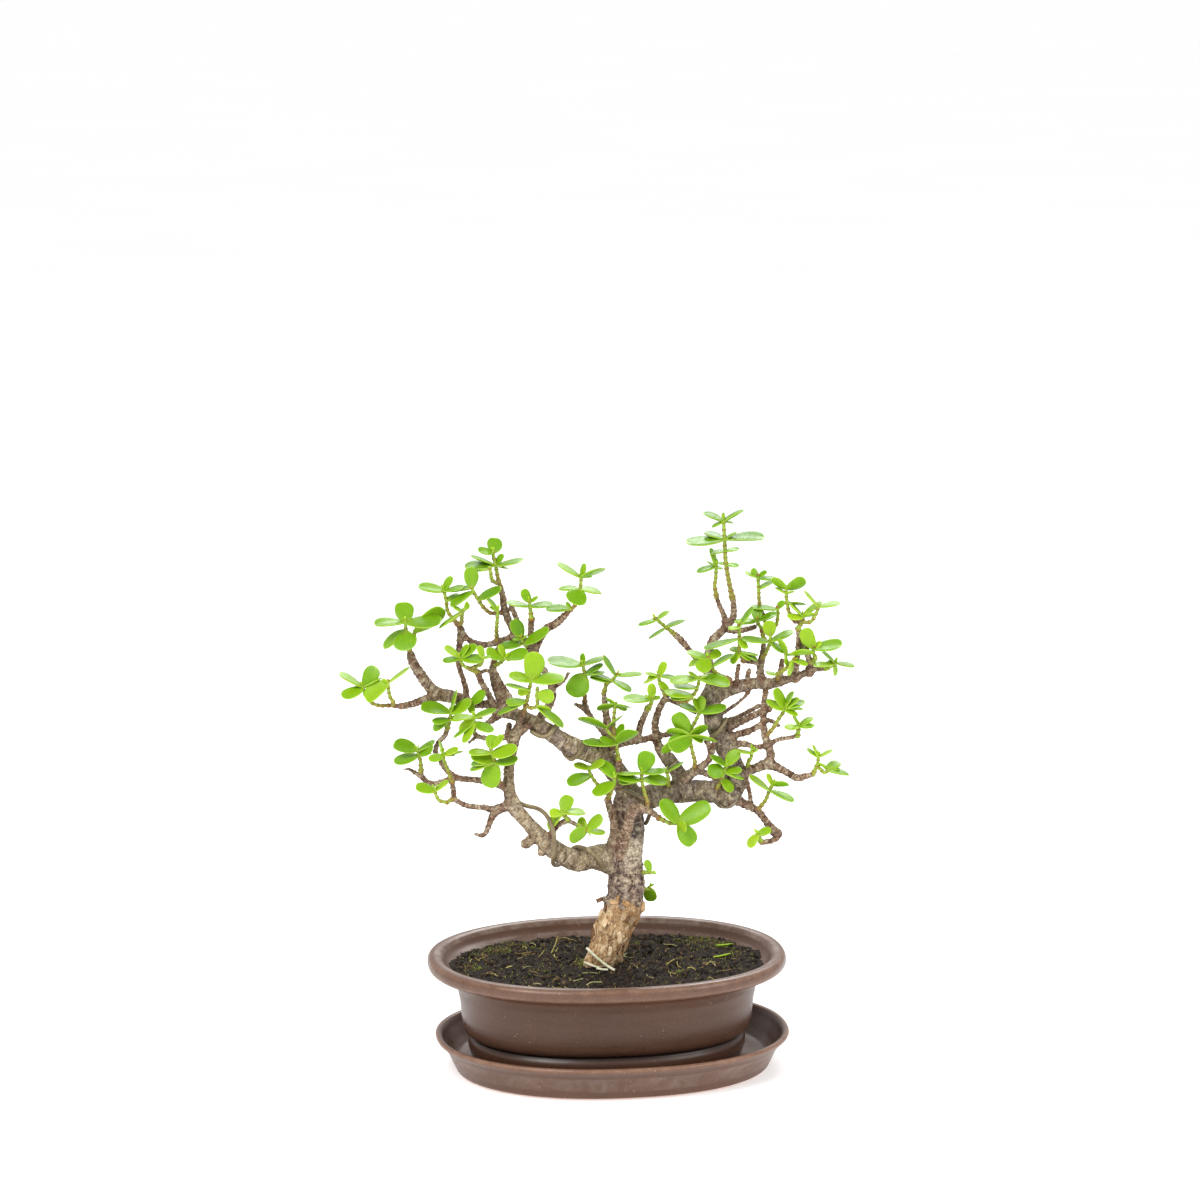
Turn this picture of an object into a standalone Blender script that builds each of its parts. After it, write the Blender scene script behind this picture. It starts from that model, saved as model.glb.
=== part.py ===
"""Dwarf jade bonsai in an oval brown pot on its saucer. Metres, +Z up.

The origin is the middle of the saucer's flat underside and +X runs along the pot.
Tables are in millimetres: x to the right and z up as the tree is looked at from
the viewing eye, and depth away from that eye. The tree is turned onto the pot's axes.
"""

import bpy
import bmesh
import math
import random
from mathutils import Matrix, Vector
from mathutils.bvhtree import BVHTree

MM = 0.001

# Viewing eye that the tree tables are seen from, and the turn onto the pot's axes
EYE = Vector((-5.6 * MM, -1600.0 * MM, 504.0 * MM))
TREE_TURN = math.radians(-7.9)
TREE_DEPTH = -5.0
LOOK = Vector((0.0, -0.984, 0.18))

# Oval plan shared by the pot, the soil and the saucer
OVAL_POWER = 2.18
OVAL_SEGMENTS = 28
OVAL_INSET = 17.6
OVAL_CORE = 45.0
POT_SHIFT_X = -2.5

# Fits and clearances
POT_LIFT = 0.3
TRUNK_GAP = 0.45
NODE_GAP = 0.3
STUB_LENGTH = 1.2
STUB_GAP = 0.35
SMALLEST_LEAF = 5.3
LINE_TOLERANCE = 0.5

# Shares of the triangles tried where a union leaves needless slivers along its seams
SEAM_SHARES = (0.7, 0.72, 0.74, 0.76, 0.78, 0.8, 0.82, 0.84, 0.86, 0.88, 0.9, 0.93, 0.96)

# Pot, soil and saucer heights
SAUCER_FLOOR = 4.3
POT_BASE = SAUCER_FLOOR + POT_LIFT
POT_FLOOR = 9.0
SOIL_BASE = POT_FLOOR + 0.3
SOIL_EDGE = 47.2
SOIL_CROWN = 0.8
SOIL_RELIEF = 0.45
DRAIN_RADIUS = 5.0
DRAIN_X = 26.0

# Leaves and wires
LEAF_FOOT = 0.4
LEAF_ASPECT = 0.72
WIRE_RADIUS = 1.0
TIE_RADIUS = 0.75

# Outer and inner profile of the pot wall, from the foot up, over the rim and down
POT_WALL = [
    (57.5, POT_BASE), (60.9, 7.0), (62.3, 11.0), (62.0, 14.0), (61.0, 16.2), (63.3, 17.8),
    (64.7, 21.5), (65.8, 32.0), (67.0, 37.8),
    (69.0, 42.4), (71.0, 44.6), (74.0, 45.6), (78.3, 45.8), (80.0, 47.4), (80.2, 50.0),
    (79.2, 51.9), (77.0, 52.4), (74.5, 52.0), (72.0, 48.5), (64.0, 43.0), (61.5, 39.0),
    (59.5, 16.0), (57.0, 10.5), (50.0, POT_FLOOR),
]

# Saucer: flat underside, flared wall, rolled rim and the floor the pot stands on
SAUCER_WALL = [
    (66.0, 0.0), (70.2, 0.6), (71.5, 3.5), (74.0, 9.0), (76.5, 12.7), (79.1, 14.6),
    (79.3, 15.8), (78.4, 16.7), (77.0, 16.5), (76.0, 15.4), (75.0, 13.0), (72.0, 7.5),
    (69.5, 4.8), (66.0, SAUCER_FLOOR),
]

# Soil: it follows the inner wall of the pot with a small gap
SOIL_WALL = [
    (50.0, SOIL_BASE), (56.4, 10.8), (59.1, 16.2), (61.1, 39.2), (63.6, 43.4), (69.0, SOIL_EDGE),
]
SOIL_RINGS = (54.0, 37.0, 19.0)

# Woody parts: x, z, depth, radius
WOOD = {
    "trunk": [
        (-4.5, 36, 0, 7.0), (-5.5, 43, 0, 6.9), (-4.8, 48, 0, 6.9), (-2.6, 53, 0, 7.3),
        (-0.5, 58, 0, 7.6), (0.5, 63, 0, 7.6), (2.2, 67, 0, 7.3), (3.9, 70.5, 0, 8.0),
        (5, 74, 0, 8.7), (5.8, 78, 0, 7.8), (6, 84, 0, 8.2), (6, 90, 0, 7.5),
        (6.5, 96, 0, 6.6), (7.3, 102, 0, 6.4), (7.8, 108, 0, 6.3), (7.5, 115, 0, 6.1),
        (7.5, 120, 0, 6.2), (6.2, 126, 0, 5.2), (2.6, 132.5, 0, 4.8), (-2, 138, -1, 4.8),
        (-7, 142, -2, 4.7), (-13, 143.7, -4, 4.3), (-19, 146, -6, 4.3), (-25, 150, -7, 3.7),
        (-31, 154, -6, 3.5), (-37.5, 157.5, -4, 3.1), (-44, 160.3, -1, 2.5), (-50, 160, 2, 2.0),
        (-53, 157.6, 3, 1.6), (-56.5, 155.2, 4, 1.1),
    ],
    "root_left": [(-4, 52, -2, 4.5), (-9, 46.5, -4, 3.6), (-11.5, 42, -5, 2.6)],
    "root_right": [(-1, 52, 2, 4.0), (2, 46, 4, 3.0), (4, 41.5, 5, 2.0)],
    "left_low": [
        (2, 94, 0, 6.3), (-4, 95, -4, 5.7), (-10, 95, -8, 4.8), (-15, 93.7, -10, 4.8),
        (-21, 95.5, -12, 4.4), (-25.5, 98.5, -13, 4.2), (-29.5, 102, -14, 3.8),
        (-34.5, 107.5, -14, 3.2), (-39.5, 113, -13, 3.0), (-43.8, 119, -11, 3.4),
        (-45.7, 126, -10, 2.6), (-45.9, 133, -9, 2.3), (-45.2, 140, -8, 2.3),
        (-43.6, 147, -7, 2.3), (-42.3, 152.5, -7, 2.4),
    ],
    "left_cut_knob": [(-33, 105.5, -14, 2.2), (-38.3, 101.5, -15, 2.2)],
    "left_round_stub": [(-29.5, 102, -14, 1.8), (-31.5, 97.5, -15, 1.8)],
    "fork_a": [
        (-44, 120, -11, 2.6), (-48.5, 118, -12, 2.1), (-53, 117.2, -13, 1.5),
        (-58, 118, -14, 1.3), (-63, 118.5, -14, 1.2), (-67, 119.8, -13, 1.2),
        (-70, 122, -12, 1.2), (-70.4, 126, -11, 1.2), (-71, 129.5, -10, 1.1),
    ],
    "fork_b": [
        (-48.5, 118, -12, 1.8), (-53, 114.3, -14, 1.6), (-54.7, 110, -16, 1.3),
        (-57.5, 105.3, -17, 1.1), (-60.8, 105.8, -18, 0.8),
    ],
    "grey_left": [
        (-45.9, 127, -10, 2.0), (-50, 128.3, -5, 1.7), (-56.5, 130, 2, 1.5),
        (-63, 130.7, 5, 1.4), (-69, 131.6, 7, 1.4), (-72.5, 134, 8, 1.3), (-76, 139, 8, 1.2),
        (-78.2, 143.7, 6, 1.1), (-76.8, 147.5, 4, 1.1), (-74, 150.5, 2, 1.1),
        (-72.9, 153.5, 1, 1.1),
    ],
    "far_left": [
        (-70, 131.7, 7, 1.3), (-75, 129.8, 8, 1.2), (-80, 128.8, 8, 1.2),
        (-84, 131.3, 7, 1.2), (-84.6, 134.3, 6, 1.1),
    ],
    "far_left_tip": [
        (-83.6, 131.2, 7, 1.0), (-87.5, 133.8, 7, 1.0), (-90.2, 135.3, 7, 0.7),
        (-92.6, 134.8, 7, 0.45),
    ],
    "riser_left_a": [(-42.3, 152, -7, 1.9), (-41, 156.5, -8, 1.6), (-39.3, 160.5, -10, 1.3)],
    "riser_left_b": [(-42, 151.5, -7, 1.6), (-39.2, 153, -9, 1.4), (-36.8, 155.3, -11, 1.3)],
    "riser_left_c": [(-44, 146, -7, 1.5), (-46, 150.5, -5, 1.4), (-45.6, 155.3, -4, 1.3)],
    "side_knob": [
        (-46, 150, -5, 1.3), (-50, 149.3, -7, 1.2), (-55, 149.2, -9, 1.2),
        (-59.5, 150.3, -11, 1.1), (-61.5, 152.3, -12, 1.0),
    ],
    "side_stub": [(-60, 150.2, -11, 0.8), (-63.4, 147.2, -12, 0.7)],
    "mid_grey": [
        (-45, 160.5, -1, 2.0), (-48.5, 165, 3, 2.0), (-50.3, 169.5, 4, 2.0),
        (-51.8, 174.5, 5, 1.9), (-52.8, 179.5, 5, 1.7), (-52, 184, 6, 1.5),
        (-50.7, 188, 8, 1.3), (-48, 193, 12, 1.3),
    ],
    "mid_grey_b": [
        (-43, 160.3, -1, 1.5), (-44.8, 166, 3, 1.6), (-47.7, 171, 6, 1.5),
        (-50.5, 176, 6, 1.5), (-52.5, 180, 5, 1.4),
    ],
    "mid_brown": [
        (-51.5, 159.5, 2, 1.5), (-51.6, 163, 1, 1.5), (-53.8, 167.3, -1, 1.4),
        (-55.7, 171, -2, 1.4), (-58, 175, -3, 1.4), (-59.5, 179, -3, 1.3),
    ],
    "mid_cross": [(-59, 178.3, -3, 0.9), (-56, 179.6, 0, 0.9), (-52.7, 178.7, 5, 0.9)],
    "left_arm": [
        (-50, 160.3, 2, 1.9), (-54, 164.3, 3, 1.8), (-60, 164.7, 4, 1.9), (-66, 166.6, 5, 2.4),
        (-72, 168.2, 6, 2.9), (-77, 169.3, 6, 2.8), (-81, 173, 5, 2.5), (-84.5, 178, 4, 2.3),
        (-87.5, 183, 3, 2.1), (-88.8, 187, 2, 1.9),
    ],
    "left_out": [
        (-74, 168.5, 6, 2.0), (-80, 167.6, 4, 1.8), (-87, 165.2, 0, 1.6), (-92, 163.8, -2, 1.5),
        (-93.5, 163.7, -2.5, 1.4),
    ],
    "left_twig": [
        (-64.5, 166, 5, 1.3), (-64.5, 171, 7, 1.3), (-66, 176.5, 9, 1.2), (-68, 184, 10, 1.2),
        (-67.4, 190, 10, 1.3), (-66.9, 193.5, 10, 1.6), (-66.7, 197, 10, 1.6),
    ],
    "top_horizontal": [
        (-36, 189.5, 10, 1.7), (-39, 193.3, 11, 1.5), (-43, 194.7, 12, 1.5),
        (-48, 193.3, 12, 1.5), (-55, 191.3, 12, 1.4), (-60, 191.8, 11, 1.4),
        (-63.5, 193.8, 10, 1.3), (-66.5, 197, 10, 1.7), (-66.8, 198.5, 10, 1.6),
    ],
    "upright_a": [
        (-42.5, 194.3, 12, 1.6), (-44.3, 199, 13, 1.6), (-46.3, 203.5, 14, 1.6),
        (-47.6, 208, 15, 1.6), (-48.2, 213, 16, 1.4), (-49, 216.3, 17, 1.2),
    ],
    "upright_b": [
        (-40, 194, 12, 1.2), (-41.5, 201, 13, 1.1), (-43, 205, 13, 1.2), (-44.5, 208.7, 13, 1.2),
    ],
    "right_rise": [
        (-33, 156, -5, 2.0), (-30.5, 160.5, -1, 1.9), (-28, 164, 2, 1.8), (-26.6, 169, 4, 1.8),
        (-27.2, 174, 6, 1.7), (-29.5, 178.5, 8, 1.6), (-32, 182.5, 9, 1.5), (-34.3, 187, 10, 1.6),
        (-35.5, 191, 9, 1.4), (-35.9, 197, 7, 1.4), (-35.6, 203, 5, 1.4),
    ],
    "right_rise_out": [
        (-34.5, 189, 10, 1.8), (-32, 194, 8, 1.8), (-29, 198.5, 5, 1.8), (-25, 200.7, 1, 1.7),
        (-21, 204.3, -2, 1.5),
    ],
    "knob_twig": [
        (-26.8, 172.5, 5, 1.1), (-23.5, 173.5, 3, 0.9), (-21, 175.8, 2, 0.8),
        (-19.6, 178.5, 1, 0.8),
    ],
    "centre_back": [
        (-1.5, 145, -1, 1.5), (-3, 150, 2, 1.4), (-7, 155.5, 6, 1.3), (-10.5, 160.3, 10, 1.2),
        (-12.3, 165, 13, 1.2),
    ],
    "centre_back_stub": [(-11, 161, 10.5, 1.1), (-14, 163.4, 11, 1.1), (-16.3, 164.6, 11, 0.9)],
    "centre_up": [
        (0, 145, -1, 1.9), (-0.7, 151, 4, 1.8), (-2.4, 157, 7, 1.7), (-3.3, 163, 9, 1.5),
        (-3.9, 169.5, 10, 1.2),
    ],
    "front_twig": [(4, 127, -2, 1.9), (3.2, 132, -7, 1.7), (2.9, 136, -7, 1.6), (2.6, 139.5, -6, 1.4)],
    "left_fork": [
        (3, 96, -3, 2.6), (-0.2, 100, -5, 2.4), (1, 107, -5, 2.2), (0.3, 113, -5, 1.9),
        (-1.2, 118, -5, 1.7), (-2.2, 121.3, -5, 1.6),
    ],
    "front_branch": [
        (3, 97, -5, 2.6), (4.7, 103, -7, 2.5), (6.6, 109, -8, 2.3), (8.4, 115, -9, 2.2),
        (11, 117.6, -9.5, 2.0), (15, 116.8, -9.5, 1.8), (18.5, 114.8, -9, 1.3),
        (20.7, 113, -9, 1.1),
    ],
    "low_twig": [
        (-28.5, 101, -14, 1.8), (-27.3, 105.5, -15, 1.6), (-25, 109.3, -15, 1.4),
        (-22, 111.2, -15, 1.2), (-19.5, 111.8, -15, 1.1), (-17.3, 110.8, -15, 1.0),
        (-15.3, 109.7, -15, 0.9),
    ],
    "cross_twig": [
        (-5, 143.5, -2, 2.0), (1, 146, -1, 1.8), (6, 147.3, 0, 1.6), (12, 148.3, 2, 1.5),
        (18, 149.8, 3, 1.5), (24, 151, 2, 1.3), (31.5, 151.9, 0, 1.1),
    ],
    "cross_riser": [(10.8, 148.2, 2, 1.5), (12.3, 155.5, 0, 1.5), (14, 159.5, -2, 1.3),
        (15.5, 162.8, -3, 1.2)],
    "centre_right": [
        (28, 126, 3, 3.6), (30, 130.5, 4, 3.4), (28, 135, 4, 3.3), (25, 139.3, 3, 3.1),
        (21.8, 143, 2, 2.5), (19.9, 146.5, 2, 2.0), (19.3, 150.5, 2, 1.7), (18.6, 155.5, 1, 1.6),
        (20, 161, 0, 1.5), (22, 165.5, -1, 1.5), (23.6, 168, -1, 1.4),
    ],
    "centre_right_twig": [(23, 167, -1, 0.9), (27.5, 165.3, 2, 0.9), (32, 163.1, 3, 0.9),
        (36.3, 160.7, 4, 0.8)],
    "right_main": [
        (7.5, 120, 0, 5.8), (14, 122, 2, 5.2), (21, 124, 3, 5.0), (29, 124.8, 3, 4.8),
        (37, 125.5, 2, 4.8), (45, 125, 0, 4.8), (52, 125.5, -1, 5.0),
    ],
    "riser": [
        (50, 124, -1, 5.2), (54.5, 131, -1, 4.6), (53, 138, 0, 4.3), (50.5, 144, 1, 4.6),
        (48, 150, 2, 4.6), (45, 156, 2, 4.2), (43.5, 163, 3, 3.9), (43, 169, 3, 3.7),
    ],
    "riser_cut_knob": [(44.3, 157, 1, 3.3), (44, 157, -4, 3.2)],
    "right_top": [
        (43, 167.5, 3, 3.7), (50, 171, 3, 3.2), (57, 173, 2, 2.8), (64, 174, 1, 2.5),
        (70, 174, 0, 2.3), (76, 175.5, -1, 1.9), (82, 177.5, -2, 1.6), (88, 180, -3, 1.2),
        (93.5, 180.5, -3, 1.0),
    ],
    "right_low": [
        (54, 122, -1, 2.2), (60, 118.5, -2, 1.7), (64, 116.5, -3, 1.7), (68, 111.5, -4, 1.6),
        (71, 107.5, -4, 2.2), (73.2, 105.8, -4, 2.0), (72, 103.3, -5, 1.2), (69.5, 102.5, -6, 1.3),
        (66, 102, -6, 1.2),
    ],
    "right_mid": [
        (54, 133, -1, 3.0), (58, 134, -3, 2.4), (63, 135.7, -5, 2.0), (68.5, 137.5, -6, 2.3),
        (73, 136, -7, 1.8), (78, 133.2, -8, 1.6), (82, 131.3, -9, 1.6), (86, 132.3, -9, 1.3),
        (88.5, 133, -9, 1.1),
    ],
    "right_vertical": [
        (68.5, 137.5, -6, 1.9), (69.8, 142, -5, 1.8), (68.3, 146.5, -4, 1.7), (67, 151, -3, 1.6),
        (66.5, 158, -2, 1.4), (66.6, 165, -1, 1.3), (67.5, 172, 0, 1.3),
    ],
    "right_diagonal": [(48, 150, 2, 2.2), (52, 154.5, 2, 1.9), (57, 157, 1, 1.6), (63, 160, 0, 1.5),
        (69, 162.5, -1, 1.4)],
    "right_diagonal_b": [(50, 148, 1, 2.0), (55, 151, -1, 1.6), (60, 152.5, -3, 1.5),
        (65, 155.3, -3, 1.3)],
    "right_diagonal_c": [(52, 146, 1, 1.6), (58, 146.8, -1, 1.4), (63, 145.3, -3, 1.2),
        (68, 146, -4, 1.2)],
    "right_dark_twig": [(45.5, 156.5, 3, 1.0), (50, 157.5, 4, 1.0), (55, 158.8, 5, 1.0),
        (60, 161.5, 5, 1.0), (64.5, 164, 5, 1.0)],
    "right_red_twig": [(45.5, 159, 3, 1.0), (50.5, 162, 3, 0.9), (56, 166, 2, 0.8), (60, 170, 1, 0.8)],
    "right_cut_stub": [(66.8, 157.5, -2, 1.0), (70, 157, 1, 1.0), (73, 155, 2, 1.0)],
    "orange_twig": [(69, 146.5, -4, 1.2), (74, 149, -6, 1.0), (78, 149.5, -7, 1.0),
        (81.5, 150.5, -7, 0.9)],
    "thin_down": [(58.5, 133.5, -3, 1.0), (60.3, 125.5, -3, 1.0), (61.5, 118.2, -2.5, 1.0)],
    "lower_twig": [
        (30, 129, 3, 2.8), (33, 132, 0, 2.3), (37, 135, -2, 2.0), (40, 137, -3, 1.6),
        (43, 140.5, -4, 1.4), (43, 144, -4, 1.3), (41.3, 148, -4, 1.2),
    ],
    "lower_twig_b": [(37, 135, -2, 1.4), (42, 133, -1, 1.4), (46, 131.5, 0, 1.4), (51, 130, 0, 1.4)],
    "lower_twig_c": [(43.2, 141, -4, 0.8), (45, 145, -4, 0.8), (44.3, 149, -4, 0.8)],
    "top_left_out": [
        (45, 175.5, 8, 1.0), (42.5, 177.5, 10, 1.2), (40, 180, 13, 1.3), (37, 184.5, 16, 1.3),
        (33.5, 189, 18, 1.3), (30, 193.3, 20, 1.5), (27.3, 195.8, 21, 1.4),
    ],
    "top_riser": [
        (43, 168, 3, 3.2), (43.3, 177, 9, 2.1), (42.3, 183.5, 13, 1.9), (42.2, 189, 15, 1.8),
        (44, 193.5, 17, 1.8), (47, 196.5, 18, 1.8), (49.8, 199.5, 19, 1.7), (51.3, 201.5, 19, 1.5),
    ],
    "top_twig_a": [(50.5, 200.5, 19, 1.6), (52.6, 203, 19, 1.5), (53, 207, 19, 1.4),
        (52.4, 212, 19, 1.3)],
    "top_twig_b": [(49.5, 199.8, 19, 1.4), (48.6, 204.5, 20, 1.2), (46.8, 208.5, 21, 1.1),
        (45.4, 212.5, 21, 1.0)],
    "top_stub": [(49.5, 198.5, 19, 1.3), (53, 197.5, 16, 1.3), (58, 198, 13, 1.2),
        (62.3, 199.2, 11, 1.1)],
    "upright_1": [(66, 174.5, 0, 1.8), (64.8, 180, 2, 1.7), (65.3, 184, 3, 1.5), (66, 189, 4, 1.2),
        (66.3, 193.5, 5, 1.1)],
    "upright_1_stub": [(65, 183, 3, 1.2), (61, 183.8, 1, 1.2), (57.5, 184, -1, 1.1)],
    "upright_2": [(54.5, 172.5, 2, 1.2), (54.6, 177, 0, 1.1), (55.3, 182, -2, 1.0)],
    "upright_3": [(60, 173.5, 1.5, 1.1), (59.3, 177, -1, 1.1), (60, 179.8, -2, 1.1)],
    "upright_4": [(80.3, 176.5, -2, 1.8), (80.6, 182, -5, 1.4), (81.2, 189, -8, 1.3),
        (81.5, 195, -10, 1.1), (81.4, 198.5, -10.5, 1.1)],
    "upright_5": [(86.5, 178.8, -3, 1.6), (86.3, 184, -5, 1.4), (84.5, 190, -7, 1.3),
        (83.6, 193, -8, 1.0)],
    "upright_6": [(74, 175.5, 0, 1.2), (73.8, 180, 3, 1.2), (74.3, 183.8, 5, 1.2)],
}

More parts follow.
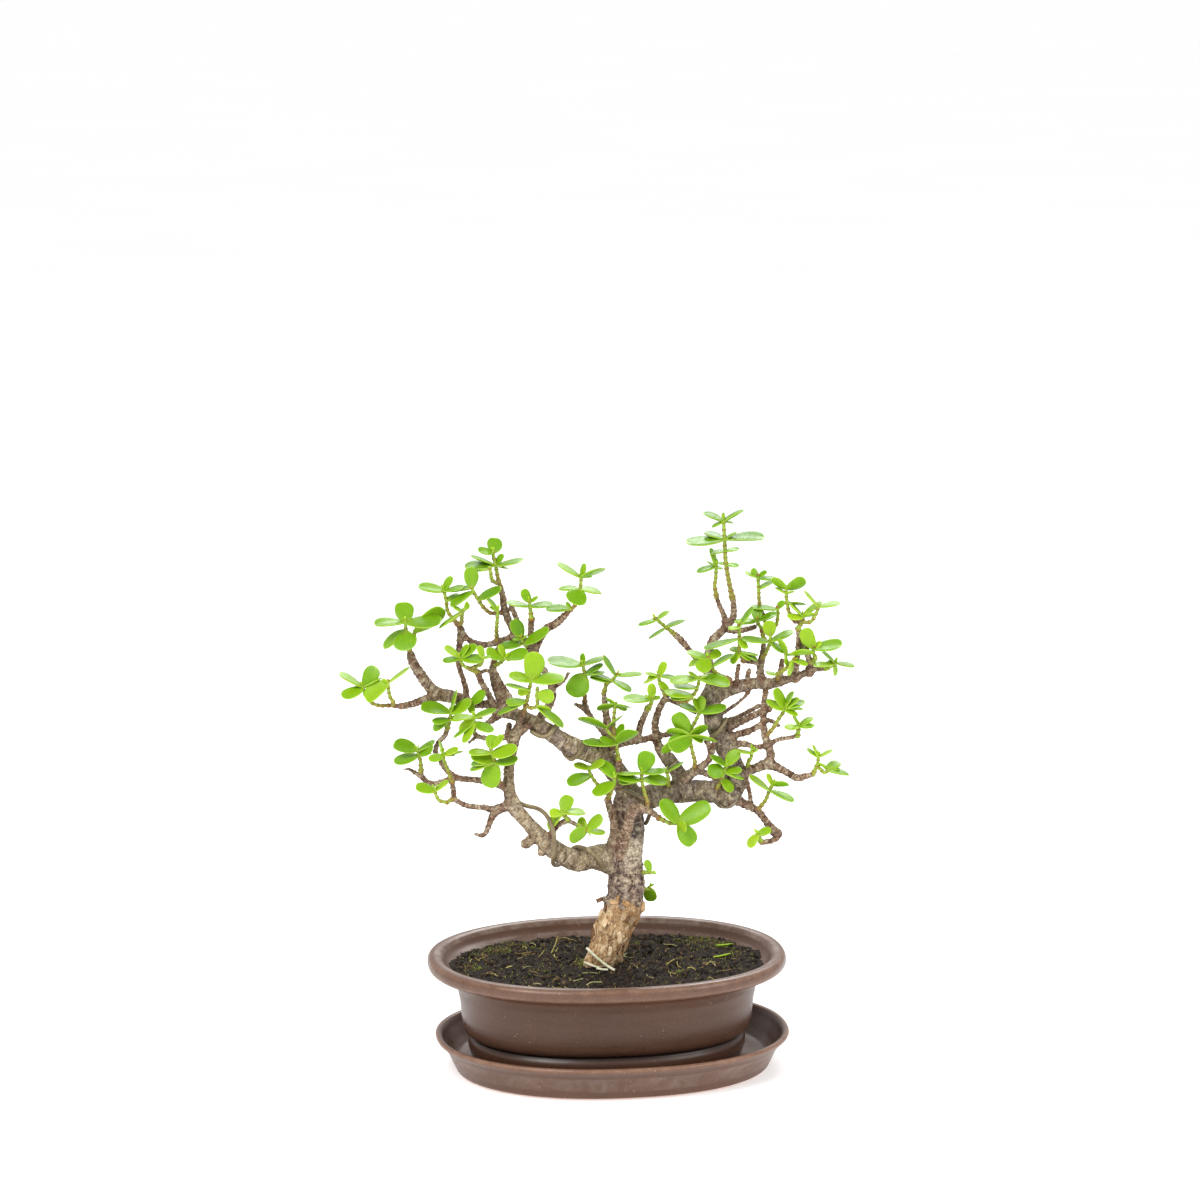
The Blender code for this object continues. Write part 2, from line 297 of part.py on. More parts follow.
# Shoots. stems: x, z, depth. leaves: stem, point, tip x, tip z, reach, width seen.
# A positive reach swings the leaf towards the eye. root: where the wood carries it.
SHOOTS = {
    "shoot_left_01": {
        "stems": [
            [(-89.3, 188.5, 2), (-90.3, 193, 1), (-90.7, 197.5, 0.5), (-91, 202, 0)],
            [(-87.4, 192, 4), (-87, 197.5, 5)],
        ],
        "leaves": [
            (0, 3, -92, 210.5, -11, 8.5), (0, 3, -104.5, 200.8, 14, 4), (0, 3, -75.3, 202.5, 16, 4.8),
            (1, 1, -74.5, 208, -15, 6.5), (0, 2, -91.5, 188.7, 12, 10.5),
            (0, 2, -101, 190.3, 12.5, 4.5),
        ],
    },
    "shoot_left_02": {
        "stems": [
            [(-95, 163.8, -3), (-98.5, 164, -4), (-103, 164, -5), (-106.5, 165.5, -6),
            (-109, 169, -6), (-110, 173, -6)],
            [(-96.5, 165, -6), (-98, 168, -8), (-98.6, 171.5, -9), (-98.8, 175, -9)],
        ],
        "leaves": [
            (1, 3, -89.5, 181.5, -11.5, 1.8), (1, 3, -109, 167, 12.5, 7.3),
            (1, 3, -101.5, 176, 3.5, 1.5),
            (0, 5, -120, 179, 12, 1.5), (0, 5, -119, 168, 11.5, 4.5), (0, 5, -104, 181.3, -10.5, 7.5),
            (0, 5, -101.5, 176.8, 9, 1), (0, 5, -114, 174.3, -5, 1.3),
        ],
    },
    "shoot_left_03": {
        "stems": [
            [(-67, 199.5, 10), (-69.3, 201.7, 10), (-72, 205.5, 10), (-73, 211, 10), (-74, 216, 10)],
            [(-66.6, 200.5, 9), (-66.2, 203, 8), (-65.8, 206, 6), (-64.8, 207.3, 5)],
        ],
        "leaves": [
            (0, 4, -85, 217.8, 11, 4), (0, 4, -70.5, 221.7, -6, 3.5), (0, 4, -65.5, 217.2, 9.5, 1.5),
            (0, 3, -66.7, 213.7, -7.5, 3.4), (1, 3, -63, 210, -5, 2.6), (1, 2, -76.5, 199, 12.9, 1.5),
            (1, 2, -72, 201.5, 7, 2.2), (1, 2, -69.8, 208.2, -4, 1.3),
        ],
    },
    "shoot_left_04": {
        "stems": [[(-49, 205.3, 13), (-53, 205.3, 11), (-56.5, 207.8, 9), (-59, 211.5, 8),
            (-61, 215, 7), (-61.9, 217.3, 7)]],
        "leaves": [
            (0, 5, -62.5, 226, -9.5, 6.5), (0, 5, -71.5, 215.6, 10, 1.6), (0, 4, -71, 208.5, 12.5, 4),
            (0, 3, -49, 217, 11, 4.8),
        ],
    },
    "shoot_left_05": {
        "stems": [[(-50.8, 194.5, 10), (-51, 198, 8), (-50.6, 203, 6), (-50.4, 207, 5)]],
        "leaves": [(0, 3, -55, 212.7, -7.8, 1.2), (0, 3, -54, 208.2, 4.2, 1)],
        "root": (-50.8, 192.4),
    },
    "shoot_left_06": {
        "stems": [
            [(-49.4, 217.5, 17), (-50.2, 221, 17), (-51.2, 226.5, 17), (-52.2, 231, 17),
            (-52.4, 233, 17)],
            [(-50.5, 219, 15), (-52.8, 220, 12), (-53.3, 222.5, 10), (-53.8, 225.7, 9)],
        ],
        "leaves": [
            (0, 4, -51.5, 239, -8, 7.5), (0, 4, -58.7, 233.4, 7.5, 3.4),
            (0, 2, -64.8, 226.3, 13.8, 2.8),
            (0, 2, -39.5, 229.5, 13, 2.8), (0, 2, -48, 231.6, -5.5, 2.5), (0, 2, -62, 231.4, -11, 1.3),
            (0, 2, -45.5, 225.4, 5.5, 1), (1, 3, -63.5, 225, 10, 2), (1, 3, -59, 224.3, -6, 1.2),
        ],
    },
    "shoot_left_07": {
        "stems": [[(-37.7, 190.3, 8), (-39.2, 191.8, 6), (-40.2, 194.5, 5)]],
        "leaves": [
            (0, 2, -43.5, 202.6, -9, 6), (0, 2, -44, 193.8, 4.3, 1), (0, 2, -37.5, 195.7, -3, 0.9),
            (0, 1, -28.7, 197.6, 11.5, 5), (0, 1, -49, 191, 10, 3),
        ],
    },
    "shoot_left_08": {
        "stems": [[(-35.8, 204.2, 5), (-36.3, 208.3, 5), (-36.5, 211, 5)]],
        "leaves": [
            (0, 1, -46.5, 210.5, 10.5, 1.3), (0, 1, -26.5, 209.6, 10.3, 1.8),
            (0, 2, -39.3, 216, -6, 4.2),
            (0, 2, -32.8, 212.9, 4.2, 1.8),
        ],
    },
    "shoot_left_09": {
        "stems": [[(-72.6, 154.8, 0), (-71.7, 158, -1), (-71.3, 161.5, -2)]],
        "leaves": [
            (0, 1, -79.3, 156.7, 8.5, 3.3), (0, 1, -79.5, 153.7, -9, 3.3),
            (0, 1, -64.7, 158.7, 7.5, 2.5),
            (0, 2, -84.5, 163.5, 13.5, 5), (0, 2, -62.5, 166, 11, 5), (0, 2, -69, 171, 10, 2.2),
        ],
    },
    "shoot_left_10": {
        "stems": [[(-61.8, 164.8, 0), (-62.7, 165.3, -2)]],
        "leaves": [
            (0, 1, -56.3, 170.2, 8.5, 4.5), (0, 1, -68.5, 161.5, 7, 2.5), (0, 1, -69, 169.5, 8, 1.3),
            (0, 1, -62, 160.5, 5, 3.3),
        ],
        "root": (-61, 164.8),
    },
    "shoot_left_11": {
        "stems": [
            [(-60.3, 180.5, -4), (-62.5, 180.3, -5), (-65, 181.5, -6), (-67.3, 186, -7)],
            [(-59, 182, -4), (-57.8, 183, -5), (-56.7, 185.7, -5)],
        ],
        "leaves": [
            (0, 3, -73.7, 190.6, -7.5, 2.8), (0, 3, -60, 191.2, -9, 3.8),
            (0, 3, -63.5, 191.3, -6.5, 2.5),
            (0, 3, -74.6, 184, 8.3, 2.4), (0, 3, -57.2, 184.8, 10.5, 3.1),
            (1, 2, -58.9, 190.8, -6, 2.8),
            (1, 2, -53.5, 186, 3.5, 0.9),
        ],
    },
    "shoot_left_12": {
        "stems": [[(-50.8, 181.5, 4), (-49, 183.5, 2), (-47, 185.8, 0)]],
        "leaves": [
            (0, 2, -55.4, 188.6, 9.3, 3.9), (0, 2, -37.3, 188.5, 9.8, 5.2), (0, 2, -49.7, 191.4, -6, 3),
            (0, 2, -44.8, 184.2, 2.8, 1.3),
        ],
    },
    "shoot_left_13": {
        "stems": [[(-61.5, 153.6, -12), (-61.1, 156, -12), (-61.2, 159.5, -12)]],
        "leaves": [
            (0, 2, -51.3, 162.5, 9.5, 3.2), (0, 2, -70, 158.3, 9.2, 2.2), (0, 2, -57.3, 158.8, -5, 2),
            (0, 1, -67.7, 152.3, 7.5, 4.2), (0, 0, -52.8, 152.6, 10, 4.2),
            (0, 0, -65.7, 147.5, 7.5, 2.6),
            (0, 0, -70.5, 149.9, 10, 1.1),
        ],
    },
    "shoot_left_14": {
        "stems": [[(-48.8, 127.7, -13), (-50, 130, -15), (-50.8, 134, -17), (-52, 138.5, -18),
            (-53.3, 142.5, -19), (-54, 145.5, -19)]],
        "leaves": [
            (0, 5, -53, 151, -7, 5.5), (0, 5, -48.3, 150.7, -6, 3), (0, 4, -42.5, 144.5, 12.5, 5),
            (0, 4, -63.7, 143.3, 10.5, 2.8), (0, 3, -42.5, 139.3, 11.5, 3.3),
            (0, 3, -62.5, 141.5, -10, 4.8),
            (0, 3, -62.7, 137.8, 10.5, 1.8), (0, 3, -63.3, 135.5, -11.5, 1.3),
            (0, 3, -55.7, 127, 11.5, 9),
        ],
    },
    "shoot_left_15": {
        "stems": [[(-84.5, 135.6, 6), (-84.8, 138.5, 5), (-85.6, 141.5, 4), (-86.2, 144.5, 3)]],
        "leaves": [
            (0, 3, -96.7, 146.8, 11, 6), (0, 3, -78.6, 148.6, -9, 1.2), (0, 2, -96.7, 139, 11.5, 3.7),
            (0, 2, -79.5, 146, 8.5, 4.2), (0, 2, -79.8, 142.8, -6.5, 1.2),
        ],
    },
    "shoot_left_16": {
        "stems": [[(-71.3, 131, -10.5), (-72.8, 135, -12), (-74.5, 139.5, -13), (-75, 142.5, -13)]],
        "leaves": [
            (0, 3, -80.7, 139.3, 8.3, 3.6), (0, 3, -68.3, 144.5, 7.5, 2.8),
            (0, 3, -69.5, 142.3, -6, 1.6),
            (0, 3, -66, 143.6, -9.5, 0.9), (0, 3, -76.3, 148.2, -6.5, 1),
        ],
    },
    "shoot_left_17": {
        "stems": [[(-72, 120.8, -12), (-74, 120.3, -12), (-76.5, 121, -12), (-78, 123.3, -12),
            (-78.4, 126.2, -12)]],
        "leaves": [(0, 4, -87, 128, 9, 4.6), (0, 4, -72.5, 130.2, -7.5, 1.8)],
    },
    "shoot_left_18": {
        "stems": [
            [(-38.9, 161.8, -10.5), (-37.8, 166, -12), (-36.7, 171, -14), (-35.7, 176, -15)],
            [(-36.4, 163, -13), (-33.6, 163.5, -14), (-33.4, 169, -14), (-33.1, 172, -14)],
        ],
        "leaves": [
            (0, 3, -34, 188, -11.5, 9.3), (0, 3, -45.6, 177.5, 10.5, 4.7), (0, 3, -21.3, 177, 13, 5),
            (0, 2, -47, 173.8, 11, 1.7), (0, 2, -41.8, 169.5, 5, 3.6), (0, 1, -46.7, 165.3, 9.5, 3),
            (0, 1, -51, 160.8, 13.5, 2.8), (1, 2, -26, 167.3, 8.5, 6.3), (1, 1, -27.3, 163, 7, 2),
            (1, 1, -21.2, 154.8, 13.5, 4),
        ],
    },
    "shoot_left_19": {
        "stems": [[(-19.8, 112.6, -15.5), (-21.8, 114.8, -16)]],
        "leaves": [
            (0, 1, -19.2, 123.6, -9.5, 6.2), (0, 1, -28, 115.2, 6.5, 4.3), (0, 1, -29, 108.7, 10, 3.8),
            (0, 1, -12, 116, -10.5, 2.7),
        ],
        "root": (-19.5, 111.8),
    },
    "shoot_left_20": {
        "stems": [[(-12.4, 108, -15), (-10.8, 107, -15)]],
        "leaves": [
            (0, 1, -14.7, 113, -7.5, 4.5), (0, 1, -4.5, 114, 9, 5), (0, 1, -3.3, 106, 7.5, 2.4),
            (0, 1, -19, 103.3, 9.5, 6.3),
        ],
        "root": (-15, 109.4),
    },
    "shoot_mid_01": {
        "stems": [[(-20, 205.5, -2), (-17.2, 208, -4), (-15.6, 210.7, -5), (-14.3, 216, -6),
            (-13.8, 222, -6)]],
        "leaves": [
            (0, 0, -29.4, 207.6, -9.5, 3.6), (0, 0, -20.5, 210, 4, 1.5), (0, 0, -26, 206.5, 6, 1.5),
            (0, 3, -17, 209.7, 11, 10), (0, 3, -23.5, 217, -10, 2.5), (0, 3, -5, 215, -10, 2.5),
            (0, 4, -24, 228, 12, 2.5), (0, 4, -4, 226, 12, 2.5), (0, 4, -12.5, 227.5, -6, 2.5),
            (0, 4, -18, 224, -5.5, 1.5), (0, 4, -9, 222, -5.5, 1.5),
        ],
    },
    "shoot_mid_02": {
        "stems": [[(-12.4, 167.2, 12.5), (-12.3, 172, 11), (-12.4, 178, 9), (-13.3, 183, 8)]],
        "leaves": [
            (0, 3, -13.2, 187.5, -5, 2.5), (0, 3, -28.5, 184.5, 16, 5.5), (0, 3, -3.5, 186, -10.7, 3),
            (0, 2, -4.5, 183, 9, 2.2), (0, 2, -3.5, 179, 9.5, 1.8), (0, 2, -18.5, 168.5, 12, 10),
        ],
    },
    "shoot_mid_03": {
        "stems": [[(-3.9, 171.5, 10), (-2.8, 173.5, 9), (-0.5, 175.3, 8), (2, 178, 7)]],
        "leaves": [
            (0, 3, -4, 186.5, -11, 2), (0, 3, 13, 178.5, 11.5, 1.5), (0, 2, -9.5, 179, 10, 2),
            (0, 2, 8.5, 171, 10, 2), (0, 1, -10, 177, -6, 2),
        ],
    },
    "shoot_mid_04": {
        "stems": [
            [(2.5, 141.5, -6), (1.8, 144.5, -6.5), (1.9, 147.8, -7)],
            [(1.2, 149, -6), (-1, 151, -5), (-3.4, 154.5, -3)],
            [(1.2, 150, -5), (0.5, 155, -3), (0.6, 160, 0), (1.4, 165, 2)],
        ],
        "leaves": [
            (0, 2, -12.7, 147.7, 15, 1.8), (0, 2, -5.5, 149, 8.5, 2.5), (0, 2, 9.3, 153.5, 12, 6),
            (0, 2, 4.5, 155.8, -9, 4), (1, 2, -15.5, 158.7, 13.5, 4.3), (1, 2, 4.3, 160, -9.5, 1.5),
            (2, 3, 8, 163.5, 7.5, 1.2), (2, 3, -7, 162.5, -8.5, 2.5), (2, 3, 6.2, 162, -5.5, 3),
            (2, 3, -2.8, 167.3, 4.5, 1.3),
        ],
    },
    "shoot_mid_05": {
        "stems": [
            [(22.6, 170, -2), (21.2, 172.5, -3), (20.5, 175, -4), (20.2, 178, -5)],
            [(25, 169.5, -6), (28.5, 166.2, -8), (32.5, 166, -9), (35.5, 168.7, -10),
            (37.2, 172, -11), (38.2, 177, -11)],
        ],
        "leaves": [
            (0, 3, 23, 183.6, -7, 3.8), (0, 3, 14, 178.8, 6.5, 1.2), (0, 3, 15, 176, -5.5, 2.7),
            (0, 3, 13.3, 174.2, 7.5, 1.1), (0, 3, 28, 177, -8, 1.1), (0, 2, 24, 170.7, 6.5, 3),
            (1, 5, 33.3, 179.3, 5.5, 1.8), (1, 5, 41.7, 178, -4.5, 1.6), (1, 5, 25.3, 174.8, 13.5, 3.3),
            (1, 5, 51.7, 174, 13.5, 5), (1, 4, 27, 173, 10.5, 2.6), (1, 3, 23.3, 170.3, 13.5, 2.2),
            (1, 3, 25.5, 167.7, 10.5, 2.6),
        ],
    },
    "shoot_mid_06": {
        "stems": [[(15.4, 163, -6), (17, 165, -7), (17.7, 167.7, -7)]],
        "leaves": [
            (0, 2, 5, 167, 13.5, 4.5), (0, 2, 20.9, 168.2, -4, 1.8), (0, 2, 17, 174, -6, 4.2),
            (0, 2, 14.3, 168.6, 3.8, 1.4),
        ],
    },
    "shoot_mid_07": {
        "stems": [[(25.5, 197.3, 21), (23.5, 199, 20), (21, 201, 19), (18.7, 203, 18)]],
        "leaves": [
            (0, 1, 31.5, 202.8, -9.7, 1.5), (0, 1, 15.5, 194.2, 9.5, 1.5), (0, 3, 11, 200.5, 8.5, 1.8),
            (0, 3, 24.7, 206.6, -7, 2),
        ],
    },
    "shoot_mid_08": {
        "stems": [
            [(-1.8, 123.3, -6), (-0.3, 126, -9), (0.9, 129.5, -12), (1, 132, -13)],
            [(-3, 124.5, -6), (-4.7, 126.3, -5), (-7.3, 129, -4), (-9.5, 132.5, -4),
            (-10.8, 136.5, -5)],
        ],
        "leaves": [
            (0, 2, -8.6, 124, 12, 5), (0, 3, -5.2, 138.7, -10, 5), (1, 3, -19.8, 128.5, 12, 4.7),
            (1, 4, -17.2, 137.3, 7, 3), (1, 4, -0.8, 142.7, 12.5, 4.5), (1, 4, -4, 138.5, 7.5, 2.8),
        ],
    },
    "shoot_mid_09": {
        "stems": [[(15.6, 120, -9.5), (15, 122, -9), (13.7, 126.5, -9), (12.8, 130.5, -9),
            (13.1, 134.3, -9)]],
        "leaves": [
            (0, 4, 16.2, 143.3, -10, 8), (0, 4, 2.5, 133.7, 11, 1.2), (0, 4, 23, 134.5, 10.5, 1),
            (0, 3, 24.2, 130, 11, 4.3), (0, 3, 2.3, 131.5, 11, 2.7), (0, 3, 3, 129.3, 10.5, 1.6),
        ],
        "root": (15.5, 116.8),
    },
    "shoot_mid_10": {
        "stems": [[(24.5, 131.5, -3), (23.6, 134.8, -3)]],
        "leaves": [(0, 1, 15.3, 135.8, 8.8, 1.1), (0, 1, 31, 138.6, 9, 1.1)],
        "root": (24.5, 124.3),
    },
    "shoot_mid_11": {
        "stems": [[(22.4, 111.9, -9), (25, 110.8, -9.5), (28, 110.7, -10), (30, 111, -10)]],
        "leaves": [
            (0, 3, 21.5, 121.3, 12.5, 7), (0, 3, 43.3, 119, -13, 8.3), (0, 3, 33, 107.8, 7.5, 4),
            (0, 3, 36, 101, 12, 7.8),
        ],
    },
    "shoot_top_01": {
        "stems": [[(52, 214.5, 19), (51.3, 217, 19), (50.5, 221, 19), (49.5, 227, 19),
            (49, 233, 19), (48.8, 238, 19), (48.5, 243, 19), (48.3, 247, 19)]],
        "leaves": [
            (0, 7, 39.5, 250, 9.5, 2), (0, 7, 57, 251.5, 10, 2), (0, 7, 43, 243.8, 5.5, 1.5),
            (0, 7, 52.5, 245.6, -4.5, 1), (0, 7, 48, 250, 3, 1.2), (0, 5, 32, 237.5, 17, 3),
            (0, 5, 66, 239.3, 17.5, 3), (0, 5, 40, 241.5, -10, 2), (0, 5, 54, 241.5, -6, 1.5),
            (0, 4, 55, 234, 6.5, 1.8), (0, 4, 42.5, 232, 6.5, 1.8), (0, 3, 55, 226.3, 6, 2),
            (0, 3, 46, 228, -4, 1.5),
        ],
    },
    "shoot_top_02": {
        "stems": [[(45, 214.8, 21), (44.6, 217, 21), (45, 221, 21), (45.2, 227, 21)]],
        "leaves": [
            (0, 3, 43, 234.5, -7, 2.5), (0, 3, 36.5, 224, 8.5, 2.8), (0, 3, 47.8, 225, 4, 1.5),
            (0, 3, 41, 228.5, 4.5, 1),
        ],
    },
    "shoot_right_01": {
        "stems": [[(55.4, 184.5, -2.5), (55.8, 188, -4), (55.6, 194, -5), (55.3, 200, -5)]],
        "leaves": [
            (0, 3, 61.3, 208.4, -9, 1.3), (0, 3, 51.3, 198.3, 6.5, 2), (0, 2, 39.8, 190.2, 16.5, 2.2),
            (0, 2, 58.7, 189.6, 6.5, 3.3), (0, 1, 51.7, 190.2, -6, 3), (0, 1, 52.2, 182.8, 6.5, 3),
            (0, 1, 64, 186.8, 8.5, 1.3), (0, 1, 63.8, 184.5, -8.5, 1.6), (0, 1, 60.5, 184.5, 6, 2.2),
        ],
    },
    "shoot_right_02": {
        "stems": [
            [(66.6, 196, 5.5), (65.2, 198.5, 5), (63.8, 200.5, 5), (63.4, 203, 5)],
            [(67, 199, 8), (66, 204, 10), (64.3, 209.5, 10), (63.8, 216, 10), (63.5, 222, 10)],
            [(68.5, 198, 8), (71.3, 199.5, 10), (72.3, 203.5, 10), (72.2, 208, 10)],
        ],
        "leaves": [
            (0, 3, 63.3, 208.2, -6.5, 5), (0, 3, 71.6, 205, 9.5, 2.6), (0, 3, 53.4, 201.8, 10.5, 2.2),
            (1, 4, 57.8, 223.6, 6.5, 1.5), (1, 4, 61, 225.2, -4.5, 3), (1, 4, 67.2, 224.2, -4.5, 2),
            (1, 4, 71, 221.2, 8, 1.6), (1, 3, 70.5, 219.8, -7.5, 1.8), (2, 3, 60.6, 208.4, 12.3, 3),
            (2, 3, 75.2, 211, -5.5, 3),
        ],
    },
    "shoot_right_03": {
        "stems": [
            [(81.8, 201, -10.8), (83, 202.3, -11), (83.5, 204.3, -11)],
            [(80.5, 201.5, -10), (78.8, 202.7, -8), (77.3, 205.5, -6), (76.4, 209.5, -5),
            (75.9, 214, -5), (75.9, 217, -5)],
            [(84, 201.3, -12), (86.6, 201.5, -13), (88.8, 204.5, -14), (90.2, 209, -14)],
        ],
        "leaves": [
            (0, 2, 76.8, 211, -10, 1.3), (0, 2, 91.5, 210.8, -11, 1.3), (0, 2, 76.5, 204.2, 7.5, 2.3),
            (0, 2, 89.4, 205.3, 7, 2.4), (1, 5, 69.5, 221, 8, 2.8), (1, 5, 84.2, 220.5, -9.3, 4.5),
            (1, 4, 71, 217, -6, 1.2), (1, 4, 79.6, 215.2, 4.2, 1), (1, 3, 84.6, 209.8, 9, 1.3),
            (2, 3, 84, 215.6, -9, 1.3), (2, 3, 99.5, 210, 10, 1.8),
        ],
    },
    "shoot_right_04": {
        "stems": [[(66.8, 187, 0), (67.8, 189, -1), (69, 192.7, -3), (69.2, 195.8, -3)]],
        "leaves": [
            (0, 3, 68, 202, -6.5, 6.3), (0, 2, 79.1, 197.8, -11, 2), (0, 2, 56.8, 194.2, 13, 3),
            (0, 2, 76.2, 188, 9, 2.3),
        ],
        "root": (65.5, 185),
    },
    "shoot_right_05": {
        "stems": [[(87.6, 185.3, -7), (88.1, 187.5, -8), (88.2, 190.3, -9)]],
        "leaves": [
            (0, 2, 83.6, 198.2, -9, 6.6), (0, 2, 100.6, 192, 13, 4.2), (0, 2, 91.6, 192.7, -4.5, 2.3),
            (0, 1, 78.4, 188.5, 10, 3.2),
        ],
        "root": (86.3, 183.5),
    },
    "shoot_right_06": {
        "stems": [[(95.5, 181, -3), (96.8, 182.3, -3), (97.6, 183.6, -3)]],
        "leaves": [
            (0, 2, 91.7, 189, -8.3, 1.3), (0, 2, 106.4, 181.6, 9.3, 1.1), (0, 1, 97.9, 177.2, 5.5, 2.2),
            (0, 1, 93.9, 184.2, -4, 1.4), (0, 0, 88.4, 182.4, 7.5, 2.2),
        ],
    },
    "shoot_right_07": {
        "stems": [
            [(72.5, 178, -4), (74.7, 179.5, -6), (77.2, 182, -9), (79.6, 184.9, -11)],
            [(76.2, 184, -8), (76.1, 187.5, -7)],
        ],
        "leaves": [
            (0, 3, 77.3, 177.4, 7.5, 2.8), (0, 3, 85.6, 182.3, 7, 1.8), (0, 2, 75.7, 184.6, 4, 2.4),
            (1, 1, 73.3, 194.4, -9, 1.3), (1, 1, 80, 187.2, 4.2, 1), (0, 0, 67.3, 179, 6, 1.8),
        ],
        "root": (72.5, 174.8),
    },
    "shoot_right_08": {
        "stems": [[(51.5, 176, -2), (48.5, 177, -4), (45.6, 178.6, -7), (43.4, 181.3, -9),
            (41.9, 185.8, -10)]],
        "leaves": [
            (0, 4, 38.3, 179.5, 10.5, 7), (0, 4, 32.6, 188.4, 9.3, 3.7), (0, 4, 33, 182.3, -10, 3),
            (0, 4, 47.2, 188.5, -6.5, 4), (0, 3, 53, 187, 10.5, 1.5),
        ],
        "root": (52, 172),
    },
    "shoot_right_09": {
        "stems": [
            [(36.3, 138.5, -6), (35.2, 143, -7), (34.4, 147.5, -7), (34.1, 151, -6)],
            [(34.6, 153.5, -5), (35.9, 156, -5), (37.3, 158.8, -5), (38.6, 161.8, -5)],
        ],
        "leaves": [
            (0, 3, 27.5, 160.7, -10, 7.5), (0, 3, 23.7, 153, 10.8, 3.5), (0, 3, 41.6, 155.2, 9, 3.8),
            (0, 3, 25.5, 144.5, 12, 8.8), (0, 3, 21.4, 143.3, 14.5, 3.8), (0, 3, 46, 148.5, 12, 1.5),
            (0, 3, 39.8, 147.5, 6.5, 2.4), (1, 3, 39.2, 168.4, -6.8, 4), (1, 3, 50, 163.7, 12, 4.4),
            (1, 3, 35.6, 167.2, -6.5, 2.8), (1, 3, 29.6, 165, 9, 2),
        ],
        "root": (36.8, 135),
    },
    "shoot_right_10": {
        "stems": [[(69.2, 151.8, -5), (71, 154.3, -6), (73.3, 158.3, -7), (75.3, 161.3, -8),
            (76, 163.2, -8)]],
        "leaves": [
            (0, 4, 71.6, 171.7, -9.5, 4.2), (0, 4, 68, 165.7, 9.5, 4), (0, 4, 84.6, 166, 9.3, 3),
            (0, 4, 84, 162.9, -9, 1.6), (0, 4, 79.3, 170.5, -9, 2.2), (0, 4, 82, 167.5, -7, 1.8),
            (0, 4, 81.5, 159.6, 7, 2),
        ],
        "root": (67.3, 150),
    },
    "shoot_right_11": {
        "stems": [[(82, 152.5, -7), (82.1, 155.3, -7)]],
        "leaves": [
            (0, 1, 79.5, 160.6, -6.5, 1.8), (0, 1, 88, 159, -7.5, 1.8), (0, 1, 89, 155, 7.5, 2.2),
            (0, 1, 76.1, 154, 7.5, 2.8),
        ],
    },
    "shoot_right_12": {
        "stems": [
            [(89.4, 134.8, -9), (90.3, 137.5, -9), (90.7, 141.5, -9)],
            [(91, 133.8, -9), (92, 133, -9), (93.5, 133.6, -9), (95.3, 135.3, -9)],
        ],
        "leaves": [
            (0, 2, 85.7, 144.8, 6, 1.1), (0, 2, 88.3, 146.5, -5, 1), (0, 2, 97, 144.2, 6.8, 1.2),
            (0, 2, 93.7, 142.2, -3.3, 1), (0, 1, 93.6, 136.9, 4.3, 1.6), (1, 3, 104.6, 133, 9.6, 2.2),
            (1, 3, 99.6, 139, -8.5, 4.5), (1, 3, 100, 136.2, -6.5, 1.6), (1, 3, 92.8, 137.8, -4, 1.6),
        ],
    },
    "shoot_right_13": {
        "stems": [[(65.2, 119, -5), (66.8, 120, -6), (68.2, 122.5, -7), (69.3, 125.7, -8),
            (71, 128.7, -8)]],
        "leaves": [
            (0, 3, 60.8, 131.8, 11.5, 2.2), (0, 3, 80.2, 121, 12.5, 2), (0, 4, 68.4, 133.2, -5.5, 2.6),
            (0, 4, 78, 128.7, 8, 2.9),
        ],
    },
    "shoot_right_14": {
        "stems": [[(64.6, 104.3, -7), (64.3, 105.8, -7.5)]],
        "leaves": [(0, 1, 60.3, 99.8, 7.5, 3.8), (0, 1, 70, 108.3, -6.5, 3.8),
            (0, 1, 63.9, 107.5, -3.2, 1.6)],
    },
    "shoot_right_15": {
        "stems": [[(46.8, 127.8, -7), (48.2, 130.8, -8), (49.4, 134.2, -9), (50.3, 137.8, -9)]],
        "leaves": [
            (0, 2, 42, 134.6, 8.5, 6.8), (0, 2, 57, 135, 7.8, 2.5), (0, 2, 58, 131.1, 9.5, 2),
            (0, 3, 43.4, 141, 8.5, 3.2), (0, 3, 55.7, 143.8, 8.2, 5), (0, 1, 53.2, 125.4, 7, 4.2),
        ],
        "root": (46, 125),
    },
    "shoot_right_16": {
        "stems": [[(60, 137.5, -6), (60.8, 140, -7), (61.5, 143.5, -7)]],
        "leaves": [(0, 2, 55, 143.8, 7.2, 1), (0, 2, 64.2, 144.3, 3.2, 1),
            (0, 2, 61.3, 147, -3.5, 1.2)],
        "root": (59.5, 134.4),
    },
    "shoot_trunk_01": {
        "stems": [[(15.3, 88.3, -3), (15.6, 89.2, -3.3)]],
        "leaves": [(0, 1, 14.9, 94.0, 5.4, 3.3)],
    },
    "shoot_trunk_02": {
        "stems": [[(15.5, 80.7, 5), (16.6, 82, 5.5)]],
        "leaves": [(0, 1, 16.9, 75.3, -7.2, 6.0)],
    },
}

# Thicker stems for the tall leader
STEM_RADII = {"shoot_top_01": (1.15, 0.75)}
STEM_RADIUS = (0.95, 0.75)

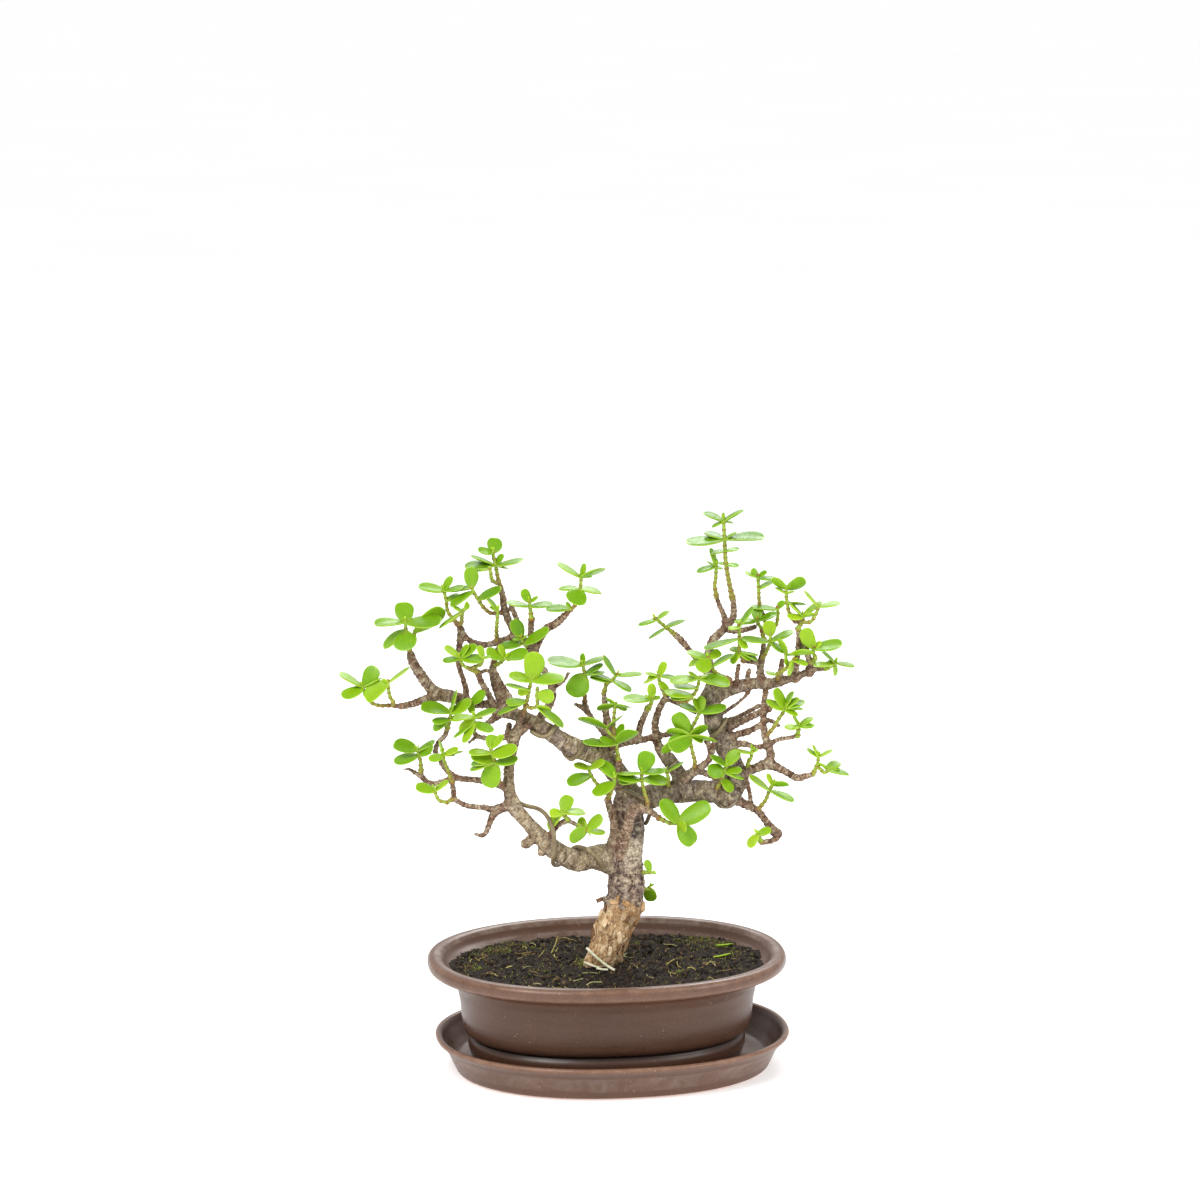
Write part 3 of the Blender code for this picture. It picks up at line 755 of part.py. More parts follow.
# Wire routes: x, z, depth. They are pushed clear of the bark before they are drawn.
WIRES = {
    "wire_left_low": [
        (-43, 121, -7), (-38, 118.3, -8), (-33, 117.8, -12), (-29.5, 115, -15), (-27.3, 111, -18.5),
        (-26, 106, -19.6), (-25.8, 100, -19.6), (-26.3, 95, -18), (-26.5, 92.5, -13.5),
        (-24.5, 91.2, -8), (-21.5, 93.5, -4.5), (-19, 98, -5.5), (-16, 99.9, -9), (-12, 99.4, -13),
        (-8.5, 97, -15), (-5.5, 93, -13), (-4.5, 90, -10),
    ],
    "wire_left_high": [
        (-8, 147.5, -1), (-10.5, 148.5, -5), (-13, 146, -9.5), (-16, 141.5, -10), (-20, 140.5, -5),
        (-23, 145.5, -1), (-24.5, 151, -2.5), (-26, 153.5, -7.5), (-27.5, 150.5, -12),
        (-31, 149.3, -11),
        (-33.5, 150.5, -10.5), (-36, 152.5, -9),
    ],
    "wire_riser": [
        (43, 145, 7), (42, 148.5, 0), (44.5, 150.3, -4), (47.3, 152.8, -4.6), (49, 155.5, -3.6),
        (50, 158.2, -1.5),
    ],
}

# Off-white tie that lies from the trunk foot onto the soil
TIE = [(-11.5, 53.5, -6.5), (-9, 51, -8.3), (-7, 49.2, -9.2), (-4, 46.5, -11), (-1.5, 44.6, -13),
    (0.8, 43.4, -14.3)]

# Where the fallen leaf lies on the soil, seen from above, and its size
FALLEN_SPOT = (51.0, 22.0)
FALLEN_LENGTH = 7.0
FALLEN_WIDTH = 5.0

COLOURS = {
    "clay": (0.17, 0.11, 0.085, 1.0),
    "soil": (0.03, 0.025, 0.02, 1.0),
    "bark": (0.24, 0.19, 0.14, 1.0),
    "leaf": (0.20, 0.42, 0.06, 1.0),
    "wire": (0.36, 0.28, 0.17, 1.0),
    "tie": (0.62, 0.62, 0.5, 1.0),
}

# Ways a stem may be bent to keep clear of its neighbours, as x, depth, z at its tip
BENDS = [
    (0, 0, 0), (0, -2, 0), (0, 2, 0), (0, -4, 0), (0, 4, 0), (2, -2, 0), (-2, -2, 0), (0, -7, 0), (0, 7, 0),
    (2, 3, 0), (-2, 3, 0), (0, -10, 0), (0, 10, 0), (4, -5, 0), (-4, -5, 0),
]

TURN = Matrix.Rotation(TREE_TURN, 3, "Z")
chance = random.Random(11)


def seen(spot):
    """Place a table point (x, depth, z) on its line of sight, in part metres."""
    share = 1.0 + (spot[1] + TREE_DEPTH) / (-EYE.y / MM)
    flat = Vector((spot[0] * MM, 0.0, spot[2] * MM))
    return TURN @ (EYE + (flat - EYE) * share)


def table(row):
    return Vector((row[0], row[2], row[1]))


def material(name, colour):
    made = bpy.data.materials.new(name)
    made.use_nodes = True
    shader = made.node_tree.nodes["Principled BSDF"]
    shader.inputs["Base Color"].default_value = colour
    shader.inputs["Roughness"].default_value = 0.6
    return made


def baked(holder):
    """Turn an object with its modifiers into one plain mesh object."""
    graph = bpy.context.evaluated_depsgraph_get()
    mesh = bpy.data.meshes.new_from_object(holder.evaluated_get(graph))
    holder.modifiers.clear()
    holder.data = mesh
    return holder


def weld(mesh, distance):
    work = bmesh.new()
    work.from_mesh(mesh)
    bmesh.ops.remove_doubles(work, verts=work.verts, dist=distance)
    bmesh.ops.recalc_face_normals(work, faces=work.faces)
    work.to_mesh(mesh)
    work.free()


def tube(name, spots, radii, roundness, home):
    """A round tube along straight pieces between spots, capped at both ends."""
    curve = bpy.data.curves.new(name, "CURVE")
    curve.dimensions = "3D"
    curve.bevel_depth = 1.0
    curve.bevel_resolution = roundness
    curve.use_fill_caps = True
    line = curve.splines.new("POLY")
    line.points.add(len(spots) - 1)
    for knot, spot, radius in zip(line.points, spots, radii):
        knot.co = (spot[0], spot[1], spot[2], 1.0)
        knot.radius = radius * MM
    holder = bpy.data.objects.new(name + "_line", curve)
    home.objects.link(holder)
    graph = bpy.context.evaluated_depsgraph_get()
    mesh = bpy.data.meshes.new_from_object(holder.evaluated_get(graph))
    bpy.data.objects.remove(holder)
    weld(mesh, 1e-7)
    body = bpy.data.objects.new(name, mesh)
    home.objects.link(body)
    return body


def thin_seams(body):
    """Thin out the slivers of a union as far as the body stays closed."""
    whole = body.data
    for share in SEAM_SHARES:
        body.data = whole
        thin = body.modifiers.new("thin", "DECIMATE")
        thin.ratio = share
        baked(body)
        check = bmesh.new()
        check.from_mesh(body.data)
        closed = all(len(edge.link_faces) == 2 for edge in check.edges)
        fine = all(len(vert.link_faces) == len(vert.link_edges) for vert in check.verts)
        check.free()
        if closed and fine:
            return
    body.data = whole


def fuse(name, pieces, colour):
    """Join overlapping pieces into one closed body with one union."""
    first = pieces[0]
    bundle = bpy.data.collections.new(name + "_pieces")
    bpy.context.scene.collection.children.link(bundle)
    for piece in pieces[1:]:
        bundle.objects.link(piece)
        work.objects.unlink(piece)
    if len(pieces) > 1:
        union = first.modifiers.new("union", "BOOLEAN")
        union.operation = "UNION"
        union.operand_type = "COLLECTION"
        union.collection = bundle
        union.solver = "MANIFOLD"
        baked(first)
        thin_seams(first)
    for piece in list(bundle.objects):
        bpy.data.objects.remove(piece)
    bpy.data.collections.remove(bundle)
    work.objects.unlink(first)
    parts.objects.link(first)
    first.name = name
    first.data.name = name
    first.data.materials.clear()
    first.data.materials.append(material(name + "_material", colour))
    return first


def oval(radius, angle):
    """Point of the oval plan whose half length is radius."""
    if radius >= OVAL_CORE:
        wide = radius - OVAL_INSET
    else:
        wide = radius * (OVAL_CORE - OVAL_INSET) / OVAL_CORE
    c = math.cos(angle)
    s = math.sin(angle)
    x = radius * math.copysign(abs(c) ** (2.0 / OVAL_POWER), c)
    y = wide * math.copysign(abs(s) ** (2.0 / OVAL_POWER), s)
    return x, y


def turned(name, profile, shift_x, colour):
    """Screw a profile into a round body, then draw it out to the oval plan."""
    mesh = bpy.data.meshes.new(name)
    spots = [(r * MM, 0.0, z * MM) for r, z in profile]
    edges = [(i, i + 1) for i in range(len(profile) - 1)]
    mesh.from_pydata(spots, edges, [])
    body = bpy.data.objects.new(name, mesh)
    parts.objects.link(body)
    screw = body.modifiers.new("screw", "SCREW")
    screw.angle = 2.0 * math.pi
    screw.steps = OVAL_SEGMENTS
    screw.render_steps = OVAL_SEGMENTS
    screw.use_merge_vertices = True
    screw.merge_threshold = 0.00005
    screw.use_normal_calculate = True
    baked(body)
    for vertex in body.data.vertices:
        radius = math.hypot(vertex.co.x, vertex.co.y) / MM
        if radius > 0.01:
            x, y = oval(radius, math.atan2(vertex.co.y, vertex.co.x))
            vertex.co.x = (x + shift_x) * MM
            vertex.co.y = y * MM
        else:
            vertex.co.x = shift_x * MM
    weld(body.data, 1e-6)
    body.data.materials.append(material(name + "_material", colour))
    return body


def cut(body, cutter):
    hole = body.modifiers.new("cut", "BOOLEAN")
    hole.operation = "DIFFERENCE"
    hole.object = cutter
    hole.solver = "EXACT"
    baked(body)
    bpy.data.objects.remove(cutter)


def search_tree(body):
    """Search tree over an object's triangles, in metres."""
    body.data.calc_loop_triangles()
    spots = [vertex.co.copy() for vertex in body.data.vertices]
    faces = [tuple(tri.vertices) for tri in body.data.loop_triangles]
    return BVHTree.FromPolygons(spots, faces, all_triangles=True)


def blade_shape(base, tip, face, wide, thick, curl, grow, rows):
    """Vertices and faces of one fleshy leaf blade from base to tip."""
    axis = (tip - base).normalized()
    side = axis.cross(face).normalized()
    length = (tip - base).length
    shape = bmesh.new()
    bmesh.ops.create_uvsphere(shape, u_segments=4, v_segments=rows, radius=1.0)
    if rows == 4:
        marks = (
            (-1.0, 0.0, 0.0, 0.0), (-0.7071, 0.13, 0.27, 0.75), (0.0, 0.52, 1.0, 1.0),
            (0.7071, 0.85, 0.78, 0.8), (1.0, 1.0, 0.0, 0.0),
        )
    else:
        marks = ((-1.0, 0.0, 0.0, 0.0), (-0.5, 0.3, 0.75, 0.9), (0.5, 0.75, 0.9, 0.9), (1.0, 1.0, 0.0, 0.0))
    for vertex in shape.verts:
        mark = min(marks, key=lambda row: abs(row[0] - vertex.co.z))
        flat = Vector((vertex.co.x, vertex.co.y))
        if flat.length > 0.01:
            flat.normalize()
        reach = mark[1] * length
        if mark[1] == 0.0:
            reach = -LEAF_FOOT * MM
        if mark[1] == 1.0:
            reach = length + grow
        across = flat.x * (mark[2] * wide * 0.5 + grow)
        up = flat.y * (mark[3] * thick * 0.5 + grow) - curl * mark[1] * mark[1]
        vertex.co = base + axis * reach + side * across + face * up
    spots = [vertex.co.copy() for vertex in shape.verts]
    shape.verts.index_update()
    faces = [tuple(vertex.index for vertex in piece.verts) for piece in shape.faces]
    shape.free()
    return spots, faces


def stem_shape(spots, radii, grow):
    """A plain six sided tube used to test where a stem would run."""
    made = []
    faces = []
    for number, spot in enumerate(spots):
        before = spots[max(number - 1, 0)]
        after = spots[min(number + 1, len(spots) - 1)]
        along = (after - before).normalized()
        one = along.orthogonal().normalized()
        two = along.cross(one)
        for step in range(6):
            turn = math.pi * step / 3.0
            radius = (radii[number] + grow) * MM
            made.append(spot + (one * math.cos(turn) + two * math.sin(turn)) * radius)
        if number:
            start = 6 * (number - 1)
            for step in range(6):
                other = (step + 1) % 6
                faces.append((start + step, start + other, start + 6 + other, start + 6 + step))
    return made, faces


def leaf_face(base, tip, along, wide_seen, wide):
    """Upper side of a leaf, rolled so that it shows the width seen."""
    axis = (tip - base).normalized()
    upward = along - axis * along.dot(axis)
    if upward.length < 0.2:
        upward = Vector((0.0, 0.0, 1.0)) - axis * axis.z
    if upward.length < 0.2:
        upward = TURN @ LOOK
        upward = upward - axis * upward.dot(axis)
    upward.normalize()
    side = axis.cross(upward)
    look = TURN @ LOOK
    flat = look - axis * look.dot(axis)
    if flat.length < 0.05:
        return upward
    flat.normalize()
    start = math.atan2(side.dot(flat), upward.dot(flat))
    open_angle = math.acos(min(1.0, max(0.0, wide_seen / wide)))
    choices = []
    for half in (0.0, math.pi):
        for sign in (-1.0, 1.0):
            turn = start + sign * open_angle + half
            turn = (turn + math.pi) % (2.0 * math.pi) - math.pi
            choices.append(turn)
    turn = min(choices, key=abs)
    return upward * math.cos(turn) + side * math.sin(turn)


def thinned(rows, tolerance):
    """Leave out points of a route that hardly bend it. Rows end in a radius."""
    if len(rows) < 3:
        return rows
    one = table(rows[0])
    two = table(rows[-1])
    run = two - one
    worst = 0.0
    place = 0
    for number in range(1, len(rows) - 1):
        dot = table(rows[number])
        share = min(1.0, max(0.0, (dot - one).dot(run) / max(run.length_squared, 1e-9)))
        radius = rows[0][3] + (rows[-1][3] - rows[0][3]) * share
        gap = (one + run * share - dot).length + abs(radius - rows[number][3])
        if gap > worst:
            worst = gap
            place = number
    if worst < tolerance:
        return [rows[0], rows[-1]]
    return thinned(rows[:place + 1], tolerance)[:-1] + thinned(rows[place:], tolerance)


def stem_rows(line, radii):
    return [(dot.x, dot.z, dot.y, radius) for dot, radius in zip(line, radii)]


def drawn(name, rows, roundness, tolerance):
    """Tube through table rows, without the rows that hardly bend it."""
    kept = thinned(rows, tolerance)
    return tube(name, [seen(table(row)) for row in kept], [row[3] for row in kept], roundness, work)


def away_from_wood(first, second, spot, radius, run, at_tip):
    """Direction in which a stub leaves the wood."""
    target = first
    if (first - spot).length < radius + STUB_LENGTH + 0.8:
        target = second
    way = (target - spot).normalized()
    if at_tip:
        return way
    run = run.normalized()
    across = way - run * way.dot(run)
    if across.length < 0.2:
        across = Vector((0.0, -1.0, 0.0)) - run * -run.y
    across.normalize()
    lengthwise = max(-0.6, min(0.6, way.dot(run)))
    return (across + run * lengthwise).normalized()


def settled(start, way, knots):
    """Lift the first points of a stem clear of the place it starts from."""
    good = len(knots)
    for number, knot in enumerate(knots):
        if (knot - start).length > 1.6 and (knot - start).dot(way) > 0.0:
            good = number
            break
    made = [start + way * 1.4]
    if good == len(knots):
        for number in range(1, len(knots)):
            made.append(start + way * (1.4 + 1.3 * number))
        return made
    if good == 0:
        return knots
    for number in range(1, good):
        made.append(made[0].lerp(knots[good], number / good))
    return made + knots[good:]


def nearest_wood(spot, plane_only):
    """Closest point of the wood's middle lines to a table point."""
    best = None
    for rows in WOOD.values():
        for one, two in zip(rows, rows[1:]):
            a = table(one)
            b = table(two)
            weight = 0.05 if plane_only else 0.6
            scale = Vector((1.0, weight, 1.0))
            aa = a * scale
            bb = b * scale
            run = bb - aa
            share = min(1.0, max(0.0, (spot * scale - aa).dot(run) / max(run.length_squared, 1e-9)))
            gap = (aa + run * share - spot * scale).length
            radius = one[3] + (two[3] - one[3]) * share
            if best is None or gap - 0.3 * radius < best[0]:
                at_tip = two == rows[-1] and share > 0.97
                best = (gap - 0.3 * radius, a + (b - a) * share, radius, b - a, at_tip)
    return best[1:]


def clear_of(shape, trees):
    probe = BVHTree.FromPolygons(shape[0], shape[1])
    return not any(probe.overlap(tree) for tree in trees)


# Start from an empty scene
for thing in list(bpy.data.objects):
    bpy.data.objects.remove(thing, do_unlink=True)
parts = bpy.data.collections.new("dwarf_jade_bonsai")
bpy.context.scene.collection.children.link(parts)
work = bpy.data.collections.new("cutters")
bpy.context.scene.collection.children.link(work)

# Saucer and pot
saucer = turned("saucer", [(0.0, 0.0)] + SAUCER_WALL + [(0.0, SAUCER_FLOOR)], 0.0, COLOURS["clay"])
pot = turned("pot", [(0.0, POT_BASE)] + POT_WALL + [(0.0, POT_FLOOR)], POT_SHIFT_X, COLOURS["clay"])
for side in (-1, 1):
    bpy.ops.mesh.primitive_cylinder_add(
        vertices=12,
        radius=DRAIN_RADIUS * MM,
        depth=20.0 * MM,
        location=((POT_SHIFT_X + side * DRAIN_X) * MM, 0.0, POT_FLOOR * MM),
    )
    cut(pot, bpy.context.object)

# Soil with a slightly crowned, uneven top
soil_rows = [(0.0, SOIL_BASE)] + SOIL_WALL
for radius in SOIL_RINGS:
    soil_rows.append((radius, SOIL_EDGE + SOIL_CROWN * (1.0 - radius / 69.0)))
soil_rows.append((0.0, SOIL_EDGE + SOIL_CROWN))
soil = turned("soil", soil_rows, POT_SHIFT_X, COLOURS["soil"])
for vertex in soil.data.vertices:
    if vertex.co.z > (SOIL_EDGE + 0.05) * MM:
        vertex.co.z += chance.uniform(-SOIL_RELIEF, SOIL_RELIEF) * MM

# Where each shoot leaves the wood, with a short woody stub that carries it
roots = {}
stubs = {}
for name, shoot in SHOOTS.items():
    first = table(shoot["stems"][0][0])
    if "root" in shoot:
        hint = Vector((shoot["root"][0], first.y, shoot["root"][1]))
        spot, radius, run, at_tip = nearest_wood(hint, True)
    else:
        spot, radius, run, at_tip = nearest_wood(first, False)
    second = table(shoot["stems"][0][1])
    way = away_from_wood(first, second, spot, radius, run, at_tip)
    end = spot + way * (radius + STUB_LENGTH)
    roots[name] = (spot, radius, way)
    stem_radius = STEM_RADII.get(name, STEM_RADIUS)[0]
    stubs[name] = ([seen(spot), seen(end)], [stem_radius * 1.1, stem_radius * 1.1])

# Wood in one body
wood_pieces = []
for name, rows in WOOD.items():
    widest = max(row[3] for row in rows)
    roundness = 2 if widest > 5.5 else 1 if widest > 2.6 else 0
    wood_pieces.append(drawn(name, rows, roundness, LINE_TOLERANCE))
for name, (spots, radii) in stubs.items():
    wood_pieces.append(tube(name + "_stub", spots, radii, 0, work))
wood = fuse("trunk_and_branches", wood_pieces, COLOURS["bark"])
wood_tree = search_tree(wood)

# Plain hole in the soil for the foot of the trunk and its two roots
for name, count in (("trunk", 5), ("root_left", 3), ("root_right", 3)):
    rows = WOOD[name][:count]
    spots = [seen(table(row)) for row in rows]
    if name == "trunk":
        spots[0] = spots[0] + (spots[0] - spots[1]).normalized() * 0.6 * MM
    else:
        spots[-1] = spots[-1] + (spots[-1] - spots[-2]).normalized() * 0.6 * MM
    roundness = 2 if name == "trunk" else 1
    cut(soil, tube(name + "_hole", spots, [row[3] + TRUNK_GAP for row in rows], roundness, work))
soil_tree = search_tree(soil)

taken = [wood_tree, soil_tree, search_tree(pot)]


def pushed(rows, radius, trees):
    """Route through table points, rounded off and pushed clear of the bark."""
    knots = [seen(table(row)) for row in rows]
    spots = []
    for number in range(len(knots) - 1):
        a = knots[max(number - 1, 0)]
        b = knots[number]
        c = knots[number + 1]
        d = knots[min(number + 2, len(knots) - 1)]
        steps = max(2, int((c - b).length / (2.8 * MM)))
        for step in range(steps):
            t = step / steps
            spots.append(
                0.5 * (2.0 * b + (c - a) * t + (2.0 * a - 5.0 * b + 4.0 * c - d) * t * t
                       + (3.0 * b - a - 3.0 * c + d) * t * t * t)
            )
    spots.append(knots[-1])
    need = (radius + 0.5) * MM
    for turn in range(6):
        if turn % 2 == 1:
            fuller = [spots[0]]
            for spot in spots[1:]:
                if (spot - fuller[-1]).length > 3.2 * MM:
                    fuller.append((spot + fuller[-1]) * 0.5)
                fuller.append(spot)
            spots = fuller
        for number, spot in enumerate(spots):
            for tree in trees:
                touch, normal, index, gap = tree.find_nearest(spot)
                away = spot - touch
                inside = away.dot(normal) < 0.0
                if inside:
                    spots[number] = touch + normal * need
                    spot = spots[number]
                elif gap < need:
                    spots[number] = touch + away.normalized() * need
                    spot = spots[number]
    return spots


for name, rows in WIRES.items():
    spots = pushed(rows, WIRE_RADIUS, [wood_tree])
    wire = fuse(name, [tube(name, spots, [WIRE_RADIUS] * len(spots), 0, work)], COLOURS["wire"])
    taken.append(search_tree(wire))
spots = pushed(TIE, TIE_RADIUS, [wood_tree, soil_tree])
tie = fuse("base_tie", [tube("base_tie", spots, [TIE_RADIUS] * len(spots), 0, work)], COLOURS["tie"])
taken.append(search_tree(tie))

# Leafy shoots: stems bent clear first, then every leaf swung clear
left_out = []
for name, shoot in SHOOTS.items():
    spot, radius, way = roots[name]
    thick_end, thin_end = STEM_RADII.get(name, STEM_RADIUS)
    lines = []
    pieces = []
    for number, rows in enumerate(shoot["stems"]):
        knots = [table(row) for row in rows]
        if number == 0:
            start = spot + way * (radius + STUB_LENGTH + STUB_GAP)
            knots = settled(start, way, knots)
        else:
            behind = knots[0] * 2.0 - knots[1]
            start = min(lines[0][1:], key=lambda dot: (dot - behind).length)
            knots = settled(start, (knots[-1] - start).normalized(), knots)
        radii = [thick_end + (thin_end - thick_end) * i / len(knots) for i in range(len(knots) + 1)]
        chosen = None
        for skipped in range(len(knots)):
            for bend in BENDS:
                path = [start] + knots
                for place in range(skipped):
                    share = (place + 1) / (skipped + 1)
                    path[place + 1] = start.lerp(knots[skipped], share)
                bent = []
                for place, dot in enumerate(path):
                    share = place / (len(path) - 1)
                    bent.append(dot + Vector(bend) * share ** 1.5)
                if clear_of(stem_shape([seen(dot) for dot in bent], radii, NODE_GAP), taken):
                    chosen = bent
                    break
            if chosen:
                break
        if chosen is None:
            left_out.append((name, "stem", number))
            if number == 0:
                chosen = [start] + knots
            else:
                chosen = lines[0]
        lines.append(chosen)
        if chosen is not lines[0] or number == 0:
            rows = stem_rows(chosen, radii)
            pieces.append(drawn(name + "_stem", rows, 0, LINE_TOLERANCE))
    for stem, point, tip_x, tip_z, reach, wide_seen in shoot["leaves"]:
        if abs(reach) < SMALLEST_LEAF:
            continue
        line = lines[stem]
        point = min(point, len(line) - 2)
        base = line[point + 1]
        before = line[point]
        along = (seen(base) - seen(before)).normalized()
        if point + 2 == len(line):
            base = base + (before - base).normalized() * min(0.9, 0.6 * (before - base).length)
        span_x = tip_x - base.x
        span_z = tip_z - base.z
        deep = math.sqrt(max(0.0, reach * reach - span_x * span_x - span_z * span_z))
        deep = -math.copysign(deep, reach)
        roll = chance.uniform(-0.12, 0.12)
        placed = False
        for size in (1.0, 0.82, 0.66):
            for swing in (0.0, -1.5, 1.5, -3.0, 3.0, -4.5, 4.5, -6.5, 6.5, -9.0, 9.0):
                tip = base + Vector((span_x, deep + swing, span_z)) * size
                foot = seen(base)
                head = seen(tip)
                length = (head - foot).length / MM
                wide = min(LEAF_ASPECT * length, LEAF_ASPECT * abs(reach))
                wide = max(wide, wide_seen * 1.02, 1.6) * (0.5 + 0.5 * size)
                wide = min(wide, 0.86 * max(length, abs(reach)))
                face = leaf_face(foot, head, along, min(wide_seen, wide), wide)
                face = Matrix.Rotation(roll, 3, head - foot) @ face
                thick = min(1.5, max(0.9, 0.12 * length + 0.35))
                curl = 0.05 * length
                rows = 4 if length > 9.5 else 3
                values = (wide * MM, thick * MM, curl * MM)
                probe = blade_shape(foot, head, face, values[0], values[1], values[2], NODE_GAP * MM, rows)
                if clear_of(probe, taken):
                    placed = True
                    break
            if placed:
                break
        if not placed:
            left_out.append((name, stem, point, tip_x, tip_z))
            continue
        spots, faces = blade_shape(foot, head, face, values[0], values[1], values[2], 0.0, rows)
        mesh = bpy.data.meshes.new(name + "_leaf")
        mesh.from_pydata(spots, [], faces)
        weld(mesh, 1e-7)
        leaf = bpy.data.objects.new(name + "_leaf", mesh)
        work.objects.link(leaf)
        pieces.append(leaf)
    body = fuse(name, pieces, COLOURS["leaf"])
    taken.append(search_tree(body))

# A leaf that has dropped onto the soil
x, y = FALLEN_SPOT
centre = TURN @ Vector((x * MM, y * MM, 60.0 * MM))
half = TURN @ Vector((FALLEN_LENGTH * 0.5 * MM, 1.5 * MM, 0.0))
highest = 0.0
for share in (-1.0, -0.5, 0.0, 0.5, 1.0):
    for sideways in (-1.0, 0.0, 1.0):
        dot = centre + half * share + Vector((0.0, FALLEN_WIDTH * 0.5 * MM * sideways, 0.0))
        highest = max(highest, soil_tree.ray_cast(dot, Vector((0.0, 0.0, -1.0)))[0].z)
centre.z = highest + (0.65 + NODE_GAP) * MM
spots, faces = blade_shape(
    centre - half, centre + half, Vector((0.0, 0.0, 1.0)), FALLEN_WIDTH * MM, 1.2 * MM, 0.0, 0.0, 4
)
mesh = bpy.data.meshes.new("fallen_leaf")
mesh.from_pydata(spots, [], faces)
weld(mesh, 1e-7)
fallen = bpy.data.objects.new("fallen_leaf", mesh)
work.objects.link(fallen)
fuse("fallen_leaf", [fallen], COLOURS["leaf"])

bpy.data.collections.remove(work)
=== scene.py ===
"""The looks of the dwarf jade bonsai: bark, leaves, clay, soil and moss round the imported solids."""
import itertools
import math
import random

import bpy
import numpy as np
from mathutils import Matrix, Vector, noise
from mathutils.bvhtree import BVHTree
from mathutils.kdtree import KDTree


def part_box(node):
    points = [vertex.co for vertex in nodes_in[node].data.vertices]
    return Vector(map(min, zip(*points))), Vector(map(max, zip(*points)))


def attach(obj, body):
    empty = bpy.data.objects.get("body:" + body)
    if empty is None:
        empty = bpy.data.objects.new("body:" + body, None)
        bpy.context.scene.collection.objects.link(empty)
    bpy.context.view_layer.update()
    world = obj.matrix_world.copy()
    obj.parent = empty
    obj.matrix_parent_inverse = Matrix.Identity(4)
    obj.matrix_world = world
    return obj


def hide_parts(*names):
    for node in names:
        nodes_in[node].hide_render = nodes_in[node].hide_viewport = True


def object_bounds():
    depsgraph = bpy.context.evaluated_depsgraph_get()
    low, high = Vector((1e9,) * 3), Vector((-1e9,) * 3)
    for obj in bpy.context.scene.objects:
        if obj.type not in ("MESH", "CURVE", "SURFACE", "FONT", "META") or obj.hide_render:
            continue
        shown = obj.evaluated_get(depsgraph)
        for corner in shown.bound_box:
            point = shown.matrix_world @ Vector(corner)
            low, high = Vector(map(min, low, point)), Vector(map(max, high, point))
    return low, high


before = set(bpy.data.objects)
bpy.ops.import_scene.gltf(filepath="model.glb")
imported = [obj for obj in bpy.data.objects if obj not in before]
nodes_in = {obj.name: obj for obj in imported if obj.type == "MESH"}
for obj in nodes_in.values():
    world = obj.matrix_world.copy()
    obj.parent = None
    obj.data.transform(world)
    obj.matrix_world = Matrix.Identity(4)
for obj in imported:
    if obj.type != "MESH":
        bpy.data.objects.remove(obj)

cad_box = [list(corner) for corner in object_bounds()]

# Sizes are in mm, and MM turns them into metres
MM = 0.001
# The eye that the photo was taken from, and how the tree's plane lies to it
EYE = Vector((-5.6 * MM, -1600.0 * MM, 504.0 * MM))
TREE_TURN = math.radians(-7.9)
TREE_DEPTH = -5.0
LOOK = Vector((0.0, -0.984, 0.18))
# Pot and saucer
OVAL_POWER = 2.18
OVAL_INSET = 17.6
OVAL_CORE = 45.0
POT_SHIFT_X = -2.5
GROOVE_HEIGHT = 16.2
GROOVE_DEPTH = 0.7
LATHE_SIDES = 224
# Wood and its wires
WOOD_GRID = 0.585
FLAKE_COUNT = 24
WIRE_RADIUS = 1.0
TIE_RADIUS = 0.75
# Half lengths of the soil and of what shows inside the lip, its height, and what lies on it
SOIL_LONG = 71.0
SOIL_DEEP = 53.4
OPEN_LONG = 69.0
OPEN_DEEP = 51.4
SOIL_EDGE = 47.2
SOIL_CROWN = 0.8
SOIL_GRID = 0.66
SOIL_START = (-71, -53)
CRUMB_COUNT = 1250
TUFT_COUNT = 1500
STRAW_COUNT = 64
SOIL_DRAWS = 85
# Shoots
NODE_GAP = 0.3
STUB_LENGTH = 1.2
STUB_GAP = 0.35
SMALLEST_LEAF = 5.3
LEAF_FOOT = 0.4
LEAF_ASPECT = 0.72
LEAF_SIZES = (1.0, 0.82, 0.66)
LEAF_SWINGS = (0.0, -1.5, 1.5, -3.0, 3.0, -4.5, 4.5, -6.5, 6.5, -9.0, 9.0)
BLADE_RINGS = 15
BLADE_SIDES = 16
# Rounded end of a tube: share of its radius and how far out, ring by ring
CAP_RINGS = ((0.92, 0.38), (0.7, 0.72), (0.38, 0.93))
# Length from the tip over which a stem turns brown
BROWN_LENGTHS = {"shoot_top_01": 58.0}
BROWN_LENGTH = 21.0

# Walls of pot and saucer, from the foot out and round: half length and height
POT_WALL = [(57.5, 4.6), (60.9, 7), (62.3, 11), (62, 14), (61, 16.2), (63.3, 17.8), (64.7, 21.5), (65.8, 32),
    (67, 37.8), (69, 42.4), (71, 44.6), (74, 45.6), (78.3, 45.8), (80, 47.4), (80.2, 50), (79.2, 51.9),
    (77, 52.4), (74.5, 52), (72, 48.5), (64, 43), (61.5, 39), (59.5, 16), (57, 10.5), (50, 9)]

SAUCER_WALL = [(66, 0), (70.2, 0.6), (71.5, 3.5), (74, 9), (76.5, 12.7), (79.1, 14.6), (79.3, 15.8),
    (78.4, 16.7), (77, 16.5), (76, 15.4), (75, 13), (72, 7.5), (69.5, 4.8), (66, 4.3)]

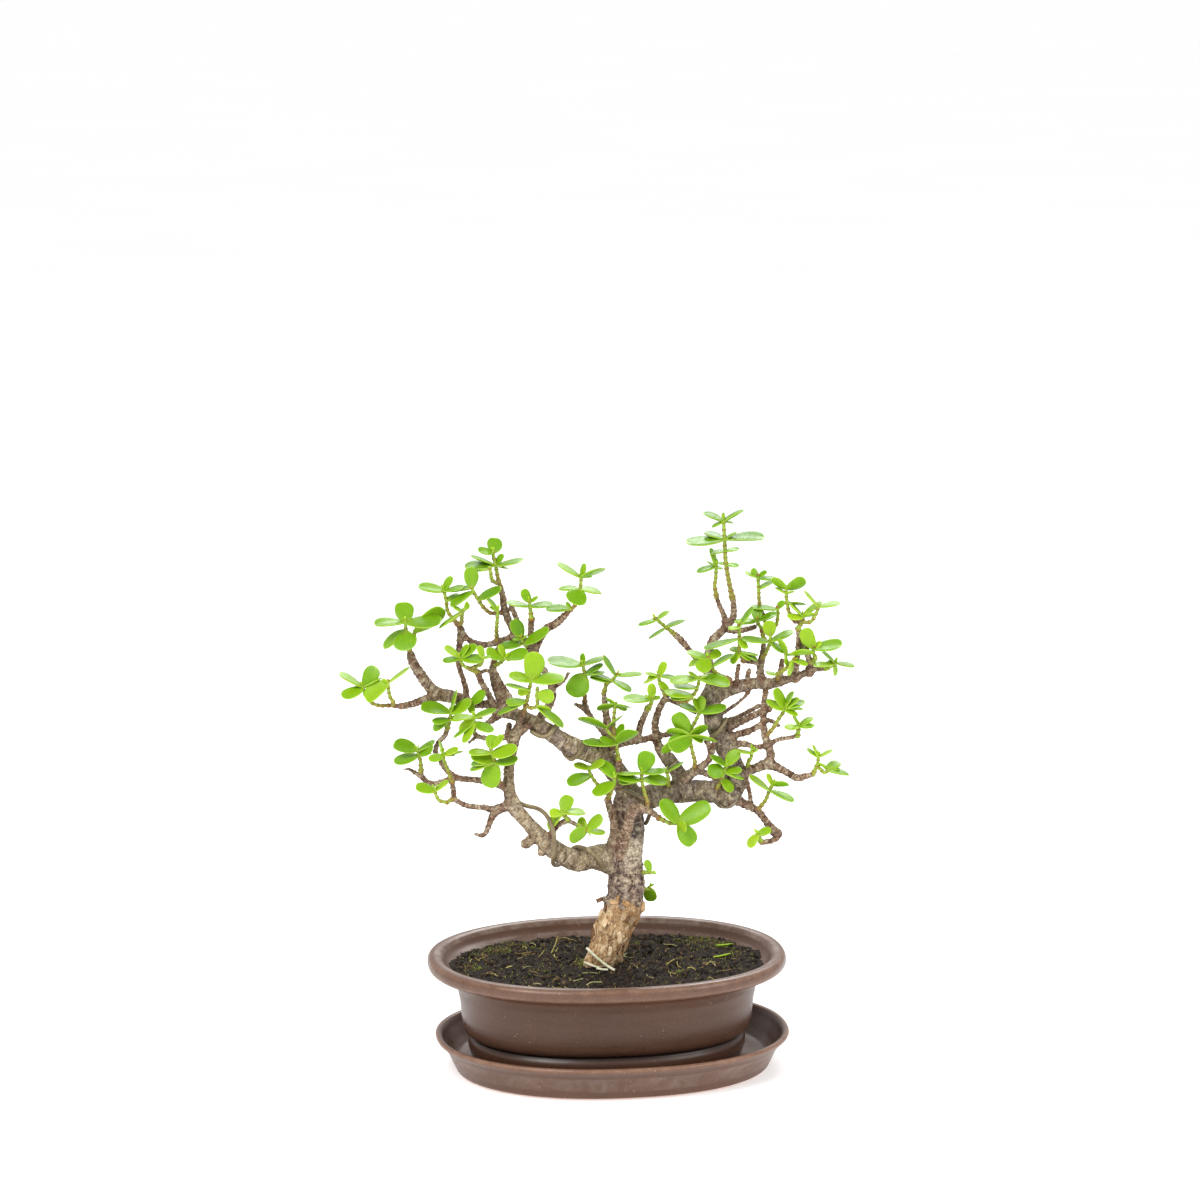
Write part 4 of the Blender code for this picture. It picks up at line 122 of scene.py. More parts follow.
# Middle lines of the wood: across, height, depth and radius
WOOD = {
    "trunk": [(-4.5, 36, 0, 7), (-5.5, 43, 0, 6.9), (-4.8, 48, 0, 6.9), (-2.6, 53, 0, 7.3),
        (-0.5, 58, 0, 7.6), (0.5, 63, 0, 7.6), (2.2, 67, 0, 7.3), (3.9, 70.5, 0, 8), (5, 74, 0, 8.7),
        (5.8, 78, 0, 7.8), (6, 84, 0, 8.2), (6, 90, 0, 7.5), (6.5, 96, 0, 6.6), (7.3, 102, 0, 6.4),
        (7.8, 108, 0, 6.3), (7.5, 115, 0, 6.1), (7.5, 120, 0, 6.2), (6.2, 126, 0, 5.2), (2.6, 132.5, 0, 4.8),
        (-2, 138, -1, 4.8), (-7, 142, -2, 4.7), (-13, 143.7, -4, 4.3), (-19, 146, -6, 4.3),
        (-25, 150, -7, 3.7), (-31, 154, -6, 3.5), (-37.5, 157.5, -4, 3.1), (-44, 160.3, -1, 2.5),
        (-50, 160, 2, 2), (-53, 157.6, 3, 1.6), (-56.5, 155.2, 4, 1.1)],
    "root_left": [(-4, 52, -2, 4.5), (-9, 46.5, -4, 3.6), (-11.5, 42, -5, 2.6)],
    "root_right": [(-1, 52, 2, 4), (2, 46, 4, 3), (4, 41.5, 5, 2)],
    "left_low": [(2, 94, 0, 6.3), (-4, 95, -4, 5.7), (-10, 95, -8, 4.8), (-15, 93.7, -10, 4.8),
        (-21, 95.5, -12, 4.4), (-25.5, 98.5, -13, 4.2), (-29.5, 102, -14, 3.8), (-34.5, 107.5, -14, 3.2),
        (-39.5, 113, -13, 3), (-43.8, 119, -11, 3.4), (-45.7, 126, -10, 2.6), (-45.9, 133, -9, 2.3),
        (-45.2, 140, -8, 2.3), (-43.6, 147, -7, 2.3), (-42.3, 152.5, -7, 2.4)],
    "left_cut_knob": [(-33, 105.5, -14, 2.2), (-38.3, 101.5, -15, 2.2)],
    "left_round_stub": [(-29.5, 102, -14, 1.8), (-31.5, 97.5, -15, 1.8)],
    "fork_a": [(-44, 120, -11, 2.6), (-48.5, 118, -12, 2.1), (-53, 117.2, -13, 1.5), (-58, 118, -14, 1.3),
        (-63, 118.5, -14, 1.2), (-67, 119.8, -13, 1.2), (-70, 122, -12, 1.2), (-70.4, 126, -11, 1.2),
        (-71, 129.5, -10, 1.1)],
    "fork_b": [(-48.5, 118, -12, 1.8), (-53, 114.3, -14, 1.6), (-54.7, 110, -16, 1.3),
        (-57.5, 105.3, -17, 1.1), (-60.8, 105.8, -18, 0.8)],
    "grey_left": [(-45.9, 127, -10, 2), (-50, 128.3, -5, 1.7), (-56.5, 130, 2, 1.5), (-63, 130.7, 5, 1.4),
        (-69, 131.6, 7, 1.4), (-72.5, 134, 8, 1.3), (-76, 139, 8, 1.2), (-78.2, 143.7, 6, 1.1),
        (-76.8, 147.5, 4, 1.1), (-74, 150.5, 2, 1.1), (-72.9, 153.5, 1, 1.1)],
    "far_left": [(-70, 131.7, 7, 1.3), (-75, 129.8, 8, 1.2), (-80, 128.8, 8, 1.2), (-84, 131.3, 7, 1.2),
        (-84.6, 134.3, 6, 1.1)],
    "far_left_tip": [(-83.6, 131.2, 7, 1), (-87.5, 133.8, 7, 1), (-90.2, 135.3, 7, 0.7),
        (-92.6, 134.8, 7, 0.45)],
    "riser_left_a": [(-42.3, 152, -7, 1.9), (-41, 156.5, -8, 1.6), (-39.3, 160.5, -10, 1.3)],
    "riser_left_b": [(-42, 151.5, -7, 1.6), (-39.2, 153, -9, 1.4), (-36.8, 155.3, -11, 1.3)],
    "riser_left_c": [(-44, 146, -7, 1.5), (-46, 150.5, -5, 1.4), (-45.6, 155.3, -4, 1.3)],
    "side_knob": [(-46, 150, -5, 1.3), (-50, 149.3, -7, 1.2), (-55, 149.2, -9, 1.2),
        (-59.5, 150.3, -11, 1.1), (-61.5, 152.3, -12, 1)],
    "side_stub": [(-60, 150.2, -11, 0.8), (-63.4, 147.2, -12, 0.7)],
    "mid_grey": [(-45, 160.5, -1, 2), (-48.5, 165, 3, 2), (-50.3, 169.5, 4, 2), (-51.8, 174.5, 5, 1.9),
        (-52.8, 179.5, 5, 1.7), (-52, 184, 6, 1.5), (-50.7, 188, 8, 1.3), (-48, 193, 12, 1.3)],
    "mid_grey_b": [(-43, 160.3, -1, 1.5), (-44.8, 166, 3, 1.6), (-47.7, 171, 6, 1.5), (-50.5, 176, 6, 1.5),
        (-52.5, 180, 5, 1.4)],
    "mid_brown": [(-51.5, 159.5, 2, 1.5), (-51.6, 163, 1, 1.5), (-53.8, 167.3, -1, 1.4),
        (-55.7, 171, -2, 1.4), (-58, 175, -3, 1.4), (-59.5, 179, -3, 1.3)],
    "mid_cross": [(-59, 178.3, -3, 0.9), (-56, 179.6, 0, 0.9), (-52.7, 178.7, 5, 0.9)],
    "left_arm": [(-50, 160.3, 2, 1.9), (-54, 164.3, 3, 1.8), (-60, 164.7, 4, 1.9), (-66, 166.6, 5, 2.4),
        (-72, 168.2, 6, 2.9), (-77, 169.3, 6, 2.8), (-81, 173, 5, 2.5), (-84.5, 178, 4, 2.3),
        (-87.5, 183, 3, 2.1), (-88.8, 187, 2, 1.9)],
    "left_out": [(-74, 168.5, 6, 2), (-80, 167.6, 4, 1.8), (-87, 165.2, 0, 1.6), (-92, 163.8, -2, 1.5),
        (-93.5, 163.7, -2.5, 1.4)],
    "left_twig": [(-64.5, 166, 5, 1.3), (-64.5, 171, 7, 1.3), (-66, 176.5, 9, 1.2), (-68, 184, 10, 1.2),
        (-67.4, 190, 10, 1.3), (-66.9, 193.5, 10, 1.6), (-66.7, 197, 10, 1.6)],
    "top_horizontal": [(-36, 189.5, 10, 1.7), (-39, 193.3, 11, 1.5), (-43, 194.7, 12, 1.5),
        (-48, 193.3, 12, 1.5), (-55, 191.3, 12, 1.4), (-60, 191.8, 11, 1.4), (-63.5, 193.8, 10, 1.3),
        (-66.5, 197, 10, 1.7), (-66.8, 198.5, 10, 1.6)],
    "upright_a": [(-42.5, 194.3, 12, 1.6), (-44.3, 199, 13, 1.6), (-46.3, 203.5, 14, 1.6),
        (-47.6, 208, 15, 1.6), (-48.2, 213, 16, 1.4), (-49, 216.3, 17, 1.2)],
    "upright_b": [(-40, 194, 12, 1.2), (-41.5, 201, 13, 1.1), (-43, 205, 13, 1.2), (-44.5, 208.7, 13, 1.2)],
    "right_rise": [(-33, 156, -5, 2), (-30.5, 160.5, -1, 1.9), (-28, 164, 2, 1.8), (-26.6, 169, 4, 1.8),
        (-27.2, 174, 6, 1.7), (-29.5, 178.5, 8, 1.6), (-32, 182.5, 9, 1.5), (-34.3, 187, 10, 1.6),
        (-35.5, 191, 9, 1.4), (-35.9, 197, 7, 1.4), (-35.6, 203, 5, 1.4)],
    "right_rise_out": [(-34.5, 189, 10, 1.8), (-32, 194, 8, 1.8), (-29, 198.5, 5, 1.8), (-25, 200.7, 1, 1.7),
        (-21, 204.3, -2, 1.5)],
    "knob_twig": [(-26.8, 172.5, 5, 1.1), (-23.5, 173.5, 3, 0.9), (-21, 175.8, 2, 0.8),
        (-19.6, 178.5, 1, 0.8)],
    "centre_back": [(-1.5, 145, -1, 1.5), (-3, 150, 2, 1.4), (-7, 155.5, 6, 1.3), (-10.5, 160.3, 10, 1.2),
        (-12.3, 165, 13, 1.2)],
    "centre_back_stub": [(-11, 161, 10.5, 1.1), (-14, 163.4, 11, 1.1), (-16.3, 164.6, 11, 0.9)],
    "centre_up": [(0, 145, -1, 1.9), (-0.7, 151, 4, 1.8), (-2.4, 157, 7, 1.7), (-3.3, 163, 9, 1.5),
        (-3.9, 169.5, 10, 1.2)],
    "front_twig": [(4, 127, -2, 1.9), (3.2, 132, -7, 1.7), (2.9, 136, -7, 1.6), (2.6, 139.5, -6, 1.4)],
    "left_fork": [(3, 96, -3, 2.6), (-0.2, 100, -5, 2.4), (1, 107, -5, 2.2), (0.3, 113, -5, 1.9),
        (-1.2, 118, -5, 1.7), (-2.2, 121.3, -5, 1.6)],
    "front_branch": [(3, 97, -5, 2.6), (4.7, 103, -7, 2.5), (6.6, 109, -8, 2.3), (8.4, 115, -9, 2.2),
        (11, 117.6, -9.5, 2), (15, 116.8, -9.5, 1.8), (18.5, 114.8, -9, 1.3), (20.7, 113, -9, 1.1)],
    "low_twig": [(-28.5, 101, -14, 1.8), (-27.3, 105.5, -15, 1.6), (-25, 109.3, -15, 1.4),
        (-22, 111.2, -15, 1.2), (-19.5, 111.8, -15, 1.1), (-17.3, 110.8, -15, 1), (-15.3, 109.7, -15, 0.9)],
    "cross_twig": [(-5, 143.5, -2, 2), (1, 146, -1, 1.8), (6, 147.3, 0, 1.6), (12, 148.3, 2, 1.5),
        (18, 149.8, 3, 1.5), (24, 151, 2, 1.3), (31.5, 151.9, 0, 1.1)],
    "cross_riser": [(10.8, 148.2, 2, 1.5), (12.3, 155.5, 0, 1.5), (14, 159.5, -2, 1.3),
        (15.5, 162.8, -3, 1.2)],
    "centre_right": [(28, 126, 3, 3.6), (30, 130.5, 4, 3.4), (28, 135, 4, 3.3), (25, 139.3, 3, 3.1),
        (21.8, 143, 2, 2.5), (19.9, 146.5, 2, 2), (19.3, 150.5, 2, 1.7), (18.6, 155.5, 1, 1.6),
        (20, 161, 0, 1.5), (22, 165.5, -1, 1.5), (23.6, 168, -1, 1.4)],
    "centre_right_twig": [(23, 167, -1, 0.9), (27.5, 165.3, 2, 0.9), (32, 163.1, 3, 0.9),
        (36.3, 160.7, 4, 0.8)],
    "right_main": [(7.5, 120, 0, 5.8), (14, 122, 2, 5.2), (21, 124, 3, 5), (29, 124.8, 3, 4.8),
        (37, 125.5, 2, 4.8), (45, 125, 0, 4.8), (52, 125.5, -1, 5)],
    "riser": [(50, 124, -1, 5.2), (54.5, 131, -1, 4.6), (53, 138, 0, 4.3), (50.5, 144, 1, 4.6),
        (48, 150, 2, 4.6), (45, 156, 2, 4.2), (43.5, 163, 3, 3.9), (43, 169, 3, 3.7)],
    "riser_cut_knob": [(44.3, 157, 1, 3.3), (44, 157, -4, 3.2)],
    "right_top": [(43, 167.5, 3, 3.7), (50, 171, 3, 3.2), (57, 173, 2, 2.8), (64, 174, 1, 2.5),
        (70, 174, 0, 2.3), (76, 175.5, -1, 1.9), (82, 177.5, -2, 1.6), (88, 180, -3, 1.2),
        (93.5, 180.5, -3, 1)],
    "right_low": [(54, 122, -1, 2.2), (60, 118.5, -2, 1.7), (64, 116.5, -3, 1.7), (68, 111.5, -4, 1.6),
        (71, 107.5, -4, 2.2), (73.2, 105.8, -4, 2), (72, 103.3, -5, 1.2), (69.5, 102.5, -6, 1.3),
        (66, 102, -6, 1.2)],
    "right_mid": [(54, 133, -1, 3), (58, 134, -3, 2.4), (63, 135.7, -5, 2), (68.5, 137.5, -6, 2.3),
        (73, 136, -7, 1.8), (78, 133.2, -8, 1.6), (82, 131.3, -9, 1.6), (86, 132.3, -9, 1.3),
        (88.5, 133, -9, 1.1)],
    "right_vertical": [(68.5, 137.5, -6, 1.9), (69.8, 142, -5, 1.8), (68.3, 146.5, -4, 1.7),
        (67, 151, -3, 1.6), (66.5, 158, -2, 1.4), (66.6, 165, -1, 1.3), (67.5, 172, 0, 1.3)],
    "right_diagonal": [(48, 150, 2, 2.2), (52, 154.5, 2, 1.9), (57, 157, 1, 1.6), (63, 160, 0, 1.5),
        (69, 162.5, -1, 1.4)],
    "right_diagonal_b": [(50, 148, 1, 2), (55, 151, -1, 1.6), (60, 152.5, -3, 1.5), (65, 155.3, -3, 1.3)],
    "right_diagonal_c": [(52, 146, 1, 1.6), (58, 146.8, -1, 1.4), (63, 145.3, -3, 1.2), (68, 146, -4, 1.2)],
    "right_dark_twig": [(45.5, 156.5, 3, 1), (50, 157.5, 4, 1), (55, 158.8, 5, 1), (60, 161.5, 5, 1),
        (64.5, 164, 5, 1)],
    "right_red_twig": [(45.5, 159, 3, 1), (50.5, 162, 3, 0.9), (56, 166, 2, 0.8), (60, 170, 1, 0.8)],
    "right_cut_stub": [(66.8, 157.5, -2, 1), (70, 157, 1, 1), (73, 155, 2, 1)],
    "orange_twig": [(69, 146.5, -4, 1.2), (74, 149, -6, 1), (78, 149.5, -7, 1), (81.5, 150.5, -7, 0.9)],
    "thin_down": [(58.5, 133.5, -3, 1), (60.3, 125.5, -3, 1), (61.5, 118.2, -2.5, 1)],
    "lower_twig": [(30, 129, 3, 2.8), (33, 132, 0, 2.3), (37, 135, -2, 2), (40, 137, -3, 1.6),
        (43, 140.5, -4, 1.4), (43, 144, -4, 1.3), (41.3, 148, -4, 1.2)],
    "lower_twig_b": [(37, 135, -2, 1.4), (42, 133, -1, 1.4), (46, 131.5, 0, 1.4), (51, 130, 0, 1.4)],
    "lower_twig_c": [(43.2, 141, -4, 0.8), (45, 145, -4, 0.8), (44.3, 149, -4, 0.8)],
    "top_left_out": [(45, 175.5, 8, 1), (42.5, 177.5, 10, 1.2), (40, 180, 13, 1.3), (37, 184.5, 16, 1.3),
        (33.5, 189, 18, 1.3), (30, 193.3, 20, 1.5), (27.3, 195.8, 21, 1.4)],
    "top_riser": [(43, 168, 3, 3.2), (43.3, 177, 9, 2.1), (42.3, 183.5, 13, 1.9), (42.2, 189, 15, 1.8),
        (44, 193.5, 17, 1.8), (47, 196.5, 18, 1.8), (49.8, 199.5, 19, 1.7), (51.3, 201.5, 19, 1.5)],
    "top_twig_a": [(50.5, 200.5, 19, 1.6), (52.6, 203, 19, 1.5), (53, 207, 19, 1.4), (52.4, 212, 19, 1.3)],
    "top_twig_b": [(49.5, 199.8, 19, 1.4), (48.6, 204.5, 20, 1.2), (46.8, 208.5, 21, 1.1),
        (45.4, 212.5, 21, 1)],
    "top_stub": [(49.5, 198.5, 19, 1.3), (53, 197.5, 16, 1.3), (58, 198, 13, 1.2), (62.3, 199.2, 11, 1.1)],
    "upright_1": [(66, 174.5, 0, 1.8), (64.8, 180, 2, 1.7), (65.3, 184, 3, 1.5), (66, 189, 4, 1.2),
        (66.3, 193.5, 5, 1.1)],
    "upright_1_stub": [(65, 183, 3, 1.2), (61, 183.8, 1, 1.2), (57.5, 184, -1, 1.1)],
    "upright_2": [(54.5, 172.5, 2, 1.2), (54.6, 177, 0, 1.1), (55.3, 182, -2, 1)],
    "upright_3": [(60, 173.5, 1.5, 1.1), (59.3, 177, -1, 1.1), (60, 179.8, -2, 1.1)],
    "upright_4": [(80.3, 176.5, -2, 1.8), (80.6, 182, -5, 1.4), (81.2, 189, -8, 1.3), (81.5, 195, -10, 1.1),
        (81.4, 198.5, -10.5, 1.1)],
    "upright_5": [(86.5, 178.8, -3, 1.6), (86.3, 184, -5, 1.4), (84.5, 190, -7, 1.3), (83.6, 193, -8, 1)],
    "upright_6": [(74, 175.5, 0, 1.2), (73.8, 180, 3, 1.2), (74.3, 183.8, 5, 1.2)],
}

# Shoots: root or None, stems as across, height and depth, and leaves as stem, knot of it, tip across,
# tip height, length (below nought towards the back) and width as seen
SHOOTS = {
    "shoot_left_01": (
        None,
        [[(-89.3, 188.5, 2), (-90.3, 193, 1), (-90.7, 197.5, 0.5), (-91, 202, 0)], [(-87.4, 192, 4),
         (-87, 197.5, 5)]],
        [(0, 3, -92, 210.5, -11, 8.5), (0, 3, -104.5, 200.8, 14, 4), (0, 3, -75.3, 202.5, 16, 4.8),
         (1, 1, -74.5, 208, -15, 6.5), (0, 2, -91.5, 188.7, 12, 10.5), (0, 2, -101, 190.3, 12.5, 4.5)],
    ),
    "shoot_left_02": (
        None,
        [[(-95, 163.8, -3), (-98.5, 164, -4), (-103, 164, -5), (-106.5, 165.5, -6), (-109, 169, -6),
         (-110, 173, -6)], [(-96.5, 165, -6), (-98, 168, -8), (-98.6, 171.5, -9), (-98.8, 175, -9)]],
        [(1, 3, -89.5, 181.5, -11.5, 1.8), (1, 3, -109, 167, 12.5, 7.3), (1, 3, -101.5, 176, 3.5, 1.5),
         (0, 5, -120, 179, 12, 1.5), (0, 5, -119, 168, 11.5, 4.5), (0, 5, -104, 181.3, -10.5, 7.5),
         (0, 5, -101.5, 176.8, 9, 1), (0, 5, -114, 174.3, -5, 1.3)],
    ),
    "shoot_left_03": (
        None,
        [[(-67, 199.5, 10), (-69.3, 201.7, 10), (-72, 205.5, 10), (-73, 211, 10), (-74, 216, 10)],
         [(-66.6, 200.5, 9), (-66.2, 203, 8), (-65.8, 206, 6), (-64.8, 207.3, 5)]],
        [(0, 4, -85, 217.8, 11, 4), (0, 4, -70.5, 221.7, -6, 3.5), (0, 4, -65.5, 217.2, 9.5, 1.5),
         (0, 3, -66.7, 213.7, -7.5, 3.4), (1, 3, -63, 210, -5, 2.6), (1, 2, -76.5, 199, 12.9, 1.5),
         (1, 2, -72, 201.5, 7, 2.2), (1, 2, -69.8, 208.2, -4, 1.3)],
    ),
    "shoot_left_04": (
        None,
        [[(-49, 205.3, 13), (-53, 205.3, 11), (-56.5, 207.8, 9), (-59, 211.5, 8), (-61, 215, 7),
         (-61.9, 217.3, 7)]],
        [(0, 5, -62.5, 226, -9.5, 6.5), (0, 5, -71.5, 215.6, 10, 1.6), (0, 4, -71, 208.5, 12.5, 4),
         (0, 3, -49, 217, 11, 4.8)],
    ),
    "shoot_left_05": (
        (-50.8, 192.4),
        [[(-50.8, 194.5, 10), (-51, 198, 8), (-50.6, 203, 6), (-50.4, 207, 5)]],
        [(0, 3, -55, 212.7, -7.8, 1.2), (0, 3, -54, 208.2, 4.2, 1)],
    ),
    "shoot_left_06": (
        None,
        [[(-49.4, 217.5, 17), (-50.2, 221, 17), (-51.2, 226.5, 17), (-52.2, 231, 17), (-52.4, 233, 17)],
         [(-50.5, 219, 15), (-52.8, 220, 12), (-53.3, 222.5, 10), (-53.8, 225.7, 9)]],
        [(0, 4, -51.5, 239, -8, 7.5), (0, 4, -58.7, 233.4, 7.5, 3.4), (0, 2, -64.8, 226.3, 13.8, 2.8),
         (0, 2, -39.5, 229.5, 13, 2.8), (0, 2, -48, 231.6, -5.5, 2.5), (0, 2, -62, 231.4, -11, 1.3),
         (0, 2, -45.5, 225.4, 5.5, 1), (1, 3, -63.5, 225, 10, 2), (1, 3, -59, 224.3, -6, 1.2)],
    ),
    "shoot_left_07": (
        None,
        [[(-37.7, 190.3, 8), (-39.2, 191.8, 6), (-40.2, 194.5, 5)]],
        [(0, 2, -43.5, 202.6, -9, 6), (0, 2, -44, 193.8, 4.3, 1), (0, 2, -37.5, 195.7, -3, 0.9),
         (0, 1, -28.7, 197.6, 11.5, 5), (0, 1, -49, 191, 10, 3)],
    ),
    "shoot_left_08": (
        None,
        [[(-35.8, 204.2, 5), (-36.3, 208.3, 5), (-36.5, 211, 5)]],
        [(0, 1, -46.5, 210.5, 10.5, 1.3), (0, 1, -26.5, 209.6, 10.3, 1.8), (0, 2, -39.3, 216, -6, 4.2),
         (0, 2, -32.8, 212.9, 4.2, 1.8)],
    ),
    "shoot_left_09": (
        None,
        [[(-72.6, 154.8, 0), (-71.7, 158, -1), (-71.3, 161.5, -2)]],
        [(0, 1, -79.3, 156.7, 8.5, 3.3), (0, 1, -79.5, 153.7, -9, 3.3), (0, 1, -64.7, 158.7, 7.5, 2.5),
         (0, 2, -84.5, 163.5, 13.5, 5), (0, 2, -62.5, 166, 11, 5), (0, 2, -69, 171, 10, 2.2)],
    ),
    "shoot_left_10": (
        (-61, 164.8),
        [[(-61.8, 164.8, 0), (-62.7, 165.3, -2)]],
        [(0, 1, -56.3, 170.2, 8.5, 4.5), (0, 1, -68.5, 161.5, 7, 2.5), (0, 1, -69, 169.5, 8, 1.3),
         (0, 1, -62, 160.5, 5, 3.3)],
    ),
    "shoot_left_11": (
        None,
        [[(-60.3, 180.5, -4), (-62.5, 180.3, -5), (-65, 181.5, -6), (-67.3, 186, -7)], [(-59, 182, -4),
         (-57.8, 183, -5), (-56.7, 185.7, -5)]],
        [(0, 3, -73.7, 190.6, -7.5, 2.8), (0, 3, -60, 191.2, -9, 3.8), (0, 3, -63.5, 191.3, -6.5, 2.5),
         (0, 3, -74.6, 184, 8.3, 2.4), (0, 3, -57.2, 184.8, 10.5, 3.1), (1, 2, -58.9, 190.8, -6, 2.8),
         (1, 2, -53.5, 186, 3.5, 0.9)],
    ),
    "shoot_left_12": (
        None,
        [[(-50.8, 181.5, 4), (-49, 183.5, 2), (-47, 185.8, 0)]],
        [(0, 2, -55.4, 188.6, 9.3, 3.9), (0, 2, -37.3, 188.5, 9.8, 5.2), (0, 2, -49.7, 191.4, -6, 3),
         (0, 2, -44.8, 184.2, 2.8, 1.3)],
    ),
    "shoot_left_13": (
        None,
        [[(-61.5, 153.6, -12), (-61.1, 156, -12), (-61.2, 159.5, -12)]],
        [(0, 2, -51.3, 162.5, 9.5, 3.2), (0, 2, -70, 158.3, 9.2, 2.2), (0, 2, -57.3, 158.8, -5, 2),
         (0, 1, -67.7, 152.3, 7.5, 4.2), (0, 0, -52.8, 152.6, 10, 4.2), (0, 0, -65.7, 147.5, 7.5, 2.6),
         (0, 0, -70.5, 149.9, 10, 1.1)],
    ),
    "shoot_left_14": (
        None,
        [[(-48.8, 127.7, -13), (-50, 130, -15), (-50.8, 134, -17), (-52, 138.5, -18), (-53.3, 142.5, -19),
         (-54, 145.5, -19)]],
        [(0, 5, -53, 151, -7, 5.5), (0, 5, -48.3, 150.7, -6, 3), (0, 4, -42.5, 144.5, 12.5, 5),
         (0, 4, -63.7, 143.3, 10.5, 2.8), (0, 3, -42.5, 139.3, 11.5, 3.3), (0, 3, -62.5, 141.5, -10, 4.8),
         (0, 3, -62.7, 137.8, 10.5, 1.8), (0, 3, -63.3, 135.5, -11.5, 1.3), (0, 3, -55.7, 127, 11.5, 9)],
    ),
    "shoot_left_15": (
        None,
        [[(-84.5, 135.6, 6), (-84.8, 138.5, 5), (-85.6, 141.5, 4), (-86.2, 144.5, 3)]],
        [(0, 3, -96.7, 146.8, 11, 6), (0, 3, -78.6, 148.6, -9, 1.2), (0, 2, -96.7, 139, 11.5, 3.7),
         (0, 2, -79.5, 146, 8.5, 4.2), (0, 2, -79.8, 142.8, -6.5, 1.2)],
    ),
    "shoot_left_16": (
        None,
        [[(-71.3, 131, -10.5), (-72.8, 135, -12), (-74.5, 139.5, -13), (-75, 142.5, -13)]],
        [(0, 3, -80.7, 139.3, 8.3, 3.6), (0, 3, -68.3, 144.5, 7.5, 2.8), (0, 3, -69.5, 142.3, -6, 1.6),
         (0, 3, -66, 143.6, -9.5, 0.9), (0, 3, -76.3, 148.2, -6.5, 1)],
    ),
    "shoot_left_17": (
        None,
        [[(-72, 120.8, -12), (-74, 120.3, -12), (-76.5, 121, -12), (-78, 123.3, -12), (-78.4, 126.2, -12)]],
        [(0, 4, -87, 128, 9, 4.6), (0, 4, -72.5, 130.2, -7.5, 1.8)],
    ),
    "shoot_left_18": (
        None,
        [[(-38.9, 161.8, -10.5), (-37.8, 166, -12), (-36.7, 171, -14), (-35.7, 176, -15)],
         [(-36.4, 163, -13), (-33.6, 163.5, -14), (-33.4, 169, -14), (-33.1, 172, -14)]],
        [(0, 3, -34, 188, -11.5, 9.3), (0, 3, -45.6, 177.5, 10.5, 4.7), (0, 3, -21.3, 177, 13, 5),
         (0, 2, -47, 173.8, 11, 1.7), (0, 2, -41.8, 169.5, 5, 3.6), (0, 1, -46.7, 165.3, 9.5, 3),
         (0, 1, -51, 160.8, 13.5, 2.8), (1, 2, -26, 167.3, 8.5, 6.3), (1, 1, -27.3, 163, 7, 2),
         (1, 1, -21.2, 154.8, 13.5, 4)],
    ),
    "shoot_left_19": (
        (-19.5, 111.8),
        [[(-19.8, 112.6, -15.5), (-21.8, 114.8, -16)]],
        [(0, 1, -19.2, 123.6, -9.5, 6.2), (0, 1, -28, 115.2, 6.5, 4.3), (0, 1, -29, 108.7, 10, 3.8),
         (0, 1, -12, 116, -10.5, 2.7)],
    ),
    "shoot_left_20": (
        (-15, 109.4),
        [[(-12.4, 108, -15), (-10.8, 107, -15)]],
        [(0, 1, -14.7, 113, -7.5, 4.5), (0, 1, -4.5, 114, 9, 5), (0, 1, -3.3, 106, 7.5, 2.4),
         (0, 1, -19, 103.3, 9.5, 6.3)],
    ),
    "shoot_mid_01": (
        None,
        [[(-20, 205.5, -2), (-17.2, 208, -4), (-15.6, 210.7, -5), (-14.3, 216, -6), (-13.8, 222, -6)]],
        [(0, 0, -29.4, 207.6, -9.5, 3.6), (0, 0, -20.5, 210, 4, 1.5), (0, 0, -26, 206.5, 6, 1.5),
         (0, 3, -17, 209.7, 11, 10), (0, 3, -23.5, 217, -10, 2.5), (0, 3, -5, 215, -10, 2.5),
         (0, 4, -24, 228, 12, 2.5), (0, 4, -4, 226, 12, 2.5), (0, 4, -12.5, 227.5, -6, 2.5),
         (0, 4, -18, 224, -5.5, 1.5), (0, 4, -9, 222, -5.5, 1.5)],
    ),
    "shoot_mid_02": (
        None,
        [[(-12.4, 167.2, 12.5), (-12.3, 172, 11), (-12.4, 178, 9), (-13.3, 183, 8)]],
        [(0, 3, -13.2, 187.5, -5, 2.5), (0, 3, -28.5, 184.5, 16, 5.5), (0, 3, -3.5, 186, -10.7, 3),
         (0, 2, -4.5, 183, 9, 2.2), (0, 2, -3.5, 179, 9.5, 1.8), (0, 2, -18.5, 168.5, 12, 10)],
    ),
    "shoot_mid_03": (
        None,
        [[(-3.9, 171.5, 10), (-2.8, 173.5, 9), (-0.5, 175.3, 8), (2, 178, 7)]],
        [(0, 3, -4, 186.5, -11, 2), (0, 3, 13, 178.5, 11.5, 1.5), (0, 2, -9.5, 179, 10, 2),
         (0, 2, 8.5, 171, 10, 2), (0, 1, -10, 177, -6, 2)],
    ),
    "shoot_mid_04": (
        None,
        [[(2.5, 141.5, -6), (1.8, 144.5, -6.5), (1.9, 147.8, -7)], [(1.2, 149, -6), (-1, 151, -5),
         (-3.4, 154.5, -3)], [(1.2, 150, -5), (0.5, 155, -3), (0.6, 160, 0), (1.4, 165, 2)]],
        [(0, 2, -12.7, 147.7, 15, 1.8), (0, 2, -5.5, 149, 8.5, 2.5), (0, 2, 9.3, 153.5, 12, 6),
         (0, 2, 4.5, 155.8, -9, 4), (1, 2, -15.5, 158.7, 13.5, 4.3), (1, 2, 4.3, 160, -9.5, 1.5),
         (2, 3, 8, 163.5, 7.5, 1.2), (2, 3, -7, 162.5, -8.5, 2.5), (2, 3, 6.2, 162, -5.5, 3),
         (2, 3, -2.8, 167.3, 4.5, 1.3)],
    ),
    "shoot_mid_05": (
        None,
